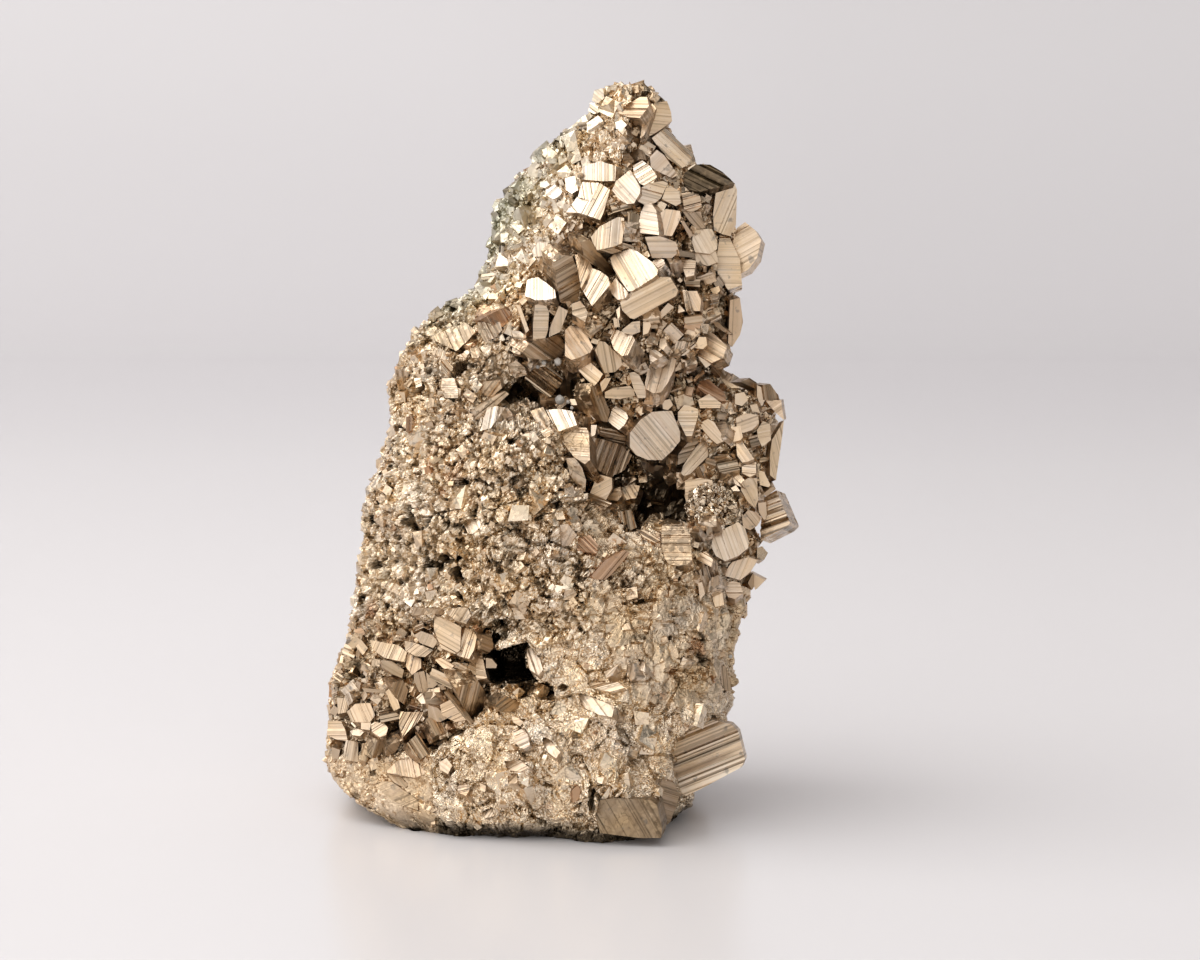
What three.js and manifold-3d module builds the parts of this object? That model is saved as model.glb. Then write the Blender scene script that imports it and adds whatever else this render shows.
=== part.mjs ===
// Pyrite specimen: one intergrown cluster of pyrite crystals, standing on its
// flat base. Millimetres, +Z up, the front faces -Y. The origin is on the
// surface it stands on, in the middle of its bounding box.
//
// The whole specimen grew as one piece, so it is a single closed solid: a
// massive, granular body, the larger crystals that grow out of it, and one
// open cavity low on the front.
import * as THREE from 'three';
import { mergeVertices } from 'three/addons/utils/BufferGeometryUtils.js';
import Module from 'manifold-3d';

// ---- driving dimensions (mm) ----
const HEIGHT = 100;              // height as it stands
const BASE_Z = 0;                // level of the flat base
const REACH = 90;                // half width of the block that trims the base
const CAVITY_DEPTH = 12.5;       // how far the front cavity runs in
const CAVITY_FRONT_Y = -28.01;     // where the cavity cutter starts, in front of the surface
const CAVITY_MOUTH_Y = -20.01;   // depth of the rim of the cavity
const CAVITY_NARROWING = 0.8;    // size of the far end of the cavity against its mouth
const ROOT_FACTOR = 0.95;        // crystal root length against the square root of its face area
const ROOT_MIN = 2.2;            // shortest crystal root
const ROOT_MAX = 9.0;            // longest crystal root
const CLEAN = 0.02;              // edges shorter than this are collapsed

// Outline of the body at successive levels, from the peak down to the base.
// Each ring runs from the left flank across the front to the right flank, then
// round the back. Every ring has the same number of points.
const RINGS = [
  [[6.9,-4.3,100], [7.1,-4.3,100], [7.6,-4.3,100], [8.6,-4.7,100], [9.9,-5.3,100], [10.8,-5.7,100], [11.7,-5.1,100], [13,-4.1,100], [14,-3.7,99.9], [14.5,-3.6,99.9], [14.6,-3.6,99.9], [14.5,-2.4,99.9], [14,-1.8,99.9], [13.1,-1.4,99.9], [11.9,-1.1,99.9], [9.8,-0.7,99.9], [8.5,-0.8,99.9], [7.6,-1.5,99.9], [7.1,-2.6,99.9]],
  [[6.4,-3.5,98.7], [6.7,-3.7,98.7], [7.2,-4,98.7], [8.4,-4.7,98.8], [9.9,-5.6,98.8], [11,-6,98.8], [12.1,-5.3,98.8], [13.6,-4.2,98.8], [14.8,-3.6,98.7], [15.3,-3.4,98.7], [15.6,-3.3,98.7], [15.4,-1.4,98.7], [14.8,-0.4,98.7], [13.8,0.3,98.6], [12.3,0.8,98.6], [9.8,1.2,98.6], [8.3,1,98.6], [7.3,0.1,98.6], [6.7,-1.3,98.7]],
  [[5.9,-3,97], [6.1,-3.2,97], [6.7,-3.7,97], [8.1,-4.7,97], [9.7,-5.8,97], [10.9,-6.5,97.1], [12.1,-5.7,97], [13.8,-4.5,97], [15.1,-3.5,97], [15.7,-3.1,97], [16,-3,97], [15.8,-0.4,96.9], [15.1,1.1,96.9], [14,2.1,96.8], [12.4,2.7,96.8], [9.6,3.3,96.8], [7.9,2.9,96.8], [6.8,1.7,96.8], [6.1,-0.2,96.9]],
  [[5.4,-3,94.8], [5.6,-3.6,94.8], [6.3,-4.3,94.9], [7.8,-5.6,94.9], [9.6,-6.8,94.9], [10.9,-6.9,94.9], [12.2,-6.1,94.9], [14.1,-4.9,94.9], [15.6,-3.7,94.8], [16.3,-3.3,94.8], [16.5,-3,94.8], [16.4,0.3,94.7], [15.6,2.2,94.7], [14.4,3.5,94.6], [12.6,4.5,94.6], [9.5,5.8,94.5], [7.6,5.4,94.5], [6.3,3.5,94.6], [5.6,0.8,94.7]],
  [[-1,-3,91], [-0.6,-3.2,91], [0.7,-3.8,91.1], [3.2,-5.2,91.1], [6.4,-6.8,91.2], [8.7,-8,91.2], [11,-7.6,91.2], [14.2,-5.8,91.2], [16.8,-4.2,91.1], [18.1,-3.3,91], [18.6,-3,91], [18.2,1.3,90.9], [16.9,4.2,90.8], [14.8,6.4,90.7], [11.6,8.2,90.6], [6,8.9,90.5], [2.8,6.4,90.7], [0.6,3.5,90.8], [-0.7,0.9,90.9]],
  [[-6.2,-1.8,84.8], [-5.4,-2.7,84.8], [-3.5,-4.7,84.9], [0.6,-8.1,85.1], [5.5,-10.6,85.2], [9.1,-12.1,85.3], [12.6,-11.7,85.3], [17.5,-10.9,85.2], [21.6,-7.8,85.1], [23.6,-5.3,84.9], [24.3,-4.2,84.9], [23.8,1.1,84.6], [21.9,4,84.4], [18.5,6.4,84.3], [13.5,10.4,84.1], [4.9,9.2,84.2], [-0.1,5.4,84.4], [-3.5,4,84.4], [-5.6,2.2,84.5]],
  [[-8.5,-1.6,78.1], [-7.7,-2.6,78.1], [-5.5,-4.9,78.3], [-1,-8.1,78.5], [4.4,-11.2,78.7], [8.3,-13.1,78.9], [12.2,-13.3,78.9], [17.7,-12.5,78.8], [22.1,-8,78.5], [24.4,-4.5,78.3], [25.2,-3.1,78.2], [24.7,3,77.8], [22.5,6,77.5], [18.7,6.5,77.5], [13.2,10.2,77.2], [3.7,9.4,77.3], [-1.9,6.6,77.5], [-5.7,5.9,77.5], [-7.9,3.3,77.7]],
  [[-11.1,-2.8,71.7], [-10.2,-4.2,71.8], [-7.8,-6.9,72.1], [-3,-10.1,72.3], [2.8,-13.1,72.6], [7,-14.3,72.7], [11.2,-15.3,72.8], [16.9,-14,72.7], [21.7,-10.9,72.4], [24.1,-7,72.1], [25,-5.3,71.9], [24.5,2.6,71.3], [22.1,6.5,71], [18.1,7,70.9], [12.1,9.6,70.7], [1.9,11.4,70.5], [-4.1,10.1,70.7], [-8.1,7.5,70.9], [-10.5,3.5,71.2]],
  [[-15.1,-3.2,69.6], [-14.2,-3.5,69.6], [-11.6,-4.9,69.7], [-6.2,-9.1,70.1], [0.4,-12.4,70.4], [5.1,-14,70.5], [9.8,-15.2,70.6], [16.2,-14.4,70.6], [21.5,-11.4,70.3], [24.1,-7.3,70], [25.1,-5.7,69.8], [24.6,2.5,69.1], [21.9,6.5,68.7], [17.4,7.4,68.7], [10.7,10.1,68.4], [-0.7,12.9,68.2], [-7.4,10.9,68.3], [-11.9,7.2,68.7], [-14.5,3.4,69]],
  [[-19.7,-4.3,64], [-18.7,-5,64], [-15.8,-7.7,64.3], [-10,-11.1,64.6], [-2.9,-11.5,64.7], [2.2,-12.5,64.8], [7.3,-14.5,65], [14.3,-14.8,65], [19.9,-12.6,64.8], [22.8,-8,64.3], [23.9,-5.7,64.1], [23.2,2.4,63.3], [20.4,6.4,62.9], [15.4,9.3,62.6], [8.1,11.1,62.4], [-4.4,16.9,61.8], [-11.5,10.1,62.5], [-16.4,7.3,62.8], [-19.2,3.4,63.2]],
  [[-20.6,-5.1,61.8], [-19.5,-6.1,61.9], [-16.6,-9.2,62.3], [-10.9,-11.8,62.5], [-4,-9.8,62.3], [1,-9.5,62.3], [6.1,-13.3,62.7], [13,-14.7,62.9], [18.6,-12.1,62.6], [21.4,-7.6,62.1], [22.6,-4.6,61.8], [21.8,3,61], [19,7,60.5], [14.1,10.5,60.2], [6.9,11.6,60.1], [-5.5,17.3,59.5], [-12.5,9.7,60.3], [-17.4,7.2,60.5], [-20.1,3.1,61]],
  [[-22.1,-5.7,58.9], [-20.9,-6.6,59], [-17.6,-10.5,59.4], [-11.1,-13.3,59.7], [-3.2,-8,59.1], [2.6,-9.3,59.3], [8.4,-13.2,59.7], [16.4,-12.7,59.7], [22.9,-7.2,59.1], [26.1,-5.3,58.8], [27.3,-3.9,58.7], [26.6,4.2,57.8], [23.3,7.9,57.4], [17.7,10.8,57], [9.4,12.8,56.8], [-4.8,18.3,56.2], [-12.8,9.8,57.1], [-18.4,7.3,57.4], [-21.5,2.9,57.9]],
  [[-22,-5.8,57], [-20.7,-7,57.1], [-17.1,-11.7,57.7], [-10.3,-14.4,58], [-1.9,-9.4,57.4], [4.2,-11.2,57.6], [10.3,-13.1,57.8], [18.8,-11.7,57.7], [25.7,-9,57.4], [29.1,-6.2,57], [30.4,-4.3,56.8], [29.6,4.4,55.8], [26.2,9.2,55.2], [20.3,10.8,55], [11.5,14.2,54.6], [-3.5,18.2,54.2], [-12.1,10.6,55.1], [-18,7.2,55.5], [-21.3,2.9,56]],
  [[-22.5,-7,50.5], [-21.2,-8.5,50.8], [-17.7,-13.2,51.4], [-10.7,-17.8,52], [-2.3,-19.6,52.2], [3.6,-16.8,51.8], [9.8,-10,51], [18.2,-10.5,51], [25.1,-10.6,51], [28.5,-7.5,50.6], [29.8,-4.3,50.2], [29.1,4.6,49], [25.7,10.4,48.3], [19.8,14.2,47.8], [10.9,15.3,47.6], [-4.1,16.2,47.5], [-12.9,12.5,48], [-18.7,8.1,48.6], [-22,2.6,49.3]],
  [[-24.5,-7,43.7], [-23.1,-8.3,43.9], [-19.5,-12.8,44.5], [-12.3,-18.7,45.4], [-3.7,-21,45.7], [2.4,-20.6,45.7], [8.6,-12.5,44.5], [17.4,-5.8,43.5], [24.3,-11.4,44.3], [27.7,-9.1,44], [29.1,-5.7,43.5], [28.4,4.1,42], [25,10.8,41.1], [18.9,17.4,40.1], [9.8,13.9,40.6], [-5.6,14.6,40.5], [-14.8,15.6,40.4], [-20.7,10,41.2], [-23.9,3,42.2]],
  [[-26.1,-7,36.8], [-24.7,-8.2,37], [-21,-12.4,37.6], [-13.7,-18.7,38.7], [-4.8,-22.1,39.2], [1.4,-22.3,39.2], [7.7,-20.9,39], [16.4,-17.9,38.5], [23.6,-13.2,37.8], [27.2,-8.2,37], [28.6,-5.7,36.6], [27.8,4.3,34.9], [24.3,10.6,33.9], [18.2,17.9,32.7], [8.8,13.7,33.4], [-6.9,15.8,33.1], [-16.3,18,32.7], [-22.3,11.1,33.8], [-25.6,3.5,35.1]],
  [[-27.1,-7,28.2], [-25.7,-8.4,28.4], [-22.1,-12.8,29.2], [-14.8,-18.5,30.2], [-6.2,-22,30.9], [0,-23,31.1], [6.1,-23.7,31.2], [14.6,-21.8,30.8], [21.6,-16.9,30], [25.2,-9.8,28.7], [26.6,-6.8,28.1], [25.8,4.1,26.1], [22.4,10.7,25], [16.3,16.2,24], [7.1,18.2,23.6], [-8.4,18.6,23.5], [-17.6,17.8,23.7], [-23.4,11.3,24.9], [-26.7,4.3,26.1]],
  [[-30.1,-7,19.4], [-28.7,-8.2,19.6], [-24.9,-12.6,20.5], [-17.4,-17.6,21.5], [-8.5,-20.1,22], [-2.1,-21.9,22.4], [4.3,-23.6,22.7], [13,-23.1,22.6], [20.2,-18.4,21.7], [23.8,-11.5,20.3], [25.3,-7,19.4], [24.5,4.7,17], [20.9,12.1,15.6], [14.6,16.7,14.6], [5.1,23.8,13.2], [-10.9,19,14.2], [-20.3,16.6,14.7], [-26.5,12.2,15.5], [-29.8,5.3,16.9]],
  [[-30.9,-7.6,11.1], [-29.5,-9.1,11.4], [-25.8,-13.6,12.4], [-18.6,-18.3,13.4], [-9.8,-22.7,14.4], [-3.5,-24.2,14.7], [2.6,-24.9,14.9], [11.1,-24.1,14.7], [18,-20.5,13.9], [21.6,-11.8,12], [23,-8.2,11.2], [22.2,4.8,8.4], [18.7,12.8,6.6], [12.5,18.5,5.4], [3.2,23.4,4.3], [-12.3,17.8,5.5], [-21.6,18.1,5.4], [-27.7,14.3,6.3], [-30.8,5.7,8.2]],
  [[-28.8,-10.4,4.7], [-27.6,-11.5,5], [-24.3,-14.6,5.7], [-17.7,-19.3,6.8], [-9.7,-23.1,7.7], [-4,-24.8,8.1], [1.6,-25.5,8.3], [9.3,-25.5,8.3], [15.6,-21.3,7.3], [18.8,-12.7,5.3], [20,-10.5,4.7], [19.2,3.1,1.5], [16,10.9,-0.3], [10.4,17.9,-1.9], [2,19.8,-2.4], [-12.2,18.4,-2.1], [-20.6,16.6,-1.6], [-26.1,13.9,-1], [-28.8,4.3,1.2]],
  [[-26,-12.8,2.5], [-24.9,-13.8,2.7], [-21.9,-16.6,3.4], [-15.8,-20.5,4.3], [-8.4,-23,5], [-3.2,-23.9,5.2], [2,-24.5,5.3], [9.2,-25.5,5.5], [15,-21.3,4.5], [18,-13.3,2.6], [19.1,-10.9,2], [18.5,2.5,-1.2], [15.5,9.9,-3], [10.2,17,-4.7], [2.4,19,-5.2], [-10.8,19.9,-5.4], [-18.4,14.7,-4.2], [-23.6,11.8,-3.5], [-26.1,2.9,-1.3]],
  [[-22.6,-15.2,0.3], [-21.6,-16.5,0.6], [-19,-18.7,1.1], [-13.8,-21.3,1.8], [-7.4,-22.7,2.1], [-2.8,-23.1,2.3], [1.8,-23.6,2.4], [8.1,-25.5,2.8], [13.1,-24.6,2.6], [15.7,-16,0.5], [16.7,-11.9,-0.5], [16.1,1.5,-3.8], [13.4,9.2,-5.7], [8.9,16.3,-7.5], [2,18.4,-8], [-9.6,20.9,-8.7], [-16.1,14.6,-7.1], [-20.5,9.1,-5.7], [-22.7,0.7,-3.6]],
  [[-20.2,-17.9,-2.5], [-19.3,-18.3,-2.4], [-17,-19.6,-2], [-12.3,-21.1,-1.7], [-6.5,-21.6,-1.6], [-2.4,-21.9,-1.5], [1.8,-22.3,-1.4], [7.5,-24.8,-0.7], [12.1,-24.4,-0.8], [14.4,-17.7,-2.5], [15.3,-13.8,-3.5], [14.7,0,-7.1], [12.4,8,-9.1], [8.2,15.1,-10.9], [2,18.3,-11.8], [-8.6,21.1,-12.5], [-14.6,15.4,-11], [-18.4,7.7,-9], [-20.3,-1.6,-6.7]]
];

// Larger crystals on the front: the middle of a crystal face, its outward
// direction, the direction of its striations, and its outline measured along
// and across those striations.
const FACES = [
  { at: [14.94,-4.58,95.25], out: [0.127,-0.964,0.234], along: [0.99,0.108,-0.093], outline: [[-1.21,-2.43], [0.09,-1.49], [1.65,-0.1], [1.43,1.11], [0.79,2.57], [-0.96,2.13], [-1.8,-1.8]] },
  { at: [16.93,-4.71,90.86], out: [0.324,-0.851,0.413], along: [0.733,-0.05,-0.678], outline: [[-0.09,-1.42], [2.11,-1.17], [2.52,-0.31], [2.11,1.82], [-3.14,1.92], [-3.51,-0.84]] },
  { at: [15.08,-7.25,89.24], out: [0.085,-0.996,0.033], along: [0.713,0.084,0.696], outline: [[-1.21,0.75], [-1,-0.2], [-0.21,-2.29], [0.65,-2.57], [1.17,0.68], [0.96,1.82], [-0.37,1.81]] },
  { at: [11.64,-6.38,96.88], out: [-0.316,-0.769,0.556], along: [0.924,-0.383,-0.005], outline: [[-0.77,-1.53], [1,-1.65], [1.86,0.26], [1.25,1.67], [0.24,1.65], [-1.24,0.52], [-2.35,-0.93]] },
  { at: [6.71,-9.29,88.32], out: [-0.503,-0.806,0.311], along: [0,0.36,0.933], outline: [[-1.24,-0.16], [-1.63,-2.47], [0.45,-2.63], [1.56,-0.16], [1.31,2.48], [-0.45,2.95]] },
  { at: [5.18,-10.32,85.92], out: [-0.327,-0.795,0.511], along: [0.134,-0.575,-0.807], outline: [[1.72,0.26], [-0.64,1.74], [-1.58,-0.56], [0.51,-1.43]] },
  { at: [6.66,-11.61,84.23], out: [-0.163,-0.909,0.383], along: [0.459,0.274,0.845], outline: [[-1.92,-1.22], [-1,-1.2], [2.38,-0.49], [2.7,1.2], [-2.16,1.7]] },
  { at: [10.47,-12.17,86], out: [-0.283,-0.895,0.345], along: [0.621,-0.445,-0.645], outline: [[0.05,-1.54], [1.37,-1.21], [1.96,-0.44], [1.49,1.05], [0.86,1.59], [-1.94,2.16], [-2.17,-0.2], [-1.61,-1.41]] },
  { at: [12.69,-9.43,88.22], out: [-0.284,-0.642,0.712], along: [0.847,0.18,0.5], outline: [[-1.09,0.82], [-1.36,-1.43], [-0.59,-2.92], [1.12,-1.8], [1.3,0.55], [1,2.36], [-0.39,2.43]] },
  { at: [13.82,-11.63,85.74], out: [0.125,-0.969,0.211], along: [0.963,0.067,-0.261], outline: [[-0.56,-1.87], [0.67,-1.26], [1.29,-0.4], [1.72,1.8], [1.01,1.89], [-0.62,1.17], [-1.63,0.21], [-1.89,-1.54]] },
  { at: [20.69,-7,87.49], out: [0.129,-0.879,0.46], along: [0.894,-0.098,-0.437], outline: [[-0.77,-2.49], [0.55,-2.1], [4.16,1.42], [1.92,2.04], [0.05,2.18], [-1.56,1.45], [-2.49,-0.42], [-1.86,-2.09]] },
  { at: [23.73,-5.77,83.05], out: [0.166,-0.982,0.089], along: [0.393,0.149,0.908], outline: [[-3.05,0.32], [-3.1,-0.9], [-2.91,-2.02], [-1.21,-2.18], [3.16,-0.42], [3.79,0.15], [2.82,1.68], [1.75,2.12], [-1.26,1.26]] },
  { at: [19.03,-11.25,84.54], out: [0.014,-0.887,0.461], along: [0.958,0.144,0.247], outline: [[-1.22,-0.63], [-0.71,-1.69], [1.17,-1.03], [1.35,0.44], [0.24,1.37], [-0.83,1.53]] },
  { at: [13.31,-12.74,82.48], out: [-0.483,-0.84,0.248], along: [0.845,-0.521,-0.118], outline: [[-0.75,-2.22], [2.16,-2.04], [1.56,-0.36], [0.84,1.17], [-0.16,1.98], [-1.02,1.71], [-1.34,0.56], [-1.29,-0.8]] },
  { at: [16.14,-12.38,82.1], out: [-0.107,-0.972,0.209], along: [0.28,0.172,0.944], outline: [[-2.24,0.71], [-1.94,-0.87], [0.7,-1.35], [1.56,-0.96], [1.32,0.92], [0.6,1.54]] },
  { at: [15.36,-13.38,78.59], out: [0.007,-1,0.014], along: [1,0.007,0], outline: [[-1.59,-1.44], [1.07,-1.44], [2,-0.64], [1.59,0.69], [-0.54,1.48], [-2.53,1.35]] },
  { at: [20.83,-10.15,79.2], out: [0.146,-0.947,0.288], along: [0.483,-0.186,-0.856], outline: [[0.73,-1.88], [1.9,-0.2], [1.74,0.99], [0.67,1.59], [-0.96,1.73], [-1.77,0.16], [-1.66,-0.84], [-0.65,-1.56]] },
  { at: [11.23,-14.96,75.77], out: [-0.409,-0.812,0.417], along: [0.425,-0.573,-0.701], outline: [[-1.96,-2.25], [0.19,-2.24], [2.3,-2.04], [2.65,-1.58], [2.8,0.47], [2.85,2.4], [2.31,2.85], [0.76,2.69], [-1.97,1.69], [-2.85,1.01], [-3.57,-1.08], [-3.51,-1.93]] },
  { at: [9.21,-15.12,72.81], out: [-0.643,-0.686,0.341], along: [0.134,-0.539,-0.832], outline: [[-0.1,-1], [1.18,-0.18], [1.48,0.81], [0.93,1.61], [-2.05,0.05], [-1.45,-1.29]] },
  { at: [12.94,-16.12,72.22], out: [-0.11,-0.987,0.121], along: [0.888,-0.042,0.458], outline: [[-3.64,-0.13], [-3.16,-1.56], [-2.75,-1.92], [3.6,-1.72], [4.19,-1.13], [4.02,0.88], [2.48,1.67], [0.64,1.56], [-1.97,1.4], [-3.4,0.94]] },
  { at: [26.54,-4.71,78.01], out: [-0.18,-0.964,0.194], along: [0.868,-0.063,0.492], outline: [[-2.17,-0.5], [-2.67,-2.88], [-1.15,-2.95], [0.69,-2.11], [2.33,-0.22], [2.26,1.39], [1.59,3.02], [0.25,2.84], [-1.14,1.42]] },
  { at: [24.13,-6.02,75.86], out: [-0.038,-0.967,0.252], along: [0.999,-0.041,-0.007], outline: [[-1.29,-1.58], [0.09,-3.62], [1.97,-2.92], [1.65,0.51], [0.26,3.51], [-1.1,3.91], [-1.59,0.2]] },
  { at: [8.04,-13.18,80.29], out: [-0.092,-0.875,0.475], along: [0.081,0.469,0.879], outline: [[-1.35,2.03], [-2.34,1.42], [-1.83,-0.55], [-1.19,-1.83], [1,-1.93], [2.46,-1.81], [2.57,-1], [1.17,1.3], [-0.48,2.37]] },
  { at: [6.59,-13,76.83], out: [0.557,-0.771,-0.309], along: [0.558,0.623,-0.549], outline: [[-2.42,-0.84], [0.21,-0.85], [3.03,-0.58], [4.05,0.23], [2.82,0.47], [-3.33,1.28], [-4.35,0.28]] },
  { at: [6.47,-14.17,73.95], out: [-0.388,-0.822,0.416], along: [0.497,0.193,0.846], outline: [[-3.14,-1.13], [0.45,-1.91], [1.3,-1.03], [1.55,0.51], [1.45,1.81], [-1.61,1.74]] },
  { at: [4.74,-12.35,76.07], out: [-0.191,-0.789,0.585], along: [0.317,0.514,0.797], outline: [[-3.42,-0.72], [-0.14,-1.17], [0.7,-0.6], [1.54,0.7], [1.32,1.78]] },
  { at: [2.54,-12.8,74.15], out: [0.411,-0.862,-0.297], along: [0.848,0.242,0.472], outline: [[-1.6,0.18], [-2.15,-2.35], [-1.25,-3.25], [0.23,-3.49], [1.29,-1.61], [1.74,0.3], [1.84,2.91], [0.64,3.82], [-0.74,3.5]] },
  { at: [-1.02,-11.58,72.67], out: [-0.238,-0.766,0.597], along: [-0.009,0.616,0.787], outline: [[-1.38,0.86], [-1.67,-0.93], [-1.53,-2.04], [-0.24,-1.9], [1.09,-0.66], [2.24,0.45], [2.01,1.97], [-0.51,2.25]] },
  { at: [-1.03,-11.86,68.45], out: [0.11,-0.979,0.171], along: [0.994,0.11,-0.01], outline: [[-1.11,-2.4], [0.5,-2.4], [0.91,-1.05], [1.07,1.36], [0.54,2.57], [-0.81,2.3], [-1.1,-0.38]] },
  { at: [3.91,-13.71,65.8], out: [-0.049,-0.806,0.59], along: [0.512,-0.527,-0.678], outline: [[0.77,-2.47], [1.8,-2], [1.98,-0.86], [2.16,0.58], [1.58,1.39], [-0.44,1.66], [-2.29,1.67], [-2.87,0.46], [-2.7,-0.42]] },
  { at: [7.9,-14.82,63.95], out: [0.118,-0.985,0.125], along: [0.174,-0.103,-0.979], outline: [[0.36,-1.14], [1.92,-0.73], [2.02,0.61], [1.26,1.7], [0.32,1.73], [-2.15,-0.01], [-2.39,-0.65], [-1.33,-1.52]] },
  { at: [9.65,-15.15,66.29], out: [-0.427,-0.643,0.636], along: [0.384,0.507,0.771], outline: [[-1.42,0.49], [-2.36,-1.24], [-2.11,-2.09], [0.32,-2.1], [0.9,-1.5], [1.6,1.24], [1.66,2.25], [1.42,2.95]] },
  { at: [5.41,-12.88,61.79], out: [-0.23,-0.927,0.296], along: [0.752,-0.363,-0.551], outline: [[0.01,-0.94], [1.7,-1.04], [1.79,-0.29], [1.65,0.96], [-0.82,1.16], [-1.8,0.61], [-2.53,-0.45]] },
  { at: [14.84,-14.43,61.79], out: [0.002,-0.78,0.626], along: [0.229,0.61,0.759], outline: [[-2.78,1.27], [-3.18,0.23], [-2.78,-0.77], [-1.19,-1.37], [1,-1.7], [2.61,-1.62], [2.96,-0.99], [2.43,0.54], [1.81,1.08], [1.01,1.72], [-1.89,1.61]] },
  { at: [9.56,-13.54,59.14], out: [0.068,-0.998,0.008], along: [0.998,0.068,-0.008], outline: [[-2.04,-0.71], [-0.03,-0.85], [1.98,-0.44], [1.84,0.37], [1.3,0.9], [-0.98,0.63], [-2.05,0.1]] },
  { at: [-0.67,-7.85,59.91], out: [0.335,-0.786,0.52], along: [0.799,-0.056,-0.599], outline: [[-0.56,-1.65], [1.58,-1.55], [1.93,-1.04], [1.98,1.01], [1.76,2.43], [-1.52,2.52], [-2.73,-0.38], [-2.45,-1.34]] },
  { at: [-0.58,-11.83,64.7], out: [0.549,-0.806,-0.22], along: [0.627,0.571,-0.53], outline: [[-1.59,-2.19], [0.99,-1.05], [3.22,0.52], [2.41,2.17], [0.66,2.96], [-2.71,-0.41], [-2.99,-2.01]] },
  { at: [6.79,-12.95,57.56], out: [0.704,-0.701,0.114], along: [0.328,0.179,-0.928], outline: [[0.11,-1.03], [2.24,-0.65], [2.85,0.31], [1.82,1.27], [-2.09,1.18], [-3.1,0], [-1.84,-1.08]] },
  { at: [22.05,-10.66,64.92], out: [-0.289,-0.862,0.416], along: [0.783,-0.464,-0.415], outline: [[1.11,-1.9], [2.05,-0.57], [1.57,1.11], [-0.99,1.65], [-2.29,1.58], [-1.45,-1.87]] },
  { at: [25.19,-6.98,67.72], out: [0.149,-0.987,-0.054], along: [0.031,-0.049,0.998], outline: [[-3.12,0.36], [-1.47,-0.68], [0.31,-1.02], [3.58,-0.48], [3.29,0.89], [-2.58,0.93]] },
  { at: [23.09,-6.9,62.26], out: [0.234,-0.795,-0.559], along: [0.518,0.589,-0.62], outline: [[1.77,-1.67], [2.17,-1.26], [-1.09,2.48], [-2.76,2], [-0.08,-1.55]] },
  { at: [21.9,-8.97,58.83], out: [0.165,-0.769,0.618], along: [0.856,-0.2,-0.477], outline: [[-0.01,-0.96], [1.2,-0.87], [2.4,-0.2], [1.67,0.84], [-1.32,1.43], [-2.07,0.5], [-1.86,-0.73]] },
  { at: [-8.19,-14.55,57.39], out: [0.209,-0.975,0.079], along: [0.775,0.214,0.595], outline: [[-2.42,-0.38], [-2.02,-0.53], [0.77,-0.68], [3.33,-0.47], [3.15,0.18], [-0.58,0.89], [-2.22,0.99]] },
  { at: [-7.9,-12.56,59.55], out: [-0.126,-0.991,-0.035], along: [0.592,-0.103,0.8], outline: [[-0.96,0.98], [-1.14,-0.33], [-0.53,-0.9], [1.09,-1.22], [1.79,-0.37], [-0.25,1.84]] },
  { at: [-7.51,-16.04,56.3], out: [-0.24,-0.687,0.686], along: [0.123,0.679,0.724], outline: [[-2,-0.13], [1.4,-1.58], [1.63,-0.57], [1.39,0.93], [-2.41,1.34]] },
  { at: [1.57,-15.11,55.99], out: [-0.253,-0.784,0.567], along: [0.363,-0.62,-0.695], outline: [[-0.66,-1.3], [1.88,-1.12], [2.21,1.57], [-0.11,1.76], [-1.24,0.42], [-2.08,-1.33]] },
  { at: [3.87,-16.91,52.51], out: [-0.257,-0.82,0.511], along: [0.946,-0.322,-0.041], outline: [[-2.26,0.25], [-0.14,-1.75], [0.81,-2.24], [1.59,-2.61], [2.16,-1.97], [1.26,1.58], [0.77,2.56], [-1.34,2.52], [-2.85,1.66]] },
  { at: [3.85,-17.68,48.73], out: [0.045,-0.999,-0.004], along: [0.829,0.04,-0.558], outline: [[-0.75,-0.66], [1.04,-1.41], [2.19,-1.45], [1.4,-0.04], [0.06,1.01], [-1.47,1.61], [-2.46,0.94]] },
  { at: [14.28,-13.86,53.33], out: [0.113,-0.993,0.025], along: [0.637,0.053,-0.769], outline: [[-1.11,-3.56], [0.24,-3.63], [1.81,-2.83], [3.05,-1.39], [2.99,0.41], [2.66,2.09], [1.73,2.87], [-1.15,3.85], [-1.85,3.03], [-2.8,1.71], [-3.02,-0.21], [-2.56,-2.35]] },
  { at: [9.31,-12.56,55.78], out: [-0.41,-0.806,0.427], along: [0.697,-0.578,-0.424], outline: [[-0.04,-1.39], [1.31,-1.4], [1.48,-0.47], [1.34,0.61], [0.53,1.11], [-0.78,1.31], [-1.39,1.12], [-1.52,0.37], [-0.92,-1.26]] },
  { at: [18.67,-12.04,55.62], out: [-0.045,-0.891,0.452], along: [0.999,-0.047,0.006], outline: [[-1.34,-0.36], [-0.25,-2.64], [0.56,-2.64], [1.34,0.21], [1.34,1.21], [0.26,1.64], [-0.55,1.79], [-1.35,0.78]] },
  { at: [8.64,-11.45,52.99], out: [0.246,-0.801,-0.546], along: [0.869,0.432,-0.241], outline: [[-1.86,-0.41], [-0.58,-0.81], [1.82,-0.95], [2.36,-0.45], [1.51,0.61], [-0.76,1.13], [-2.49,0.88]] },
  { at: [19.52,-10.96,49.85], out: [0.042,-0.842,0.538], along: [0.632,0.44,0.638], outline: [[-2.84,-0.56], [-2.09,-0.99], [1.58,-1.18], [2.75,-0.25], [3.1,0.72], [1.9,0.98], [0.12,0.77], [-1.77,0.47], [-2.76,0.03]] },
  { at: [18.78,-10.99,51.12], out: [0.534,-0.845,-0.03], along: [0.838,0.524,0.151], outline: [[-1.93,-1.7], [-0.77,-1.55], [2,0.9], [2.07,1.44], [0.4,1.26], [-1.76,-0.35]] },
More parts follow.
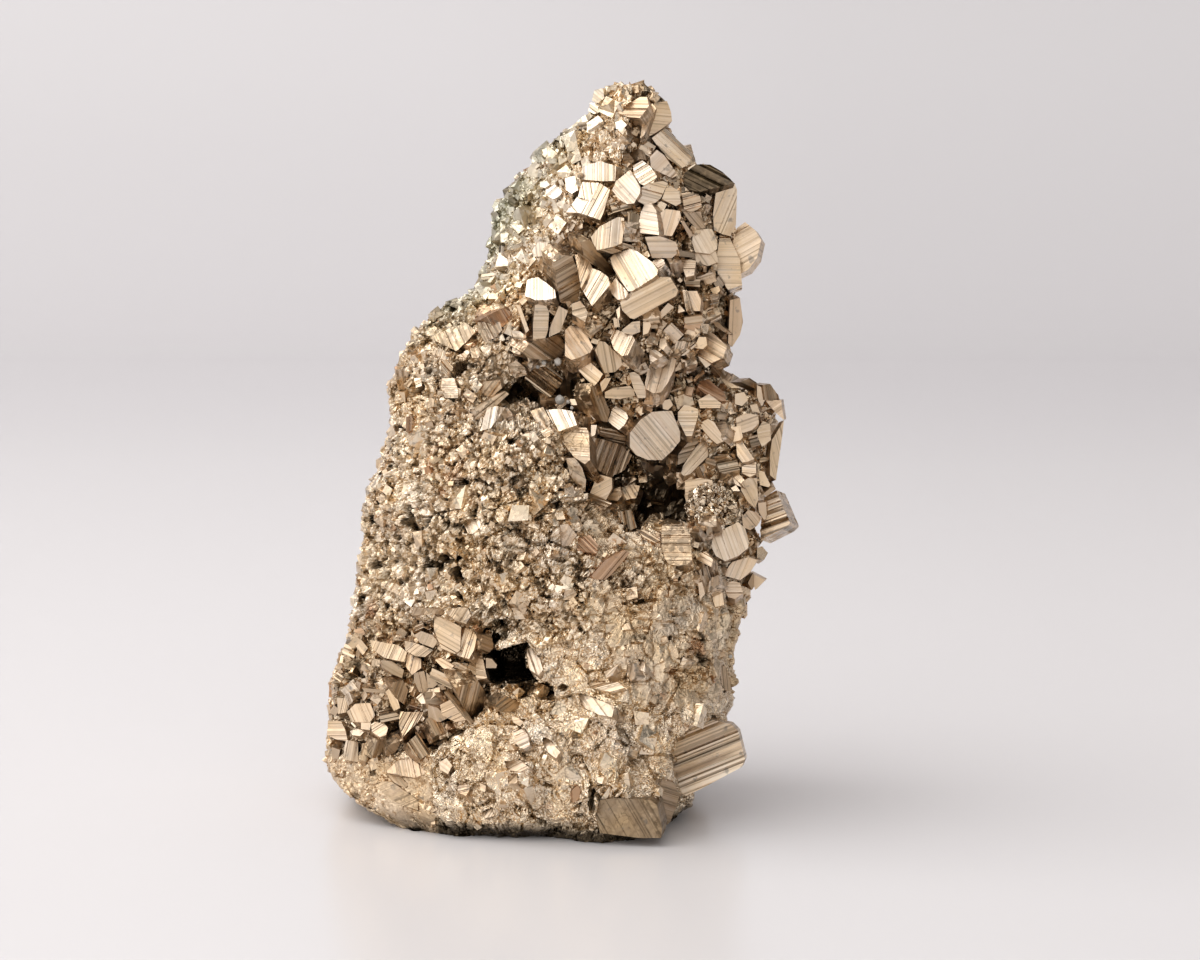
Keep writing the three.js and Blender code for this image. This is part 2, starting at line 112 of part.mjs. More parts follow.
  { at: [7.33,-13.97,46.51], out: [-0.082,-0.988,0.132], along: [0.881,-0.01,0.473], outline: [[-0.56,-1.74], [0.91,-0.69], [1.54,0.49], [0.12,1.85], [-2.02,0.1]] },
  { at: [8.07,-11.62,50.18], out: [0.639,-0.752,-0.161], along: [0.342,0.09,0.935], outline: [[-1.42,3.02], [-2.11,1.12], [-2.64,-1.5], [-0.98,-3.63], [1.25,-3.9], [2.11,-1.49], [2.02,1.8], [1.77,4.59]] },
  { at: [21.97,-11.1,53.6], out: [0.02,-0.948,0.318], along: [0.699,-0.214,-0.682], outline: [[-1.01,-0.75], [0.42,-0.85], [1.67,-0.75], [2.03,0.22], [1.26,0.6], [-0.76,1.09], [-1.62,0.8], [-1.98,-0.36]] },
  { at: [26.71,-9.93,54.63], out: [-0.007,-0.945,0.328], along: [0.938,0.107,0.33], outline: [[-1.54,-0.19], [-1.02,-1.11], [0.26,-1.15], [1.49,-0.58], [1.76,0.5], [0.21,1.37], [-1.17,1.15]] },
  { at: [30.76,-6.44,50.13], out: [0.194,-0.956,0.221], along: [0.234,-0.173,-0.957], outline: [[2.82,-1.5], [3.67,-0.85], [-0.82,1], [-4.05,2.25], [-1.77,-0.06], [0.16,-0.84]] },
  { at: [27.1,-10.9,45.45], out: [0.199,-0.98,0.03], along: [0.444,0.063,-0.894], outline: [[1.2,-0.89], [2.39,-0.4], [1.61,0.46], [-1.13,1.68], [-1.72,0.57], [-1.63,-0.4], [-0.72,-1.02]] },
  { at: [19.99,-11.17,46.19], out: [-0.18,-0.977,0.114], along: [0.975,-0.162,0.152], outline: [[-1.83,-0.99], [-1.46,-1.31], [2.26,-0.29], [2.09,0.55], [0.5,1.02], [-1.56,1.02]] },
  { at: [30.55,-7.78,41.59], out: [-0.364,-0.894,0.26], along: [0.892,-0.254,0.373], outline: [[-2.73,-2.53], [1,-2.1], [1.88,-1.68], [1.57,1.19], [1.32,3.32], [-0.58,2.98], [-2.46,-1.17]] },
  { at: [6.4,-19.49,42.77], out: [0.185,-0.963,0.193], along: [0.952,0.127,-0.278], outline: [[-1.53,-1.45], [-0.39,-2.11], [0.99,-2.02], [2.78,0.24], [2.62,0.88], [-0.46,1.99], [-2.06,2.25], [-1.95,0.22]] },
  { at: [17.11,-17.96,38.99], out: [-0.043,-0.824,0.566], along: [0.999,-0.047,0.008], outline: [[-1.71,-1.67], [-1.04,-2.55], [0.16,-2.84], [1.49,-2.55], [2.02,-1.96], [1.72,1.72], [1.17,3.05], [0.37,3.35], [-2.04,3.2], [-2.14,0.24]] },
  { at: [8.04,-22.47,36.94], out: [0.325,-0.941,0.094], along: [0.634,0.291,0.717], outline: [[-2.42,0.45], [-1.6,-0.69], [-0.37,-0.9], [3.34,-0.94], [3.18,-0.14], [0.36,1.08], [-2.49,1.14]] },
  { at: [5.19,-21.78,39.76], out: [0.11,-0.853,0.51], along: [0.701,-0.297,-0.648], outline: [[0.43,-0.9], [1.61,0.18], [0.89,1.08], [-0.84,1.3], [-1.61,-0.18], [-0.49,-1.48]] },
  { at: [24.38,-12.99,38.71], out: [0.05,-0.951,0.304], along: [0.334,-0.271,-0.903], outline: [[1.05,-2.41], [2.09,-1.49], [2.03,0.4], [1.45,2.05], [0.72,2.46], [-1.25,2.6], [-2.33,1.98], [-1.93,-1.04], [-1.38,-1.96], [-0.45,-2.58]] },
  { at: [26.04,-11.26,35.03], out: [-0.01,-0.971,0.238], along: [0.399,0.214,0.891], outline: [[-1.63,-0.46], [-0.09,-1.27], [1.84,-1.62], [1.67,-0.21], [0.18,1.5], [-1.98,2.05]] },
  { at: [-13.52,-19.74,27.63], out: [-0.155,-0.912,0.381], along: [0.844,-0.322,-0.428], outline: [[-1.77,-0.53], [0.36,-2.14], [2.44,-1.9], [2.75,-1.1], [1.21,1.62], [-0.21,1.6], [-2.07,1.49], [-2.71,0.97]] },
  { at: [-10.83,-20.5,26.21], out: [-0.346,-0.809,0.476], along: [0.292,0.389,0.874], outline: [[-1.81,0.16], [-1.87,-0.93], [-0.53,-1.23], [1.42,-1.01], [2.22,0.03], [2.18,1.69], [-1.6,1.29]] },
  { at: [-21.46,-15.78,24.4], out: [-0.293,-0.83,0.475], along: [0.385,0.352,0.853], outline: [[-0.6,2.36], [-1.09,0.22], [-0.71,-2.76], [0.67,-2.43], [1.17,-0.77], [0.56,3.38]] },
  { at: [-14.11,-19.22,21.28], out: [-0.3,-0.921,0.248], along: [0.868,-0.372,-0.33], outline: [[1.58,-0.77], [2.43,0.76], [-2.09,0.7], [-1.92,-0.69]] },
  { at: [-10.43,-20.02,22.51], out: [-0.159,-0.789,0.594], along: [0.857,-0.408,-0.313], outline: [[0.06,-2.07], [1.48,-0.74], [0.7,0.84], [-0.54,2.38], [-0.8,1.76], [-0.63,-0.12], [-0.26,-2.06]] },
  { at: [-19.94,-16.83,19.07], out: [0.471,-0.869,-0.154], along: [0.343,0.02,0.939], outline: [[-1.21,-0.04], [-1.66,-1.33], [0.45,-0.97], [1.62,0.3], [0.8,2.04]] },
  { at: [-25.42,-13.62,15.66], out: [-0.17,-0.883,0.438], along: [0.412,-0.467,-0.782], outline: [[0.7,-1.82], [1.85,0.41], [1.27,1.42], [-0.59,1.47], [-0.91,0.85], [-1.42,-0.45], [-0.9,-1.89]] },
  { at: [-6.03,-21.47,27.06], out: [-0.291,-0.889,0.353], along: [0.375,-0.445,-0.813], outline: [[0.85,-1.42], [0.85,-0.81], [0.66,2.15], [-0.15,1.73], [-1.27,-0.23], [-0.95,-1.42]] },
  { at: [-1.93,-22.15,24.27], out: [-0.227,-0.764,0.604], along: [0.307,-0.644,-0.7], outline: [[-0.86,-0.71], [1.01,-0.88], [2.19,-0.11], [1.77,0.74], [0.18,0.83], [-2,0.37], [-2.29,-0.25]] },
  { at: [0.69,-23.33,24.92], out: [-0.373,-0.854,0.361], along: [0.928,-0.342,0.149], outline: [[-1.22,-1.23], [0.93,-1.4], [2.08,-0.42], [1.65,1.24], [-1.51,1.91], [-1.94,-0.09]] },
  { at: [1.25,-23.23,20.85], out: [-0.148,-0.989,0.012], along: [0.82,-0.129,-0.558], outline: [[-0.87,-0.59], [1.28,-1.37], [1.41,-0.12], [0.2,2.16], [-2.01,-0.08]] },
  { at: [-9.94,-20.53,18.73], out: [0.426,-0.791,-0.44], along: [0.212,-0.385,0.898], outline: [[-0.68,1.66], [-3.77,-0.49], [-2.2,-1.34], [-0.29,-2.12], [1.49,-1.14], [3.12,0.1], [2.33,3.33]] },
  { at: [-13.11,-20.11,16.92], out: [-0.215,-0.907,0.362], along: [0.9,-0.04,0.434], outline: [[-1.21,0.18], [0.06,-1.46], [1.54,-1.85], [0.56,1.59], [-0.95,1.55]] },
  { at: [-5.52,-21.7,18.21], out: [0.598,-0.801,-0.017], along: [0.72,0.528,0.45], outline: [[-1.35,-0.16], [0.69,-1.54], [1.92,-0.9], [0.35,1.45], [-1.61,1.15]] },
  { at: [-29.09,-9.86,12.08], out: [-0.436,-0.828,0.351], along: [0.897,-0.432,0.094], outline: [[-0.26,-1.04], [1.67,-1.31], [1.38,-0.07], [0.43,1.45], [-1.64,1.46], [-1.59,-0.49]] },
  { at: [-18.8,-18.07,15.23], out: [0.014,-0.771,0.637], along: [0.404,0.587,0.701], outline: [[-2.42,-0.27], [0.44,-1.13], [2.19,-1.34], [0.81,1.73], [-1.02,1]] },
  { at: [-17.44,-19.47,12.02], out: [0.27,-0.85,0.453], along: [0.55,-0.25,-0.797], outline: [[1.55,-0.83], [1.4,1.08], [-1.69,1.01], [-1.26,-1.26]] },
  { at: [-18.68,-18.66,8.9], out: [-0.333,-0.797,0.504], along: [0.204,-0.582,-0.787], outline: [[1.54,0.44], [1.46,1.93], [0.91,2.04], [-1.39,0.57], [-1.79,-1.43], [-0.73,-3.56]] },
  { at: [-12.75,-22.28,11.86], out: [-0.322,-0.668,0.67], along: [0.421,0.533,0.734], outline: [[-2.84,0.55], [-2.55,-1.7], [-1.2,-2.59], [1,-1.91], [3.6,1.57], [2.74,2.41], [-0.75,1.67]] },
  { at: [-20.49,-17.91,5.06], out: [-0.281,-0.915,0.288], along: [0.892,-0.138,0.431], outline: [[-1.59,0.71], [-0.09,-1.37], [2.03,-2.99], [2.52,-1.74], [-0.03,1.96], [-2.84,3.44]] },
  { at: [20.97,-13.56,9.34], out: [-0.078,-0.981,0.175], along: [0.924,-0.005,0.383], outline: [[-4.13,1.38], [-4.57,-0.78], [-4.66,-3.52], [-4.26,-3.97], [-2.01,-3.85], [4.28,-3.17], [5.07,-2.32], [5.62,1.55], [5.1,2.78], [3.03,4.2], [-0.15,4.31], [-3.32,3.39]] },
  { at: [26.05,-9.42,11.35], out: [-0.017,-1,0.017], along: [0.146,0.014,0.989], outline: [[-2.84,-0.82], [-2.87,-1.52], [-1.98,-1.8], [1.12,0.06], [3.02,1.45], [3.55,2.64]] },
  { at: [15.14,-23.21,14.99], out: [-0.348,-0.882,0.318], along: [0.355,-0.438,-0.826], outline: [[0.42,-1.16], [1.64,-0.75], [2.17,0.4], [-0.91,1.67], [-1.69,0.32], [-1.62,-0.47]] },
  { at: [10.98,-25.89,3.99], out: [-0.129,-0.991,0.031], along: [0.499,-0.092,-0.862], outline: [[-0.16,-4.73], [2.98,-0.37], [4.32,2.08], [3.22,2.88], [0.22,3.84], [-0.8,3.36], [-3.27,-0.6], [-4,-2.49], [-2.51,-3.98]] },
  { at: [16.09,-19.4,4.77], out: [0.702,-0.712,-0.019], along: [0.657,0.658,-0.367], outline: [[1.18,-3.23], [1.68,-2.43], [1.87,1.1], [-0.47,2.68], [-2.57,2.23], [-1.69,-0.36]] },
  { at: [18.23,-13.06,2.39], out: [0.059,-0.994,0.091], along: [0.444,-0.055,-0.894], outline: [[1.18,-0.35], [0.81,1.05], [-0.84,2.63], [-1.59,0.25], [-0.79,-1.21], [1.23,-2.37]] },
  { at: [6.38,-24.4,18.7], out: [-0.508,-0.73,0.457], along: [0.489,-0.681,-0.546], outline: [[-1.49,-1.68], [1.43,-0.33], [2.98,0.83], [1.94,1.93], [-1.54,0.22], [-3.33,-0.98]] },
  { at: [7.66,-24.54,21.39], out: [-0.388,-0.711,0.586], along: [0.919,-0.253,0.301], outline: [[-2.29,0.52], [0.48,-1.01], [2.62,-1.01], [1.71,0.15], [-2.52,1.35]] },
  { at: [-12.18,-9.22,66.35], out: [-0.383,-0.86,0.337], along: [0.391,-0.482,-0.784], outline: [[1.71,-1.24], [1.64,-0.55], [0.89,2.23], [0.51,2.4], [-1.08,1.66], [-1.69,-0.67], [-1.97,-3.82]] },
  { at: [-6.6,-9.85,69], out: [0.499,-0.858,0.123], along: [0.493,0.164,-0.855], outline: [[1.39,-0.41], [1.2,1.02], [0.4,1.76], [-0.63,1.17], [-1.07,-0.74], [-1.3,-2.8]] },
  { at: [-7.97,-10.58,67.14], out: [0.077,-0.986,0.147], along: [0.469,-0.094,-0.878], outline: [[-0.61,-1.45], [1.01,-1.25], [1.16,0.19], [0.66,1.53], [-0.42,1.8], [-1.8,-0.82]] },
  { at: [-13.28,-13.16,59.68], out: [-0.213,-0.864,0.456], along: [0.974,-0.226,0.025], outline: [[-0.51,-1.38], [1.29,-1.38], [1.18,-0.24], [0.46,1.48], [-1.21,1.48], [-1.21,0.05]] },
  { at: [12.15,-22.9,30.03], out: [-0.183,-0.775,0.605], along: [0.223,0.567,0.793], outline: [[-1.64,0.61], [-1.14,-0.92], [-0.14,-1.66], [0.98,-1.13], [1.24,0.3], [0.94,1.47], [-0.24,1.34]] },
  { at: [17.73,-21.18,25.76], out: [-0.041,-0.998,0.047], along: [0.975,-0.05,-0.219], outline: [[-0.95,-1.75], [0.24,-2.16], [2.03,-1.06], [2.12,0.34], [0.93,1.99], [-0.75,2.15], [-1.8,0.8], [-1.82,-0.3]] },
  { at: [15.64,-22.51,22.78], out: [-0.175,-0.97,0.169], along: [0.753,-0.242,-0.612], outline: [[0.82,-1.25], [1.8,0.29], [0.98,1.68], [-0.92,1.45], [-1.83,-0.19], [-0.85,-1.97]] },
  { at: [24.24,-12.08,26], out: [0.083,-0.96,0.269], along: [0.672,-0.145,-0.726], outline: [[0.63,-2.48], [2.04,-1.93], [2.65,-0.64], [1.64,0.67], [-0.55,2.32], [-1.98,2.15], [-2.87,0.74], [-1.55,-0.84]] },
  { at: [22.46,-15.77,22.25], out: [-0.228,-0.968,0.104], along: [0.629,-0.065,0.774], outline: [[-1.72,-0.74], [0.01,-1.07], [1.77,-1.02], [1.4,0.83], [-0.02,1.42], [-1.44,0.58]] },
  { at: [14.88,-23.12,18.07], out: [-0.344,-0.833,0.434], along: [0.086,-0.488,-0.869], outline: [[1.14,-0.9], [1.2,0.92], [-0.05,1.61], [-1.19,0.03], [-1.1,-1.67]] },
  { at: [-7.24,-24.34,7.33], out: [-0.09,-0.995,0.052], along: [0.037,0.049,0.998], outline: [[-2.06,0.44], [-3.35,-0.54], [-1.32,-0.87], [1.1,-0.78], [2.41,-0.07], [2.62,0.87], [0.6,0.94]] },
];

// Cubes on the flanks and the back: middle of the outer face, its outward
// direction, a side direction, half the edge, and the ratio of the two sides.
const CUBES = [
  [[25.58,4.36,78.45], [0.974,0.193,0.12], [-0.028,0.625,-0.78], 1.92, 0.96],
  [[24.24,5.87,12.24], [0.887,0.436,-0.15], [-0.288,0.271,-0.918], 1.54, 1.21],
  [[-19.83,13.68,16.09], [0.786,-0.57,0.238], [0.445,0.789,0.423], 3.59, 1.24],
  [[-29,12.8,9.25], [-0.998,-0.041,0.048], [0.023,0.471,0.882], 2.26, 1.02],
  [[3.67,4.59,95.2], [-0.231,0.094,0.968], [0.76,-0.604,0.24], 2.24, 0.82],
  [[3.59,8.35,84.49], [-0.882,-0.28,-0.379], [0.067,0.721,-0.69], 1.89, 1.07],
  [[-6,18.83,25.69], [0.365,0.468,0.805], [0.64,-0.754,0.148], 2.79, 1.05],
  [[-8.59,16.24,39.58], [-0.272,0.961,0.044], [0.596,0.132,0.792], 2.78, 1.05],
  [[-22.21,9.62,39.2], [-0.479,0.816,-0.323], [-0.657,-0.578,-0.485], 1.71, 1.06],
  [[-15.39,12.52,49.93], [-0.566,0.147,0.811], [-0.67,-0.655,-0.349], 3.4, 1.2],
  [[-1.73,4.86,89.81], [-0.944,0.246,0.219], [0.163,-0.231,0.959], 2.67, 0.94],
  [[23.73,13.79,48.56], [0.733,0.613,0.296], [-0.236,-0.18,0.955], 3, 1.03],
  [[-2.64,7.72,78.26], [-0.453,0.888,0.082], [-0.255,-0.041,-0.966], 1.79, 1.21],
  [[27.31,9.48,47.86], [0.829,0.495,-0.26], [0.549,-0.809,0.209], 1.59, 0.99],
  [[-13.76,20.6,21.68], [0.248,0.591,0.768], [-0.922,-0.099,0.374], 2.64, 0.95],
  [[-11.02,18.82,21.87], [0.318,-0.359,-0.877], [0.272,0.921,-0.278], 1.66, 1.01],
  [[9.23,10.81,66.27], [0.885,-0.293,-0.362], [0.456,0.701,0.548], 3.23, 0.92],
  [[-25.61,13.5,15.95], [-0.388,0.683,-0.62], [-0.913,-0.379,0.154], 1.79, 1.06],
  [[27.69,7.89,37.51], [0.872,-0.11,-0.476], [0.25,0.938,0.241], 2.86, 0.85],
  [[20.05,7.39,84.15], [-0.035,0.991,-0.129], [0.949,-0.008,-0.316], 2.91, 0.96],
  [[30.92,3.91,49.94], [0.873,0.064,-0.484], [-0.048,0.998,0.045], 1.63, 1.25],
  [[9.47,20.49,17.2], [-0.272,0.326,0.905], [-0.924,0.174,-0.341], 1.67, 1],
  [[21.49,6.92,79.34], [0.389,0.168,0.906], [0.689,-0.706,-0.165], 3.42, 0.94],
  [[-7.44,3.88,81.09], [-0.793,0.39,0.468], [0.241,-0.506,0.828], 1.73, 0.82],
  [[16.11,8.57,77.34], [0.255,0.519,-0.816], [-0.742,-0.436,-0.509], 2.68, 1.15],
  [[1.36,22.09,9.08], [0.818,0.469,0.334], [-0.499,0.867,0.006], 2.77, 0.82],
  [[-19.08,15.64,39.97], [-0.572,0.73,0.374], [-0.806,-0.585,-0.092], 2.61, 1.18],
  [[-5.43,19.22,20.81], [0.601,0.397,0.694], [0.784,-0.46,-0.416], 2.16, 1.18],
  [[25.29,7.22,22.93], [0.589,-0.082,-0.804], [-0.801,0.068,-0.594], 2.66, 0.89],
  [[-13.24,12.35,54.24], [-0.386,0.918,0.085], [0.845,0.389,-0.366], 2.99, 1.04],
  [[22.27,12.7,18.25], [0.521,0.538,-0.663], [-0.62,0.772,0.14], 2.89, 1.08],
  [[-30.84,6.75,16.93], [-0.84,0.423,0.341], [0.396,0.047,0.917], 1.65, 0.82],
  [[20.84,7.82,70.8], [0.413,0.742,0.529], [-0.816,0.559,-0.147], 1.62, 1.25],
  [[-1.94,16.91,46.44], [0.264,0.907,-0.327], [0.868,-0.076,0.49], 1.71, 0.81],
  [[19.32,13.87,17.82], [0.882,-0.037,-0.47], [0.391,0.613,0.686], 1.61, 1.13],
  [[9.11,15.37,55.2], [-0.104,0.897,0.43], [0.96,0.203,-0.191], 1.98, 1.18],
  [[-10.11,20.67,15.65], [0.116,0.852,-0.511], [-0.813,0.376,0.444], 3.54, 0.85],
  [[-6.84,15.85,43.52], [0.348,0.863,-0.366], [-0.767,0.038,-0.64], 2.38, 0.9],
  [[16.84,14.5,47.78], [-0.747,-0.305,0.591], [-0.474,-0.378,-0.795], 2.82, 1.1],
  [[-13.08,20.63,10.8], [0.08,0.925,0.372], [-0.981,0.139,-0.133], 3.45, 1.07],
  [[0.17,16.04,45.83], [-0.12,0.993,0.016], [0.645,0.066,0.762], 1.52, 0.82],
  [[-31.14,6.59,12.59], [-0.981,-0.095,-0.17], [-0.168,-0.033,0.985], 1.53, 0.84],
  [[-1.67,20.11,16.66], [0.536,0.833,0.139], [0.104,0.098,-0.99], 3.02, 0.89],
  [[-22.91,10.02,37.74], [-0.768,0.135,0.626], [0.615,-0.118,0.78], 1.51, 0.93],
  [[14.52,15.84,43.83], [0.946,0.094,-0.309], [0.169,-0.959,0.229], 3.42, 0.91],
  [[23.77,13.5,38.07], [0.676,0.394,0.622], [0.021,-0.855,0.518], 1.91, 1.05],
  [[25.87,5.57,58.86], [0.446,0.271,0.853], [-0.709,-0.474,0.522], 2.06, 0.87],
  [[-5.12,20.03,9.66], [-0.351,0.883,0.312], [0.316,-0.201,0.927], 2.42, 1.11],
  [[-6.02,12.78,69.76], [-0.353,0.399,0.846], [-0.841,-0.532,-0.1], 3.29, 1.19],
  [[-25.78,10.85,21.57], [-0.354,0.674,0.649], [0.074,-0.671,0.738], 1.83, 1.08],
  [[23.51,12.98,31.71], [0.076,0.947,0.312], [0.878,0.085,-0.471], 2.82, 0.87],
  [[20.76,10.69,6.56], [0.643,0.722,-0.254], [-0.645,0.332,-0.689], 1.77, 1.14],
  [[29.54,8.22,44.2], [0.979,0.203,0.014], [0.048,-0.298,0.953], 2.94, 0.87],
  [[-0.94,15.62,62.69], [0.014,0.406,-0.914], [0.827,0.509,0.239], 3.14, 0.9],
  [[12.12,17.44,28.01], [0.845,0.481,0.235], [0.474,-0.876,0.089], 1.68, 0.88],
  [[7.36,8.95,93.17], [-0.32,0.874,0.366], [0.877,0.127,0.464], 2.04, 0.9],
  [[-29.44,9.44,14.99], [-0.944,0.226,-0.24], [-0.25,-0.965,0.075], 1.6, 0.83],
  [[22.33,15.97,33.65], [0.929,0.214,0.303], [0.215,-0.976,0.029], 3.17, 1.18],
  [[15.86,14.61,54.66], [0.078,0.995,-0.066], [0.195,0.05,0.98], 1.99, 0.98],
  [[24.72,7.06,17.83], [0.988,0.152,0.01], [-0.142,0.895,0.423], 2.14, 1.16],
  [[4.21,23.92,11.44], [0.714,0.505,0.484], [-0.015,-0.68,0.733], 1.93, 1.22],
  [[11.94,16.21,40.46], [-0.693,0.114,0.712], [-0.149,0.943,-0.296], 2.68, 1.03],
  [[-14.45,15.79,41.96], [0.06,0.633,0.772], [0.484,0.658,-0.577], 1.76, 1.14],
  [[-0.39,10.18,73.98], [-0.069,0.945,0.32], [-0.287,0.288,-0.914], 1.52, 1.11],
];

// Rim of the open cavity low on the front, as [x, z].
const CAVITY = [[-8.48,24.56], [-6.88,25.38], [-5.14,26.06], [-3.81,26.6], [-2.74,26.73], [-2.35,26.06], [-3.02,24.7], [-2.75,23.34], [-1.82,22.39], [-1.43,21.58], [-2.23,20.9], [-3.83,21.03], [-5.83,21.03], [-7.17,20.76], [-8.36,21.31], [-8.49,22.66]];

const wasm = await Module();
wasm.setup();

// A three.js geometry, closed and with merged vertices, as a solid.
function solid(geometry, matrix) {
  let g = geometry.clone();
  g.deleteAttribute('normal');
  g.deleteAttribute('uv');
  if (matrix) g.applyMatrix4(matrix);
  g = mergeVertices(g, 1e-4);
  return new wasm.Manifold(new wasm.Mesh({
    numProp: 3,
    vertProperties: new Float32Array(g.attributes.position.array),
    triVerts: new Uint32Array(g.index.array),
  }));
}

// Frame with X along the striations, Z out of the face.
function frame(at, out, along) {
  const z = new THREE.Vector3(...out).normalize();
  const x = new THREE.Vector3(...along);
  x.addScaledVector(z, -x.dot(z)).normalize();
  const y = new THREE.Vector3().crossVectors(z, x);
  const m = new THREE.Matrix4().makeBasis(x, y, z);
  m.setPosition(new THREE.Vector3(...at));
  return m;
}

// The body: a cylinder's grid of vertices, moved ring by ring onto the outlines.
function bodySolid() {
  const around = RINGS[0].length;
  const levels = RINGS.length;
  const g = new THREE.CylinderGeometry(1, 1, 1, around, levels - 1, false);
  const p = g.attributes.position;
  const v = new THREE.Vector3();
  const mid = (ring) => ring.reduce((s, q) => s.map((a, i) => a + q[i] / ring.length), [0, 0, 0]);
  for (let i = 0; i < p.count; i++) {
    v.fromBufferAttribute(p, i);
    const level = Math.round((0.5 - v.y) * (levels - 1));
    const ring = RINGS[level];
    if (Math.hypot(v.x, v.z) < 1e-6) {
      const m = mid(ring);
      p.setXYZ(i, ...m);
      continue;
    }
    let turn = Math.atan2(v.x, v.z) / (2 * Math.PI);
    if (turn < 0) turn += 1;
    const k = Math.round(turn * around) % around;
    p.setXYZ(i, ...ring[k]);
  }
  return solid(g);
}

function crystal(face) {
  const shape = new THREE.Shape(face.outline.map(([x, y]) => new THREE.Vector2(x, y)));
  const area = Math.abs(THREE.ShapeUtils.area(shape.getPoints(1)));
  const root = Math.min(Math.max(ROOT_FACTOR * Math.sqrt(area), ROOT_MIN), ROOT_MAX);
  const g = new THREE.ExtrudeGeometry(shape, { depth: root, bevelEnabled: false, steps: 1 });
  g.translate(0, 0, -root);
  return solid(g, frame(face.at, face.out, face.along));
}

function cube([at, out, along, half, ratio]) {
  const g = new THREE.BoxGeometry(2 * half, 2 * half * ratio, 2 * half);
  g.translate(0, 0, -half);
  return solid(g, frame(at, out, along));
}

// The cavity narrows a little towards its far end.
function cavitySolid() {
  const shape = new THREE.Shape(CAVITY.map(([x, z]) => new THREE.Vector2(x, z)));
  const run = CAVITY_DEPTH + (CAVITY_MOUTH_Y - CAVITY_FRONT_Y);
  const g = new THREE.ExtrudeGeometry(shape, { depth: run, bevelEnabled: false, steps: 2 });
  const box = new THREE.Box2().setFromPoints(CAVITY.map(([x, z]) => new THREE.Vector2(x, z)));
  const c = box.getCenter(new THREE.Vector2());
  const p = g.attributes.position;
  for (let i = 0; i < p.count; i++) {
    const t = p.getZ(i) / run;
    const k = t > 0.5 ? 1 - (1 - CAVITY_NARROWING) * (t - 0.5) / 0.5 : 1;
    const x = c.x + (p.getX(i) - c.x) * k;
    const z = c.y + (p.getY(i) - c.y) * k;
    p.setXYZ(i, x, CAVITY_FRONT_Y + p.getZ(i), z);
  }
  // the swap of Y and Z mirrors the shape, so its triangles are turned over
  const q = g.index ? g.toNonIndexed() : g;
  const a = q.attributes.position;
  for (let i = 0; i < a.count; i += 3) {
    const b = [a.getX(i + 1), a.getY(i + 1), a.getZ(i + 1)];
    a.setXYZ(i + 1, a.getX(i + 2), a.getY(i + 2), a.getZ(i + 2));
    a.setXYZ(i + 2, ...b);
  }
  return solid(q);
}

let stone = bodySolid();
for (const face of FACES) stone = stone.add(crystal(face));
for (const c of CUBES) stone = stone.add(cube(c));
stone = stone.subtract(cavitySolid());

// Trim to the standing height and to the flat base.
const block = new THREE.BoxGeometry(2 * REACH, 2 * REACH, HEIGHT);
block.translate(0, 0, BASE_Z + HEIGHT / 2);
stone = stone.intersect(solid(block));

// One body: the largest connected piece, without slivers.
if (stone.simplify) stone = stone.simplify(CLEAN);
stone = stone.decompose().reduce((a, b) => (b.volume() > a.volume() ? b : a));

const mesh = stone.getMesh();
let geometry = new THREE.BufferGeometry();
const positions = new Float32Array(mesh.numVert * 3);
for (let i = 0; i < mesh.numVert; i++) {
  for (let k = 0; k < 3; k++) positions[3 * i + k] = mesh.vertProperties[i * mesh.numProp + k];
}
geometry.setAttribute('position', new THREE.BufferAttribute(positions, 3));
geometry.setIndex(new THREE.BufferAttribute(new Uint32Array(mesh.triVerts), 1));
geometry = geometry.toNonIndexed();
geometry.computeVertexNormals();

const pyrite = new THREE.MeshStandardMaterial({ color: 0xb49a78, roughness: 0.34, metalness: 1.0 });
const specimen = new THREE.Mesh(geometry, pyrite);
specimen.name = 'pyrite_specimen';

const part = new THREE.Group();
part.add(specimen);
export default part;
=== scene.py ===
"""Pyrite specimen: the looks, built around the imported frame.

One intergrown cluster. Its surface is made of real geometry: a rough matrix,
striated crystals built from stepped strips, and many thousands of grains,
shards and small cubes, each a closed convex body set into the matrix.
Tables are in millimetres in the row frame; everything is written in metres.
"""
import math
import bpy
import bmesh
import numpy as np
from mathutils import Matrix, Vector


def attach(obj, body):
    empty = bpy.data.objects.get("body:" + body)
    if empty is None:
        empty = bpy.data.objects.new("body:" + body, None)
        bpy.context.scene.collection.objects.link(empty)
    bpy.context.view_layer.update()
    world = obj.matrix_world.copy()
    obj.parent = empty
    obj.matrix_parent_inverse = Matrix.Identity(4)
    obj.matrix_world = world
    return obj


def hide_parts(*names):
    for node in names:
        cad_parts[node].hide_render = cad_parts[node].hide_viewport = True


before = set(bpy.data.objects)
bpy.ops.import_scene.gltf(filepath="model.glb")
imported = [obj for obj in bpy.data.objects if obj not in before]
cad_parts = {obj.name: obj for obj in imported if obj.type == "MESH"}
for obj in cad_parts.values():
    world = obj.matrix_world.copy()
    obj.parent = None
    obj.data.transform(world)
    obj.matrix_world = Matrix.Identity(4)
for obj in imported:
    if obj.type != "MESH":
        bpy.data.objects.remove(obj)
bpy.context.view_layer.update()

MM = 0.001

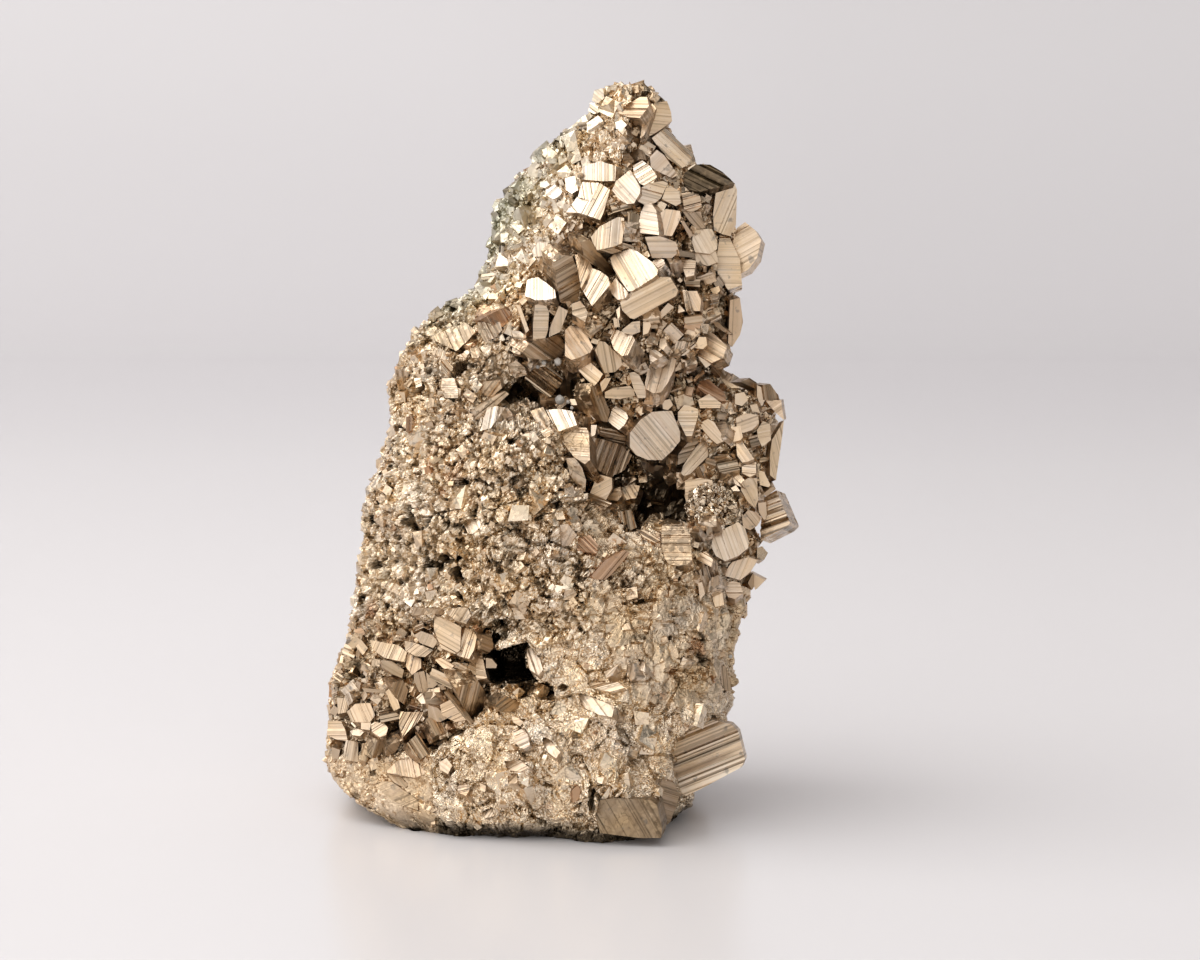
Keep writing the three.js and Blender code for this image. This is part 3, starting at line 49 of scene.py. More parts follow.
# ---------------------------------------------------------------- tables (mm)
RINGS = [
  [[6.9,-4.3,100], [7.1,-4.3,100], [7.3,-4.3,100], [7.6,-4.3,100], [7.9,-4.4,100], [8.2,-4.5,100], [8.6,-4.7,100], [9,-4.9,100], [9.4,-5.1,100], [9.9,-5.3,100], [10.3,-5.5,100], [10.8,-5.7,100], [11.2,-5.5,100], [11.7,-5.1,100], [12.1,-4.7,100], [12.6,-4.4,100], [13,-4.1,100], [13.3,-3.8,100], [13.7,-3.7,99.9], [14,-3.7,99.9], [14.2,-3.7,99.9], [14.5,-3.6,99.9], [14.6,-3.6,99.9], [14.6,-2.9,99.9], [14.5,-2.4,99.9], [14.3,-2.1,99.9], [14,-1.8,99.9], [13.6,-1.6,99.9], [13.1,-1.4,99.9], [12.6,-1.2,99.9], [11.9,-1.1,99.9], [10.8,-0.8,99.9], [9.8,-0.7,99.9], [9.1,-0.7,99.9], [8.5,-0.8,99.9], [8,-1.1,99.9], [7.6,-1.5,99.9], [7.3,-2,99.9], [7.1,-2.6,99.9], [7,-3.3,99.9]],
  [[6.4,-3.5,98.7], [6.7,-3.7,98.7], [6.9,-3.8,98.7], [7.2,-4,98.7], [7.6,-4.1,98.8], [8,-4.4,98.8], [8.4,-4.7,98.8], [8.9,-5,98.8], [9.4,-5.3,98.8], [9.9,-5.6,98.8], [10.4,-5.9,98.8], [11,-6,98.8], [11.5,-5.7,98.8], [12.1,-5.3,98.8], [12.6,-4.9,98.8], [13.1,-4.5,98.8], [13.6,-4.2,98.8], [14,-3.9,98.7], [14.4,-3.7,98.7], [14.8,-3.6,98.7], [15.1,-3.5,98.7], [15.3,-3.4,98.7], [15.6,-3.3,98.7], [15.5,-2.1,98.7], [15.4,-1.4,98.7], [15.2,-0.8,98.7], [14.8,-0.4,98.7], [14.3,0,98.7], [13.8,0.3,98.6], [13.1,0.5,98.6], [12.3,0.8,98.6], [11,1,98.6], [9.8,1.2,98.6], [9,1.2,98.6], [8.3,1,98.6], [7.7,0.6,98.6], [7.3,0.1,98.6], [6.9,-0.6,98.7], [6.7,-1.3,98.7], [6.5,-2.2,98.7]],
  [[5.9,-3,97], [6.1,-3.2,97], [6.4,-3.4,97], [6.7,-3.7,97], [7.1,-4,97], [7.6,-4.3,97], [8.1,-4.7,97], [8.6,-5.1,97], [9.1,-5.5,97], [9.7,-5.8,97], [10.3,-6.2,97.1], [10.9,-6.5,97.1], [11.5,-6.1,97.1], [12.1,-5.7,97], [12.7,-5.3,97], [13.2,-4.9,97], [13.8,-4.5,97], [14.2,-4.1,97], [14.7,-3.8,97], [15.1,-3.5,97], [15.4,-3.3,97], [15.7,-3.1,97], [16,-3,97], [15.9,-1.4,96.9], [15.8,-0.4,96.9], [15.5,0.5,96.9], [15.1,1.1,96.9], [14.6,1.7,96.8], [14,2.1,96.8], [13.3,2.5,96.8], [12.4,2.7,96.8], [11,3,96.8], [9.6,3.3,96.8], [8.7,3.2,96.8], [7.9,2.9,96.8], [7.3,2.4,96.8], [6.8,1.7,96.8], [6.4,0.8,96.9], [6.1,-0.2,96.9], [5.9,-1.3,96.9]],
  [[5.4,-3,94.8], [5.6,-3.6,94.8], [5.9,-3.9,94.8], [6.3,-4.3,94.9], [6.8,-4.7,94.9], [7.2,-5.2,94.9], [7.8,-5.6,94.9], [8.4,-6,94.9], [9,-6.4,94.9], [9.6,-6.8,94.9], [10.2,-6.8,94.9], [10.9,-6.9,94.9], [11.6,-6.5,94.9], [12.2,-6.1,94.9], [12.9,-5.7,94.9], [13.5,-5.3,94.9], [14.1,-4.9,94.9], [14.6,-4.4,94.9], [15.1,-4.1,94.8], [15.6,-3.7,94.8], [15.9,-3.5,94.8], [16.3,-3.3,94.8], [16.5,-3,94.8], [16.5,-1,94.8], [16.4,0.3,94.7], [16.1,1.3,94.7], [15.6,2.2,94.7], [15.1,2.9,94.6], [14.4,3.5,94.6], [13.6,4,94.6], [12.6,4.5,94.6], [11,5.2,94.5], [9.5,5.8,94.5], [8.4,5.8,94.5], [7.6,5.4,94.5], [6.9,4.6,94.6], [6.3,3.5,94.6], [5.9,2.2,94.7], [5.6,0.8,94.7], [5.4,-0.9,94.8]],
  [[2.1,-3,93.5], [2.5,-3.5,93.5], [2.9,-3.9,93.5], [3.4,-4.2,93.5], [4,-4.6,93.5], [4.7,-4.9,93.5], [5.5,-5.2,93.5], [6.2,-5.7,93.6], [7.1,-6.1,93.6], [7.9,-6.6,93.6], [8.8,-7.1,93.6], [9.7,-7.4,93.6], [10.6,-7.3,93.6], [11.5,-6.8,93.6], [12.4,-6.3,93.6], [13.2,-5.8,93.6], [14,-5.4,93.5], [14.8,-4.9,93.5], [15.5,-4.4,93.5], [16.1,-3.9,93.5], [16.6,-3.6,93.5], [17,-3.4,93.5], [17.4,-3,93.5], [17.4,-0.8,93.4], [17.1,0.7,93.3], [16.7,1.9,93.3], [16.1,3,93.3], [15.4,3.8,93.2], [14.5,4.5,93.2], [13.3,5.2,93.2], [11.9,5.9,93.2], [9.8,6.8,93.1], [7.7,7.4,93.1], [6.3,7.1,93.1], [5.2,6.3,93.1], [4.2,5,93.2], [3.4,3.7,93.2], [2.8,2.3,93.3], [2.4,0.8,93.3], [2.2,-0.8,93.4]],
  [[-1,-3,91], [-0.6,-3.2,91], [0,-3.4,91.1], [0.7,-3.8,91.1], [1.4,-4.3,91.1], [2.3,-4.8,91.1], [3.2,-5.2,91.1], [4.2,-5.8,91.2], [5.3,-6.3,91.2], [6.4,-6.8,91.2], [7.6,-7.4,91.2], [8.7,-8,91.2], [9.9,-8.2,91.2], [11,-7.6,91.2], [12.2,-6.9,91.2], [13.2,-6.3,91.2], [14.2,-5.8,91.2], [15.2,-5.2,91.1], [16.1,-4.7,91.1], [16.8,-4.2,91.1], [17.5,-3.7,91.1], [18.1,-3.3,91], [18.6,-3,91], [18.5,-0.4,90.9], [18.2,1.3,90.9], [17.7,2.8,90.8], [16.9,4.2,90.8], [16,5.3,90.7], [14.8,6.4,90.7], [13.3,7.3,90.6], [11.6,8.2,90.6], [8.8,9.1,90.5], [6,8.9,90.5], [4.3,7.8,90.6], [2.8,6.4,90.7], [1.6,4.9,90.7], [0.6,3.5,90.8], [-0.1,2.2,90.8], [-0.7,0.9,90.9], [-1,-0.6,90.9]],
  [[-3.6,-2.4,88], [-2.9,-3.3,88.1], [-2.2,-3.9,88.1], [-1.3,-4.5,88.1], [-0.2,-5.3,88.2], [0.9,-6,88.2], [2.2,-6.7,88.2], [3.5,-7.3,88.3], [5,-8,88.3], [6.4,-8.7,88.3], [8,-9.4,88.4], [9.5,-10.1,88.4], [11,-9.6,88.4], [12.5,-9,88.3], [14,-8.4,88.3], [15.4,-7.9,88.3], [16.8,-7.3,88.3], [18.1,-6.9,88.2], [19.2,-6.3,88.2], [20.2,-5.7,88.2], [21.2,-5,88.2], [21.9,-4.4,88.1], [22.6,-3.6,88.1], [22.5,-0.8,88], [22.1,1,87.9], [21.4,2.5,87.8], [20.4,3.9,87.7], [19.2,5.2,87.7], [17.6,6.6,87.6], [15.6,8,87.5], [13.3,9.4,87.5], [9.6,10.4,87.4], [5.9,9.4,87.5], [3.5,7.6,87.6], [1.6,6,87.6], [0,4.6,87.7], [-1.3,3.5,87.8], [-2.3,2.5,87.8], [-3,1.4,87.9], [-3.5,0,87.9]],
  [[-6.2,-1.8,84.8], [-5.4,-2.7,84.8], [-4.5,-3.6,84.8], [-3.5,-4.7,84.9], [-2.2,-5.8,85], [-0.9,-6.9,85], [0.6,-8.1,85.1], [2.1,-9.1,85.2], [3.8,-9.8,85.2], [5.5,-10.6,85.2], [7.3,-11.3,85.3], [9.1,-12.1,85.3], [10.8,-12,85.3], [12.6,-11.7,85.3], [14.3,-11.4,85.3], [16,-11.2,85.3], [17.5,-10.9,85.2], [19,-10.6,85.2], [20.3,-9.2,85.2], [21.6,-7.8,85.1], [22.6,-6.5,85], [23.6,-5.3,84.9], [24.3,-4.2,84.9], [24.3,-1,84.7], [23.8,1.1,84.6], [23,2.7,84.5], [21.9,4,84.4], [20.3,5.1,84.4], [18.5,6.4,84.3], [16.2,8.2,84.2], [13.5,10.4,84.1], [9.2,11.7,84], [4.9,9.2,84.2], [2.1,6.8,84.3], [-0.1,5.4,84.4], [-2,4.6,84.4], [-3.5,4,84.4], [-4.7,3.2,84.5], [-5.6,2.2,84.5], [-6.1,0.7,84.6]],
  [[-7.7,-1.6,81.5], [-6.9,-2.4,81.5], [-5.9,-3.3,81.6], [-4.8,-4.5,81.7], [-3.5,-5.6,81.7], [-2.1,-6.6,81.8], [-0.5,-7.8,81.9], [1.2,-9.1,81.9], [2.9,-10,82], [4.7,-10.8,82], [6.6,-11.6,82.1], [8.5,-12.5,82.2], [10.4,-12.8,82.2], [12.2,-12.6,82.2], [14,-12.3,82.1], [15.8,-12.1,82.1], [17.4,-11.8,82.1], [19,-11.5,82.1], [20.4,-9.8,82], [21.7,-8.2,81.9], [22.9,-6.5,81.8], [23.8,-5.1,81.7], [24.6,-3.8,81.6], [24.6,-0.3,81.4], [24.1,1.9,81.3], [23.3,3.6,81.2], [22,4.8,81.1], [20.4,5.6,81], [18.4,6.4,81], [16,8,80.9], [13.1,10.8,80.7], [8.6,12.3,80.6], [4,8.9,80.8], [1.1,6.5,81], [-1.3,5.6,81], [-3.3,5.4,81], [-4.9,4.9,81.1], [-6.2,4,81.1], [-7.1,2.8,81.2], [-7.6,1.1,81.3]],
  [[-8.5,-1.6,78.1], [-7.7,-2.6,78.1], [-6.7,-3.6,78.2], [-5.5,-4.9,78.3], [-4.2,-6.1,78.4], [-2.7,-7.1,78.4], [-1,-8.1,78.5], [0.7,-9.2,78.6], [2.5,-10.2,78.7], [4.4,-11.2,78.7], [6.4,-12.1,78.8], [8.3,-13.1,78.9], [10.3,-13.6,78.9], [12.2,-13.3,78.9], [14.1,-13,78.9], [15.9,-12.8,78.8], [17.7,-12.5,78.8], [19.3,-11.8,78.8], [20.8,-9.9,78.6], [22.1,-8,78.5], [23.4,-6.1,78.4], [24.4,-4.5,78.3], [25.2,-3.1,78.2], [25.2,0.5,77.9], [24.7,3,77.8], [23.8,4.9,77.6], [22.5,6,77.5], [20.8,6.4,77.5], [18.7,6.5,77.5], [16.2,7.5,77.4], [13.2,10.2,77.2], [8.4,12.5,77.1], [3.7,9.4,77.3], [0.6,7.2,77.5], [-1.9,6.6,77.5], [-4,6.5,77.5], [-5.7,5.9,77.5], [-7,4.8,77.6], [-7.9,3.3,77.7], [-8.4,1.4,77.9]],
  [[-9.3,-2.2,74.7], [-8.4,-3.5,74.8], [-7.4,-4.7,74.9], [-6.2,-6,75], [-4.8,-7.1,75.1], [-3.3,-8.1,75.2], [-1.6,-9.1,75.2], [0.1,-10.2,75.3], [2,-11.2,75.4], [4,-12,75.5], [5.9,-12.8,75.5], [7.9,-13.7,75.6], [9.9,-14.3,75.6], [11.9,-14.3,75.6], [13.8,-14,75.6], [15.7,-13.6,75.6], [17.4,-13.2,75.5], [19.1,-12.7,75.5], [20.6,-11.1,75.4], [22,-9.2,75.2], [23.2,-7.3,75.1], [24.2,-5.6,75], [25.1,-4.1,74.8], [25.1,0.1,74.5], [24.6,3,74.3], [23.7,5.2,74.1], [22.4,6.5,74], [20.6,6.9,74], [18.5,6.7,74], [15.9,7.3,74], [12.8,9.6,73.8], [8,12.2,73.6], [3.1,10.3,73.7], [0,8.8,73.8], [-2.6,8.2,73.9], [-4.7,7.8,73.9], [-6.4,6.8,74], [-7.8,5.4,74.1], [-8.7,3.5,74.2], [-9.2,1.3,74.4]],
  [[-11.1,-2.8,71.7], [-10.2,-4.2,71.8], [-9.1,-5.5,72], [-7.8,-6.9,72.1], [-6.4,-8.1,72.2], [-4.8,-9,72.3], [-3,-10.1,72.3], [-1.2,-11.2,72.4], [0.8,-12.3,72.5], [2.8,-13.1,72.6], [4.9,-13.7,72.7], [7,-14.3,72.7], [9.1,-14.9,72.8], [11.2,-15.3,72.8], [13.2,-15.2,72.8], [15.1,-14.6,72.7], [16.9,-14,72.7], [18.7,-13.5,72.6], [20.2,-12.8,72.6], [21.7,-10.9,72.4], [23,-8.8,72.2], [24.1,-7,72.1], [25,-5.3,71.9], [24.9,-0.6,71.5], [24.5,2.6,71.3], [23.5,5,71.1], [22.1,6.5,71], [20.3,7.1,70.9], [18.1,7,70.9], [15.4,7.6,70.9], [12.1,9.6,70.7], [7,12,70.5], [1.9,11.4,70.5], [-1.4,10.7,70.6], [-4.1,10.1,70.7], [-6.3,9,70.8], [-8.1,7.5,70.9], [-9.5,5.6,71], [-10.5,3.5,71.2], [-11,1,71.4]],
  [[-15.1,-3.2,69.6], [-14.2,-3.5,69.6], [-13,-3.8,69.6], [-11.6,-4.9,69.7], [-9.9,-6.2,69.8], [-8.1,-7.6,70], [-6.2,-9.1,70.1], [-4.1,-10.1,70.2], [-1.9,-11.2,70.3], [0.4,-12.4,70.4], [2.8,-13.4,70.5], [5.1,-14,70.5], [7.5,-14.6,70.6], [9.8,-15.2,70.6], [12,-15.7,70.7], [14.2,-15.1,70.6], [16.2,-14.4,70.6], [18.1,-13.8,70.5], [19.9,-13.2,70.5], [21.5,-11.4,70.3], [22.9,-9.2,70.1], [24.1,-7.3,70], [25.1,-5.7,69.8], [25.1,-0.8,69.4], [24.6,2.5,69.1], [23.5,4.9,68.9], [21.9,6.5,68.7], [19.9,7.1,68.7], [17.4,7.4,68.7], [14.4,8.2,68.6], [10.7,10.1,68.4], [5,12.2,68.2], [-0.7,12.9,68.2], [-4.4,12.4,68.2], [-7.4,10.9,68.3], [-9.9,9,68.5], [-11.9,7.2,68.7], [-13.4,5.4,68.8], [-14.5,3.4,69], [-15.1,0.8,69.2]],
  [[-18.1,-3.8,66.6], [-17.1,-4.8,66.7], [-15.8,-5.8,66.8], [-14.2,-6.8,66.9], [-12.5,-7.5,67], [-10.6,-8.6,67.1], [-8.5,-9.8,67.2], [-6.3,-10.9,67.3], [-3.9,-11.1,67.3], [-1.5,-11.2,67.3], [1,-12.3,67.4], [3.5,-13.3,67.5], [6,-14.2,67.6], [8.5,-14.7,67.7], [10.9,-15.1,67.7], [13.2,-15.2,67.7], [15.4,-14.5,67.7], [17.5,-13.7,67.6], [19.4,-13,67.5], [21.1,-11.6,67.4], [22.6,-9.3,67.2], [23.9,-7.2,67], [25,-5.7,66.8], [24.9,-0.7,66.3], [24.3,2.5,66], [23.2,4.9,65.8], [21.5,6.5,65.7], [19.3,7.4,65.6], [16.6,8.2,65.5], [13.4,9.2,65.4], [9.4,10.5,65.3], [3.3,13.2,65], [-2.8,15.3,64.8], [-6.8,13.4,65], [-10,10.6,65.3], [-12.6,8.6,65.5], [-14.8,7.2,65.6], [-16.4,5.5,65.7], [-17.5,3.4,66], [-18.1,0.6,66.2]],
  [[-19.7,-4.3,64], [-18.7,-5,64], [-17.4,-6.2,64.1], [-15.8,-7.7,64.3], [-14,-9.2,64.4], [-12.1,-10.2,64.5], [-10,-11.1,64.6], [-7.7,-12,64.7], [-5.3,-12.1,64.7], [-2.9,-11.5,64.7], [-0.4,-11.4,64.7], [2.2,-12.5,64.8], [4.8,-13.6,64.9], [7.3,-14.5,65], [9.7,-14.8,65], [12.1,-15,65], [14.3,-14.8,65], [16.3,-14,64.9], [18.2,-13.2,64.8], [19.9,-12.6,64.8], [21.5,-10.4,64.6], [22.8,-8,64.3], [23.9,-5.7,64.1], [23.8,-0.7,63.6], [23.2,2.4,63.3], [22,4.7,63], [20.4,6.4,62.9], [18.1,7.9,62.7], [15.4,9.3,62.6], [12.1,10.4,62.5], [8.1,11.1,62.4], [1.9,14.7,62], [-4.4,16.9,61.8], [-8.3,13.4,62.2], [-11.5,10.1,62.5], [-14.2,8.4,62.7], [-16.4,7.3,62.8], [-18.1,5.7,62.9], [-19.2,3.4,63.2], [-19.8,0.4,63.5]],
  [[-20.6,-5.1,61.8], [-19.5,-6.1,61.9], [-18.2,-7.6,62.1], [-16.6,-9.2,62.3], [-14.9,-10.3,62.4], [-13,-11.2,62.5], [-10.9,-11.8,62.5], [-8.7,-12.1,62.6], [-6.4,-11.1,62.5], [-4,-9.8,62.3], [-1.5,-9,62.2], [1,-9.5,62.3], [3.6,-11.5,62.5], [6.1,-13.3,62.7], [8.5,-14,62.8], [10.8,-14.4,62.8], [13,-14.7,62.9], [15.1,-14,62.8], [16.9,-13,62.7], [18.6,-12.1,62.6], [20.1,-10.3,62.4], [21.4,-7.6,62.1], [22.6,-4.6,61.8], [22.5,0.1,61.3], [21.8,3,61], [20.7,5.2,60.8], [19,7,60.5], [16.8,8.8,60.4], [14.1,10.5,60.2], [10.9,11.3,60.1], [6.9,11.6,60.1], [0.7,16,59.6], [-5.5,17.3,59.5], [-9.4,13,59.9], [-12.5,9.7,60.3], [-15.2,8.3,60.4], [-17.4,7.2,60.5], [-19,5.6,60.7], [-20.1,3.1,61], [-20.6,-0.1,61.3]],
  [[-21.5,-5.6,60.2], [-20.4,-6.8,60.4], [-19,-8.4,60.5], [-17.4,-10.2,60.8], [-15.5,-11.7,60.9], [-13.5,-12.2,61], [-11.4,-12.6,61], [-9.1,-12.9,61], [-6.7,-10.4,60.8], [-4.2,-8.3,60.5], [-1.6,-7.3,60.4], [1.1,-7.5,60.5], [3.8,-10.6,60.8], [6.5,-12.9,61], [9,-13.6,61.1], [11.4,-14.1,61.2], [13.7,-14.4,61.2], [15.9,-13,61.1], [17.9,-11.8,60.9], [19.7,-10.1,60.7], [21.3,-7.4,60.4], [22.7,-5.2,60.2], [23.8,-3.8,60], [23.7,0.8,59.5], [23,3.6,59.2], [21.8,5.7,59], [20,7.4,58.8], [17.8,9.2,58.6], [14.9,11.2,58.4], [11.5,12.2,58.3], [7.3,11.9,58.3], [0.8,15.9,57.9], [-5.7,17.7,57.7], [-9.8,13,58.2], [-13.1,9.6,58.6], [-15.9,8.3,58.7], [-18.1,7.3,58.8], [-19.9,5.5,59], [-21,2.9,59.3], [-21.6,-0.4,59.7]],
  [[-22.1,-5.7,58.9], [-20.9,-6.6,59], [-19.4,-8.4,59.2], [-17.6,-10.5,59.4], [-15.6,-12.3,59.6], [-13.4,-12.8,59.7], [-11.1,-13.3,59.7], [-8.6,-12.9,59.7], [-6,-10,59.4], [-3.2,-8,59.1], [-0.3,-8,59.1], [2.6,-9.3,59.3], [5.5,-12.1,59.6], [8.4,-13.2,59.7], [11.2,-13.7,59.8], [13.8,-14.1,59.8], [16.4,-12.7,59.7], [18.7,-11.4,59.5], [21,-9.1,59.3], [22.9,-7.2,59.1], [24.7,-6.3,59], [26.1,-5.3,58.8], [27.3,-3.9,58.7], [27.3,1,58.1], [26.6,4.2,57.8], [25.2,6.5,57.5], [23.3,7.9,57.4], [20.8,9,57.2], [17.7,10.8,57], [14,12.9,56.8], [9.4,12.8,56.8], [2.4,14.4,56.6], [-4.8,18.3,56.2], [-9.2,13.8,56.7], [-12.8,9.8,57.1], [-15.9,8.3,57.3], [-18.4,7.3,57.4], [-20.3,5.5,57.6], [-21.5,2.9,57.9], [-22.2,-0.4,58.3]],
  [[-22,-5.8,57], [-20.7,-7,57.1], [-19.1,-9.2,57.4], [-17.1,-11.7,57.7], [-15,-13.4,57.9], [-12.8,-13.8,57.9], [-10.3,-14.4,58], [-7.7,-13,57.8], [-4.9,-10.1,57.5], [-1.9,-9.4,57.4], [1.1,-9.8,57.4], [4.2,-11.2,57.6], [7.3,-12.5,57.8], [10.3,-13.1,57.8], [13.2,-13.7,57.9], [16.1,-12.8,57.8], [18.8,-11.7,57.7], [21.3,-10.7,57.6], [23.6,-9.8,57.5], [25.7,-9,57.4], [27.5,-8.1,57.2], [29.1,-6.2,57], [30.4,-4.3,56.8], [30.3,0.8,56.2], [29.6,4.4,55.8], [28.3,7.3,55.5], [26.2,9.2,55.2], [23.6,10,55.1], [20.3,10.8,55], [16.4,13,54.8], [11.5,14.2,54.6], [4,13.4,54.7], [-3.5,18.2,54.2], [-8.3,15.2,54.5], [-12.1,10.6,55.1], [-15.3,8.4,55.3], [-18,7.2,55.5], [-20,5.5,55.7], [-21.3,2.9,56], [-22,-0.4,56.4]],
  [[-21.8,-6.8,54], [-20.5,-8.3,54.1], [-18.8,-10.6,54.4], [-16.9,-13,54.7], [-14.8,-14.8,54.9], [-12.5,-15.9,55.1], [-10,-17,55.2], [-7.3,-17.5,55.3], [-4.5,-17.5,55.3], [-1.6,-17.9,55.3], [1.4,-16.6,55.2], [4.5,-14.9,55], [7.5,-11.9,54.6], [10.6,-12.3,54.6], [13.5,-13.5,54.8], [16.4,-12.8,54.7], [19.1,-11.6,54.5], [21.6,-10.8,54.5], [23.9,-10.3,54.4], [26,-9.8,54.3], [27.8,-8.7,54.2], [29.4,-6.4,53.9], [30.8,-4.3,53.6], [30.8,0.9,53], [30,4.5,52.5], [28.7,7.6,52.2], [26.7,9.9,51.9], [24,11.2,51.7], [20.7,12.2,51.6], [16.7,14.1,51.4], [11.8,15.2,51.2], [4.3,13.7,51.4], [-3.2,17.3,51], [-8.1,15.4,51.2], [-12,11.6,51.7], [-15.2,9.1,52], [-17.8,7.3,52.2], [-19.8,5.2,52.5], [-21.1,2.5,52.8], [-21.8,-1.1,53.2]],
  [[-22.5,-7,50.5], [-21.2,-8.5,50.8], [-19.6,-10.8,51], [-17.7,-13.2,51.4], [-15.6,-15.6,51.7], [-13.2,-16.7,51.8], [-10.7,-17.8,52], [-8.1,-18.9,52.1], [-5.2,-19.5,52.2], [-2.3,-19.6,52.2], [0.6,-19,52.1], [3.6,-16.8,51.8], [6.7,-13,51.3], [9.8,-10,51], [12.7,-10,50.9], [15.6,-9.8,50.9], [18.2,-10.5,51], [20.7,-11.1,51.1], [23,-10.8,51], [25.1,-10.6,51], [26.8,-10.3,51], [28.5,-7.5,50.6], [29.8,-4.3,50.2], [29.8,1,49.5], [29.1,4.6,49], [27.7,7.8,48.6], [25.7,10.4,48.3], [23.1,12.5,48], [19.8,14.2,47.8], [15.8,15.6,47.6], [10.9,15.3,47.6], [3.4,14.2,47.8], [-4.1,16.2,47.5], [-8.9,14.8,47.7], [-12.9,12.5,48], [-16.1,10.4,48.3], [-18.7,8.1,48.6], [-20.6,5.6,48.9], [-22,2.6,49.3], [-22.6,-1.1,49.8]],
  [[-23.7,-7,47.1], [-22.3,-8.4,47.3], [-20.7,-10.7,47.6], [-18.7,-13.1,48], [-16.5,-15.7,48.3], [-14.2,-17.3,48.5], [-11.6,-18.4,48.7], [-8.8,-19.6,48.9], [-6,-20.6,49], [-3,-20.4,49], [0,-20.1,48.9], [3.1,-18.3,48.7], [6.2,-14.3,48.1], [9.3,-9.2,47.4], [12.3,-7,47.1], [15.3,-5.8,47], [18,-8.5,47.3], [20.5,-11.2,47.7], [22.8,-11.2,47.7], [24.9,-11.1,47.7], [26.7,-10.9,47.7], [28.3,-8,47.2], [29.7,-4.6,46.8], [29.7,0.9,46], [29,4.6,45.5], [27.6,7.8,45.1], [25.6,10.8,44.6], [22.9,13.7,44.2], [19.5,16.1,43.9], [15.4,16.6,43.8], [10.4,14.8,44.1], [2.8,14.5,44.1], [-4.9,15.1,44], [-9.8,14.6,44.1], [-13.9,13.9,44.2], [-17.2,11.9,44.5], [-19.8,9,44.9], [-21.8,6,45.3], [-23.1,2.8,45.8], [-23.8,-1,46.3]],
  [[-24.5,-7,43.7], [-23.1,-8.3,43.9], [-21.5,-10.5,44.2], [-19.5,-12.8,44.5], [-17.3,-15.4,44.9], [-14.9,-17.6,45.2], [-12.3,-18.7,45.4], [-9.6,-19.8,45.6], [-6.7,-21.1,45.7], [-3.7,-21,45.7], [-0.7,-20.8,45.7], [2.4,-20.6,45.7], [5.5,-16.9,45.1], [8.6,-12.5,44.5], [11.7,-7.9,43.8], [14.7,-5.6,43.5], [17.4,-5.8,43.5], [19.9,-10.8,44.2], [22.2,-11.6,44.3], [24.3,-11.4,44.3], [26.1,-11.1,44.3], [27.7,-9.1,44], [29.1,-5.7,43.5], [29.1,0.2,42.6], [28.4,4.1,42], [27,7.5,41.5], [25,10.8,41.1], [22.3,14.4,40.5], [18.9,17.4,40.1], [14.8,17.1,40.1], [9.8,13.9,40.6], [2.1,14.8,40.5], [-5.6,14.6,40.5], [-10.6,15,40.4], [-14.8,15.6,40.4], [-18.1,13.5,40.7], [-20.7,10,41.2], [-22.6,6.5,41.7], [-23.9,3,42.2], [-24.6,-0.9,42.8]],
  [[-25.1,-7,40.2], [-23.8,-8.4,40.4], [-22.1,-10.5,40.8], [-20.1,-12.7,41.1], [-17.9,-15.2,41.5], [-15.5,-17.7,41.9], [-12.9,-18.8,42], [-10.1,-20.1,42.2], [-7.2,-21.4,42.5], [-4.2,-21.8,42.5], [-1.2,-21.8,42.5], [1.9,-21.7,42.5], [5,-20.4,42.3], [8.1,-18.5,42], [11.1,-16.8,41.7], [14,-15.5,41.5], [16.8,-14.9,41.4], [19.3,-15.2,41.5], [21.7,-14.2,41.3], [23.8,-12.6,41.1], [25.7,-11.1,40.9], [27.4,-8.4,40.4], [28.8,-5.7,40], [28.7,0.3,39.1], [28,4.2,38.5], [26.6,7.5,38], [24.5,10.8,37.5], [21.9,14.7,36.9], [18.5,18,36.4], [14.3,17.4,36.5], [9.2,13.4,37.1], [1.5,15.1,36.8], [-6.2,14.9,36.9], [-11.3,15.9,36.7], [-15.5,17,36.5], [-18.8,14.8,36.9], [-21.4,10.8,37.5], [-23.3,6.9,38.1], [-24.6,3.3,38.6], [-25.3,-0.7,39.3]],
  [[-26.1,-7,36.8], [-24.7,-8.2,37], [-23,-10.2,37.3], [-21,-12.4,37.6], [-18.8,-14.9,38], [-16.3,-17.3,38.4], [-13.7,-18.7,38.7], [-10.8,-20,38.9], [-7.9,-21.3,39.1], [-4.8,-22.1,39.2], [-1.7,-22.2,39.2], [1.4,-22.3,39.2], [4.6,-22,39.2], [7.7,-20.9,39], [10.7,-19.9,38.9], [13.6,-19.1,38.7], [16.4,-17.9,38.5], [19,-16.9,38.4], [21.4,-15.3,38.1], [23.6,-13.2,37.8], [25.5,-11.3,37.5], [27.2,-8.2,37], [28.6,-5.7,36.6], [28.6,0.5,35.6], [27.8,4.3,34.9], [26.4,7.5,34.4], [24.3,10.6,33.9], [21.6,14.4,33.3], [18.2,17.9,32.7], [13.9,17.5,32.8], [8.8,13.7,33.4], [0.9,15.5,33.1], [-6.9,15.8,33.1], [-12.1,17.2,32.8], [-16.3,18,32.7], [-19.7,15.3,33.1], [-22.3,11.1,33.8], [-24.3,7.2,34.5], [-25.6,3.5,35.1], [-26.2,-0.6,35.7]],
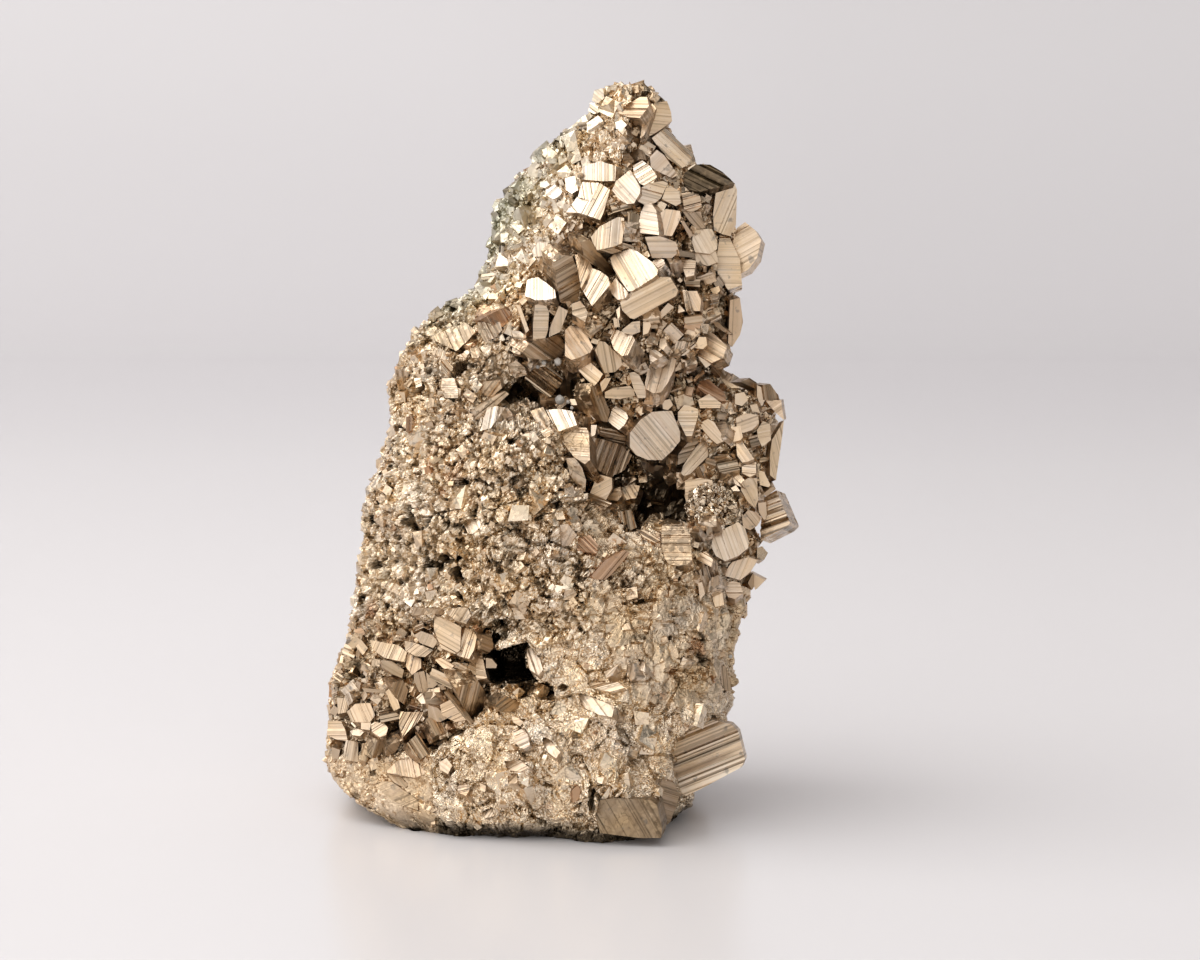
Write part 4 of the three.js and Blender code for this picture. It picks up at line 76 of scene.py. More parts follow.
  [[-26.6,-7,32.6], [-25.3,-8.3,32.8], [-23.6,-10.4,33.2], [-21.6,-12.6,33.6], [-19.3,-15,34], [-16.9,-17.3,34.4], [-14.2,-18.6,34.6], [-11.4,-19.9,34.8], [-8.5,-21.2,35], [-5.4,-22.2,35.2], [-2.3,-22.5,35.3], [0.8,-22.8,35.3], [4,-23.1,35.4], [7,-22.7,35.3], [10.1,-22.1,35.2], [12.9,-21.5,35.1], [15.7,-20.1,34.9], [18.3,-18.5,34.6], [20.7,-16.8,34.3], [22.9,-14.4,33.9], [24.8,-11.9,33.5], [26.5,-8.8,32.9], [27.9,-6,32.4], [27.9,0.4,31.3], [27.1,4.4,30.7], [25.7,7.5,30.1], [23.6,10.6,29.6], [20.9,14,29], [17.4,17.1,28.5], [13.2,17.4,28.4], [8.1,15.2,28.8], [0.3,16.3,28.6], [-7.6,17.3,28.4], [-12.8,18.6,28.2], [-17,18.2,28.3], [-20.3,15.2,28.8], [-22.9,11.3,29.5], [-24.9,7.6,30.1], [-26.2,3.8,30.8], [-26.8,-0.4,31.5]],
  [[-27.1,-7,28.2], [-25.7,-8.4,28.4], [-24,-10.6,28.8], [-22.1,-12.8,29.2], [-19.8,-15.2,29.6], [-17.4,-16.9,29.9], [-14.8,-18.5,30.2], [-12,-20.3,30.6], [-9.1,-21.2,30.7], [-6.2,-22,30.9], [-3.1,-22.6,31], [0,-23,31.1], [3.1,-23.4,31.1], [6.1,-23.7,31.2], [9.1,-23.2,31.1], [11.9,-22.5,31], [14.6,-21.8,30.8], [17.2,-20.1,30.5], [19.5,-18.5,30.2], [21.6,-16.9,30], [23.5,-13.4,29.3], [25.2,-9.8,28.7], [26.6,-6.8,28.1], [26.6,-0.1,26.9], [25.8,4.1,26.1], [24.4,7.5,25.5], [22.4,10.7,25], [19.6,13.7,24.4], [16.3,16.2,24], [12.1,17.6,23.7], [7.1,18.2,23.6], [-0.6,17.4,23.8], [-8.4,18.6,23.5], [-13.5,19.7,23.3], [-17.6,17.8,23.7], [-20.8,14.6,24.3], [-23.4,11.3,24.9], [-25.4,8,25.4], [-26.7,4.3,26.1], [-27.3,-0.2,26.9]],
  [[-28.6,-7,23.6], [-27.2,-8.4,23.8], [-25.5,-10.5,24.2], [-23.5,-12.8,24.7], [-21.2,-15.2,25.1], [-18.8,-16.6,25.4], [-16.2,-17.8,25.6], [-13.4,-19.2,25.9], [-10.5,-20.1,26.1], [-7.5,-20.7,26.2], [-4.4,-21.4,26.3], [-1.2,-22.4,26.5], [1.9,-23.3,26.7], [5,-23.7,26.8], [7.9,-23.9,26.8], [10.8,-23.5,26.7], [13.5,-22.6,26.6], [16,-21.5,26.3], [18.4,-19.9,26], [20.5,-17.9,25.6], [22.4,-15.6,25.2], [24.1,-11,24.3], [25.5,-7,23.6], [25.5,-0.1,22.2], [24.7,4.3,21.4], [23.3,8,20.7], [21.2,11.3,20.1], [18.5,13.9,19.6], [15.1,16.1,19.1], [10.9,18.9,18.6], [5.8,21.6,18.1], [-2,17.9,18.8], [-9.8,19.2,18.6], [-15,20,18.4], [-19,16.9,19], [-22.3,13.8,19.6], [-25,11.4,20.1], [-26.9,8.5,20.6], [-28.2,4.8,21.3], [-28.8,0.1,22.2]],
  [[-30.1,-7,19.4], [-28.7,-8.2,19.6], [-26.9,-10.3,20], [-24.9,-12.6,20.5], [-22.6,-14.8,20.9], [-20.1,-16.4,21.3], [-17.4,-17.6,21.5], [-14.6,-18.7,21.7], [-11.6,-19.5,21.9], [-8.5,-20.1,22], [-5.3,-20.8,22.1], [-2.1,-21.9,22.4], [1.1,-23,22.6], [4.3,-23.6,22.7], [7.3,-24.1,22.8], [10.2,-24.1,22.8], [13,-23.1,22.6], [15.6,-22.1,22.4], [18,-20.9,22.2], [20.2,-18.4,21.7], [22.1,-16,21.2], [23.8,-11.5,20.3], [25.3,-7,19.4], [25.3,0.1,17.9], [24.5,4.7,17], [23,8.6,16.2], [20.9,12.1,15.6], [18.1,14.7,15], [14.6,16.7,14.6], [10.3,20.1,13.9], [5.1,23.8,13.2], [-2.9,18.2,14.3], [-10.9,19,14.2], [-16.2,19.5,14.1], [-20.3,16.6,14.7], [-23.7,14.2,15.1], [-26.5,12.2,15.5], [-28.5,9.3,16.1], [-29.8,5.3,16.9], [-30.4,0.4,17.9]],
  [[-30.7,-7.1,15.2], [-29.3,-8.5,15.5], [-27.6,-10.8,16], [-25.5,-13.1,16.5], [-23.3,-15,16.9], [-20.8,-16.2,17.1], [-18.1,-17.6,17.4], [-15.3,-18.8,17.7], [-12.3,-19.6,17.8], [-9.2,-20.5,18], [-6,-21.2,18.2], [-2.8,-22.1,18.3], [0.4,-22.8,18.5], [3.5,-23.4,18.6], [6.6,-24,18.8], [9.5,-24.6,18.9], [12.3,-23.7,18.7], [14.8,-22.8,18.5], [17.2,-21.9,18.3], [19.4,-19.5,17.8], [21.3,-16.7,17.2], [23,-13,16.4], [24.5,-7.2,15.2], [24.5,0.2,13.7], [23.7,5,12.6], [22.2,9.2,11.8], [20.1,12.8,11], [17.3,15.6,10.4], [13.8,17.7,10], [9.5,21.3,9.2], [4.3,24.5,8.6], [-3.7,18.5,9.8], [-11.7,18.3,9.8], [-16.9,19,9.7], [-21.1,17.3,10.1], [-24.5,15.5,10.4], [-27.3,13.4,10.9], [-29.3,10.1,11.6], [-30.5,5.8,12.5], [-31.1,0.6,13.6]],
  [[-30.9,-7.6,11.1], [-29.5,-9.1,11.4], [-27.8,-11.3,11.9], [-25.8,-13.6,12.4], [-23.6,-15.1,12.7], [-21.2,-16.6,13.1], [-18.6,-18.3,13.4], [-15.8,-19.8,13.8], [-12.8,-21.2,14.1], [-9.8,-22.7,14.4], [-6.7,-23.5,14.6], [-3.5,-24.2,14.7], [-0.4,-24.9,14.9], [2.6,-24.9,14.9], [5.6,-24.8,14.9], [8.4,-24.6,14.8], [11.1,-24.1,14.7], [13.6,-23.3,14.5], [15.9,-22.6,14.4], [18,-20.5,13.9], [19.9,-18.1,13.4], [21.6,-11.8,12], [23,-8.2,11.2], [23,-0.3,9.5], [22.2,4.8,8.4], [20.8,9.2,7.4], [18.7,12.8,6.6], [15.9,15.8,6], [12.5,18.5,5.4], [8.3,21.8,4.7], [3.2,23.4,4.3], [-4.6,18.8,5.3], [-12.3,17.8,5.5], [-17.5,18.4,5.4], [-21.6,18.1,5.4], [-25,16.9,5.7], [-27.7,14.3,6.3], [-29.6,10.4,7.2], [-30.8,5.7,8.2], [-31.3,0.3,9.4]],
  [[-30.6,-8.8,7.6], [-29.3,-9.7,7.8], [-27.7,-11.5,8.2], [-25.8,-13.5,8.6], [-23.6,-15,9], [-21.3,-16.6,9.4], [-18.7,-18.4,9.8], [-16,-20.2,10.2], [-13.2,-21.5,10.5], [-10.2,-22.8,10.8], [-7.2,-24,11], [-4.2,-24.6,11.2], [-1.2,-25.1,11.3], [1.7,-25.5,11.4], [4.6,-25.4,11.4], [7.3,-25.4,11.4], [9.9,-24.9,11.2], [12.3,-24,11], [14.6,-23.2,10.9], [16.6,-20.2,10.2], [18.4,-16.6,9.3], [20,-12.8,8.5], [21.3,-9.5,7.7], [21.3,-1.2,5.8], [20.6,4.1,4.6], [19.2,8.4,3.6], [17.1,12.1,2.8], [14.5,15.3,2.1], [11.2,18.6,1.3], [7.1,21.3,0.7], [2.2,21.4,0.7], [-5.3,19.3,1.2], [-12.8,17.8,1.5], [-17.7,17.6,1.6], [-21.8,18.3,1.4], [-25.1,17.6,1.6], [-27.6,14.6,2.2], [-29.4,10.2,3.2], [-30.5,5.1,4.4], [-31,-0.6,5.7]],
  [[-28.8,-10.4,4.7], [-27.6,-11.5,5], [-26,-13,5.3], [-24.3,-14.6,5.7], [-22.3,-16,6], [-20.1,-17.6,6.4], [-17.7,-19.3,6.8], [-15.1,-20.9,7.2], [-12.4,-22,7.4], [-9.7,-23.1,7.7], [-6.9,-24.3,8], [-4,-24.8,8.1], [-1.2,-25.1,8.2], [1.6,-25.5,8.3], [4.3,-25.7,8.3], [6.8,-25.9,8.4], [9.3,-25.5,8.3], [11.6,-24.6,8.1], [13.7,-23.8,7.9], [15.6,-21.3,7.3], [17.3,-16.8,6.2], [18.8,-12.7,5.3], [20,-10.5,4.7], [19.9,-2.2,2.8], [19.2,3.1,1.5], [17.9,7.4,0.5], [16,10.9,-0.3], [13.5,14.4,-1.1], [10.4,17.9,-1.9], [6.6,20.2,-2.5], [2,19.8,-2.4], [-5.2,19.7,-2.4], [-12.2,18.4,-2.1], [-16.8,16.5,-1.6], [-20.6,16.6,-1.6], [-23.7,16.4,-1.6], [-26.1,13.9,-1], [-27.8,9.6,0], [-28.8,4.3,1.2], [-29.2,-1.7,2.7]],
  [[-26,-12.8,2.5], [-24.9,-13.8,2.7], [-23.5,-15.2,3.1], [-21.9,-16.6,3.4], [-20,-17.9,3.7], [-18,-19.2,4], [-15.8,-20.5,4.3], [-13.4,-21.5,4.6], [-11,-22.2,4.8], [-8.4,-23,5], [-5.8,-23.6,5.1], [-3.2,-23.9,5.2], [-0.6,-24.1,5.2], [2,-24.5,5.3], [4.5,-25.2,5.5], [6.9,-25.9,5.7], [9.2,-25.5,5.5], [11.3,-24.9,5.4], [13.2,-24.5,5.3], [15,-21.3,4.5], [16.6,-17.1,3.5], [18,-13.3,2.6], [19.1,-10.9,2], [19.1,-2.6,0], [18.5,2.5,-1.2], [17.2,6.5,-2.2], [15.5,9.9,-3], [13.1,13.3,-3.8], [10.2,17,-4.7], [6.7,19.4,-5.3], [2.4,19,-5.2], [-4.2,19.5,-5.3], [-10.8,19.9,-5.4], [-15,16.7,-4.6], [-18.4,14.7,-4.2], [-21.3,13.8,-3.9], [-23.6,11.8,-3.5], [-25.2,8.1,-2.5], [-26.1,2.9,-1.3], [-26.4,-3.5,0.3]],
  [[-22.6,-15.2,0.3], [-21.6,-16.5,0.6], [-20.4,-17.6,0.9], [-19,-18.7,1.1], [-17.4,-19.5,1.4], [-15.7,-20.5,1.6], [-13.8,-21.3,1.8], [-11.7,-21.7,1.9], [-9.6,-22.2,2], [-7.4,-22.7,2.1], [-5.1,-23,2.2], [-2.8,-23.1,2.3], [-0.5,-23.3,2.3], [1.8,-23.6,2.4], [4,-24.5,2.6], [6.1,-25.4,2.8], [8.1,-25.5,2.8], [9.9,-25.1,2.8], [11.6,-24.9,2.7], [13.1,-24.6,2.6], [14.5,-20.6,1.6], [15.7,-16,0.5], [16.7,-11.9,-0.5], [16.6,-3.6,-2.6], [16.1,1.5,-3.8], [15,5.5,-4.8], [13.4,9.2,-5.7], [11.4,12.8,-6.7], [8.9,16.3,-7.5], [5.8,18.4,-8], [2,18.4,-8], [-3.7,19.3,-8.2], [-9.6,20.9,-8.7], [-13.2,18.1,-8], [-16.1,14.6,-7.1], [-18.6,11.8,-6.4], [-20.5,9.1,-5.7], [-21.9,5.6,-4.8], [-22.7,0.7,-3.6], [-23,-5.6,-2.1]],
  [[-20.2,-17.9,-2.5], [-19.3,-18.3,-2.4], [-18.3,-18.9,-2.2], [-17,-19.6,-2], [-15.6,-20.4,-1.9], [-14,-20.9,-1.7], [-12.3,-21.1,-1.7], [-10.5,-21.2,-1.6], [-8.6,-21.4,-1.6], [-6.5,-21.6,-1.6], [-4.5,-21.8,-1.5], [-2.4,-21.9,-1.5], [-0.3,-22.1,-1.4], [1.8,-22.3,-1.4], [3.8,-23.3,-1.1], [5.7,-24.3,-0.9], [7.5,-24.8,-0.7], [9.2,-24.7,-0.8], [10.7,-24.6,-0.8], [12.1,-24.4,-0.8], [13.3,-23.1,-1.2], [14.4,-17.7,-2.5], [15.3,-13.8,-3.5], [15.3,-5.2,-5.7], [14.7,0,-7.1], [13.8,4.2,-8.2], [12.4,8,-9.1], [10.5,11.7,-10.1], [8.2,15.1,-10.9], [5.4,17.5,-11.5], [2,18.3,-11.8], [-3.3,19.4,-12], [-8.6,21.1,-12.5], [-11.9,19.1,-12], [-14.6,15.4,-11], [-16.7,11.5,-10], [-18.4,7.7,-9], [-19.6,3.5,-8], [-20.3,-1.6,-6.7], [-20.6,-7.9,-5.1]],
]
# crystals on the front: class, striated, middle of the face, outward, along, outline
FACES = [
  ('M',0,[14.94,-4.58,95.25],[0.127,-0.964,0.234],[0.99,0.108,-0.093],[(-1.21,-2.43),(0.09,-1.49),(1.65,-0.1),(1.43,1.11),(0.79,2.57),(-0.96,2.13),(-1.8,-1.8)]),
  ('K',1,[16.93,-4.71,90.86],[0.324,-0.851,0.413],[0.733,-0.05,-0.678],[(-0.09,-1.42),(2.11,-1.17),(2.52,-0.31),(2.11,1.82),(-3.14,1.92),(-3.51,-0.84)]),
  ('M',0,[15.08,-7.25,89.24],[0.085,-0.996,0.033],[0.713,0.084,0.696],[(-1.21,0.75),(-1,-0.2),(-0.21,-2.29),(0.65,-2.57),(1.17,0.68),(0.96,1.82),(-0.37,1.81)]),
  ('W',0,[11.64,-6.38,96.88],[-0.316,-0.769,0.556],[0.924,-0.383,-0.005],[(-0.77,-1.53),(1,-1.65),(1.86,0.26),(1.25,1.67),(0.24,1.65),(-1.24,0.52),(-2.35,-0.93)]),
  ('W',0,[13.15,-5.75,94.94],[-0.233,-0.796,0.559],[0.339,-0.605,-0.721],[(1.78,-1.09),(-1.44,1.9),(-2.46,1.7),(0.16,-0.77),(1.96,-1.75)]),
  ('W',0,[6.6,-3.86,98.34],[-0.504,-0.828,0.245],[0.662,-0.553,-0.506],[(0.6,-0.76),(0.95,0.27),(-0.07,1.26),(-1.1,0.29),(-0.38,-1.05)]),
  ('W',0,[6.28,-3.7,96.69],[-0.48,-0.762,0.434],[0.626,-0.644,-0.44],[(0.37,-0.77),(1.32,0.46),(0.44,1.14),(-1.35,0.1),(-0.77,-0.93)]),
  ('W',0,[9.58,-7.18,94.53],[-0.483,-0.822,0.303],[0.843,-0.341,0.417],[(-0.76,-0.23),(0.04,-0.75),(0.93,-0.4),(0.43,0.6),(-0.63,0.78)]),
  ('W',1,[6.71,-9.29,88.32],[-0.503,-0.806,0.311],[0,0.36,0.933],[(-1.24,-0.16),(-1.63,-2.47),(0.45,-2.63),(1.56,-0.16),(1.31,2.48),(-0.45,2.95)]),
  ('W',0,[5.18,-10.32,85.92],[-0.327,-0.795,0.511],[0.134,-0.575,-0.807],[(1.72,0.26),(-0.64,1.74),(-1.58,-0.56),(0.51,-1.43)]),
  ('L',1,[6.66,-11.61,84.23],[-0.163,-0.909,0.383],[0.459,0.274,0.845],[(-1.92,-1.22),(-1,-1.2),(2.38,-0.49),(2.7,1.2),(-2.16,1.7)]),
  ('W',0,[3.94,-10.45,83.93],[-0.458,-0.769,0.446],[0.498,-0.637,-0.588],[(1.1,-0.42),(0.74,1.63),(-1.23,0.6),(-0.61,-1.81)]),
  ('L',0,[10.47,-12.17,86],[-0.283,-0.895,0.345],[0.621,-0.445,-0.645],[(0.05,-1.54),(1.37,-1.21),(1.96,-0.44),(1.49,1.05),(0.86,1.59),(-1.94,2.16),(-2.17,-0.2),(-1.61,-1.41)]),
  ('W',0,[12.69,-9.43,88.22],[-0.284,-0.642,0.712],[0.847,0.18,0.5],[(-1.09,0.82),(-1.36,-1.43),(-0.59,-2.92),(1.12,-1.8),(1.3,0.55),(1,2.36),(-0.39,2.43)]),
  ('M',1,[13.82,-11.63,85.74],[0.125,-0.969,0.211],[0.963,0.067,-0.261],[(-0.56,-1.87),(0.67,-1.26),(1.29,-0.4),(1.72,1.8),(1.01,1.89),(-0.62,1.17),(-1.63,0.21),(-1.89,-1.54)]),
  ('M',1,[16.51,-11.34,85.34],[0.103,-0.97,0.22],[0.994,0.105,-0.006],[(0.44,-1.41),(1.12,-1.01),(0.89,0.61),(-0.18,1.28),(-0.85,1.01),(-1.42,-0.47)]),
  ('A',0,[20.69,-7,87.49],[0.129,-0.879,0.46],[0.894,-0.098,-0.437],[(-0.77,-2.49),(0.55,-2.1),(4.16,1.42),(1.92,2.04),(0.05,2.18),(-1.56,1.45),(-2.49,-0.42),(-1.86,-2.09)]),
  ('M',0,[19.35,-5.99,88.51],[-0.099,-0.936,0.339],[0.088,0.331,0.939],[(-0.48,0.48),(-0.72,-0.22),(0.15,-0.69),(0.83,-0.23),(0.21,0.67)]),
  ('M',0,[23.73,-5.77,83.05],[0.166,-0.982,0.089],[0.393,0.149,0.908],[(-3.05,0.32),(-3.1,-0.9),(-2.91,-2.02),(-1.21,-2.18),(3.16,-0.42),(3.79,0.15),(2.82,1.68),(1.75,2.12),(-1.26,1.26)]),
  ('K',1,[19.03,-11.25,84.54],[0.014,-0.887,0.461],[0.958,0.144,0.247],[(-1.22,-0.63),(-0.71,-1.69),(1.17,-1.03),(1.35,0.44),(0.24,1.37),(-0.83,1.53)]),
  ('D',1,[19.56,-11.07,81.98],[0.387,-0.836,-0.388],[0.533,0.546,-0.646],[(-0.4,-0.65),(1.25,-0.54),(2.01,0.37),(-0.45,1.33),(-2.42,-0.51)]),
  ('D',0,[18.44,-12.17,80.93],[0.215,-0.877,-0.429],[0.009,-0.437,0.899],[(-1.43,-0.45),(-1.01,-0.85),(1.27,0.44),(1.17,0.85)]),
  ('W',1,[13.31,-12.74,82.48],[-0.483,-0.84,0.248],[0.845,-0.521,-0.118],[(-0.75,-2.22),(2.16,-2.04),(1.56,-0.36),(0.84,1.17),(-0.16,1.98),(-1.02,1.71),(-1.34,0.56),(-1.29,-0.8)]),
  ('M',0,[16.14,-12.38,82.1],[-0.107,-0.972,0.209],[0.28,0.172,0.944],[(-2.24,0.71),(-1.94,-0.87),(0.7,-1.35),(1.56,-0.96),(1.32,0.92),(0.6,1.54)]),
  ('M',1,[15.36,-13.38,78.59],[0.007,-1,0.014],[1,0.007,0],[(-1.59,-1.44),(1.07,-1.44),(2,-0.64),(1.59,0.69),(-0.54,1.48),(-2.53,1.35)]),
  ('M',0,[20.83,-10.15,79.2],[0.146,-0.947,0.288],[0.483,-0.186,-0.856],[(0.73,-1.88),(1.9,-0.2),(1.74,0.99),(0.67,1.59),(-0.96,1.73),(-1.77,0.16),(-1.66,-0.84),(-0.65,-1.56)]),
  ('M',0,[21.14,-10.06,76.8],[0.082,-0.978,0.194],[0.574,-0.113,-0.811],[(-0.46,-1.43),(0.9,-0.41),(1.23,1.02),(-0.14,1.65),(-1.53,-0.84)]),
  ('W',1,[11.23,-14.96,75.77],[-0.409,-0.812,0.417],[0.425,-0.573,-0.701],[(-1.96,-2.25),(0.19,-2.24),(2.3,-2.04),(2.65,-1.58),(2.8,0.47),(2.85,2.4),(2.31,2.85),(0.76,2.69),(-1.97,1.69),(-2.85,1.01),(-3.57,-1.08),(-3.51,-1.93)]),
  ('W',0,[14.63,-13.73,76.38],[-0.467,-0.654,0.595],[0.841,-0.12,0.528],[(-1.13,-0.32),(-0.19,-1.26),(0.81,-0.63),(0.9,0.1),(0.31,1.16),(-0.7,0.95)]),
  ('W',0,[9.21,-15.12,72.81],[-0.643,-0.686,0.341],[0.134,-0.539,-0.832],[(-0.1,-1),(1.18,-0.18),(1.48,0.81),(0.93,1.61),(-2.05,0.05),(-1.45,-1.29)]),
  ('M',1,[12.94,-16.12,72.22],[-0.11,-0.987,0.121],[0.888,-0.042,0.458],[(-3.64,-0.13),(-3.16,-1.56),(-2.75,-1.92),(3.6,-1.72),(4.19,-1.13),(4.02,0.88),(2.48,1.67),(0.64,1.56),(-1.97,1.4),(-3.4,0.94)]),
  ('M',0,[26.54,-4.71,78.01],[-0.18,-0.964,0.194],[0.868,-0.063,0.492],[(-2.17,-0.5),(-2.67,-2.88),(-1.15,-2.95),(0.69,-2.11),(2.33,-0.22),(2.26,1.39),(1.59,3.02),(0.25,2.84),(-1.14,1.42)]),
  ('L',1,[18.51,-13.2,75.92],[-0.076,-0.788,0.61],[0.996,-0.091,0.007],[(-0.75,0.19),(-0.15,-1.56),(0.9,-1.24),(1.09,0.98),(-1.08,1.62)]),
  ('D',0,[18.47,-12.76,77.61],[0.682,-0.73,0.04],[0.245,0.281,0.928],[(-0.66,1.2),(0.06,-1.72),(0.57,-1.14),(0.03,1.65)]),
  ('D',0,[17.12,-13.45,75.64],[0.335,-0.78,-0.529],[0.196,0.607,-0.77],[(0.09,-0.77),(1.66,-0.21),(0.55,0.88),(-0.92,0.87),(-1.38,-0.77)]),
  ('K',1,[19.17,-13.22,73.81],[0.028,-0.874,0.486],[1,0.03,-0.002],[(-0.88,-0.44),(0.99,-0.58),(1.01,0.58),(-1.12,0.44)]),
  ('M',0,[24.13,-6.02,75.86],[-0.038,-0.967,0.252],[0.999,-0.041,-0.007],[(-1.29,-1.58),(0.09,-3.62),(1.97,-2.92),(1.65,0.51),(0.26,3.51),(-1.1,3.91),(-1.59,0.2)]),
  ('L',1,[8.04,-13.18,80.29],[-0.092,-0.875,0.475],[0.081,0.469,0.879],[(-1.35,2.03),(-2.34,1.42),(-1.83,-0.55),(-1.19,-1.83),(1,-1.93),(2.46,-1.81),(2.57,-1),(1.17,1.3),(-0.48,2.37)]),
  ('D',0,[8.74,-13.6,78.33],[0.224,-0.883,-0.413],[0.868,0.373,-0.327],[(0.04,-0.75),(1.31,0.36),(0.44,1.16),(-1.79,-0.77)]),
  ('D',1,[6.59,-13,76.83],[0.557,-0.771,-0.309],[0.558,0.623,-0.549],[(-2.42,-0.84),(0.21,-0.85),(3.03,-0.58),(4.05,0.23),(2.82,0.47),(-3.33,1.28),(-4.35,0.28)]),
  ('L',1,[6.47,-14.17,73.95],[-0.388,-0.822,0.416],[0.497,0.193,0.846],[(-3.14,-1.13),(0.45,-1.91),(1.3,-1.03),(1.55,0.51),(1.45,1.81),(-1.61,1.74)]),
  ('L',0,[4.74,-12.35,76.07],[-0.191,-0.789,0.585],[0.317,0.514,0.797],[(-3.42,-0.72),(-0.14,-1.17),(0.7,-0.6),(1.54,0.7),(1.32,1.78)]),
  ('D',1,[2.54,-12.8,74.15],[0.411,-0.862,-0.297],[0.848,0.242,0.472],[(-1.6,0.18),(-2.15,-2.35),(-1.25,-3.25),(0.23,-3.49),(1.29,-1.61),(1.74,0.3),(1.84,2.91),(0.64,3.82),(-0.74,3.5)]),
  ('W',1,[-1.02,-11.58,72.67],[-0.238,-0.766,0.597],[-0.009,0.616,0.787],[(-1.38,0.86),(-1.67,-0.93),(-1.53,-2.04),(-0.24,-1.9),(1.09,-0.66),(2.24,0.45),(2.01,1.97),(-0.51,2.25)]),
  ('W',0,[-1.05,-8.43,78.02],[-0.477,-0.834,0.278],[0.1,-0.366,-0.925],[(0.82,-1.39),(1.12,0.45),(0.2,1.32),(-0.7,1.11),(-1.27,-0.07),(-0.18,-1.43)]),
  ('W',0,[0.62,-8.12,85.55],[-0.426,-0.642,0.638],[0.77,0.113,0.628],[(-0.97,0.61),(-0.65,-0.89),(0.31,-1.32),(0.97,-0.8),(0.84,1.01),(-0.5,1.39)]),
  ('W',0,[-0.65,-6.43,86.54],[-0.486,-0.819,0.305],[0.831,-0.324,0.452],[(-0.72,-0.01),(-0.06,-0.5),(0.77,-0.45),(0.52,0.3),(-0.51,0.66)]),
  ('W',0,[2.99,-8.82,86.53],[-0.447,-0.71,0.544],[0.65,-0.676,-0.348],[(-0.24,-0.88),(1.05,-0.93),(1.45,-0.04),(-0.54,1.39),(-1.73,0.46)]),
  ('L',1,[4.23,-13.92,70.24],[0.004,-0.813,0.583],[0.954,0.178,0.241],[(-1.23,-0.24),(0.05,-1.93),(0.84,-0.72),(0.74,0.28),(0.38,1.37),(-0.78,1.24)]),
  ('M',1,[-1.03,-11.86,68.45],[0.11,-0.979,0.171],[0.994,0.11,-0.01],[(-1.11,-2.4),(0.5,-2.4),(0.91,-1.05),(1.07,1.36),(0.54,2.57),(-0.81,2.3),(-1.1,-0.38)]),
  ('M',0,[1.13,-12.88,68.46],[0.046,-0.999,-0.01],[0.014,-0.01,1],[(-1.23,-0.39),(1.6,-1.42),(2.25,-0.21),(-0.71,0.95),(-1.92,1.07)]),
  ('L',1,[3.91,-13.71,65.8],[-0.049,-0.806,0.59],[0.512,-0.527,-0.678],[(0.77,-2.47),(1.8,-2),(1.98,-0.86),(2.16,0.58),(1.58,1.39),(-0.44,1.66),(-2.29,1.67),(-2.87,0.46),(-2.7,-0.42)]),
  ('M',1,[7.9,-14.82,63.95],[0.118,-0.985,0.125],[0.174,-0.103,-0.979],[(0.36,-1.14),(1.92,-0.73),(2.02,0.61),(1.26,1.7),(0.32,1.73),(-2.15,-0.01),(-2.39,-0.65),(-1.33,-1.52)]),
  ('W',1,[9.65,-15.15,66.29],[-0.427,-0.643,0.636],[0.384,0.507,0.771],[(-1.42,0.49),(-2.36,-1.24),(-2.11,-2.09),(0.32,-2.1),(0.9,-1.5),(1.6,1.24),(1.66,2.25),(1.42,2.95)]),
  ('L',1,[5.41,-12.88,61.79],[-0.23,-0.927,0.296],[0.752,-0.363,-0.551],[(0.01,-0.94),(1.7,-1.04),(1.79,-0.29),(1.65,0.96),(-0.82,1.16),(-1.8,0.61),(-2.53,-0.45)]),
  ('M',1,[7.49,-13.36,60.31],[-0.175,-0.984,0.026],[0.493,-0.065,0.867],[(-1.15,-0.23),(-0.4,-0.42),(1.11,-0.33),(0.69,0.37),(-0.24,0.61)]),
  ('L',1,[14.84,-14.43,61.79],[0.002,-0.78,0.626],[0.229,0.61,0.759],[(-2.78,1.27),(-3.18,0.23),(-2.78,-0.77),(-1.19,-1.37),(1,-1.7),(2.61,-1.62),(2.96,-0.99),(2.43,0.54),(1.81,1.08),(1.01,1.72),(-1.89,1.61)]),
  ('W',0,[14.14,-14.98,64.27],[-0.45,-0.743,0.495],[0.678,-0.645,-0.352],[(0.16,-1.3),(0.59,-0.42),(1.05,0.64),(-0.38,0.73),(-1.42,0.36)]),
  ('M',0,[11.94,-14.29,60.18],[-0.042,-0.996,0.075],[0.996,-0.048,-0.074],[(-0.51,-0.63),(0.11,-1.66),(1.04,-1.58),(1.39,-0.88),(0,1.42),(-0.69,1.76),(-1.35,1.58)]),
  ('M',1,[9.56,-13.54,59.14],[0.068,-0.998,0.008],[0.998,0.068,-0.008],[(-2.04,-0.71),(-0.03,-0.85),(1.98,-0.44),(1.84,0.37),(1.3,0.9),(-0.98,0.63),(-2.05,0.1)]),
  ('K',1,[-0.67,-7.85,59.91],[0.335,-0.786,0.52],[0.799,-0.056,-0.599],[(-0.56,-1.65),(1.58,-1.55),(1.93,-1.04),(1.98,1.01),(1.76,2.43),(-1.52,2.52),(-2.73,-0.38),(-2.45,-1.34)]),
  ('D',0,[-0.58,-11.83,64.7],[0.549,-0.806,-0.22],[0.627,0.571,-0.53],[(-1.59,-2.19),(0.99,-1.05),(3.22,0.52),(2.41,2.17),(0.66,2.96),(-2.71,-0.41),(-2.99,-2.01)]),
  ('M',1,[11.03,-15.4,67.89],[-0.084,-0.996,-0.024],[0.996,-0.084,0.008],[(-1.14,-0.56),(0.06,-0.82),(1.13,-0.42),(1.14,1.05),(0.07,0.91),(-1.27,-0.16)]),
  ('M',0,[13.09,-15.49,68.11],[-0.077,-0.931,0.355],[0.785,-0.277,-0.554],[(0.23,-1.17),(0.6,-0.55),(0.32,0.45),(-0.29,1.02),(-0.87,0.25)]),
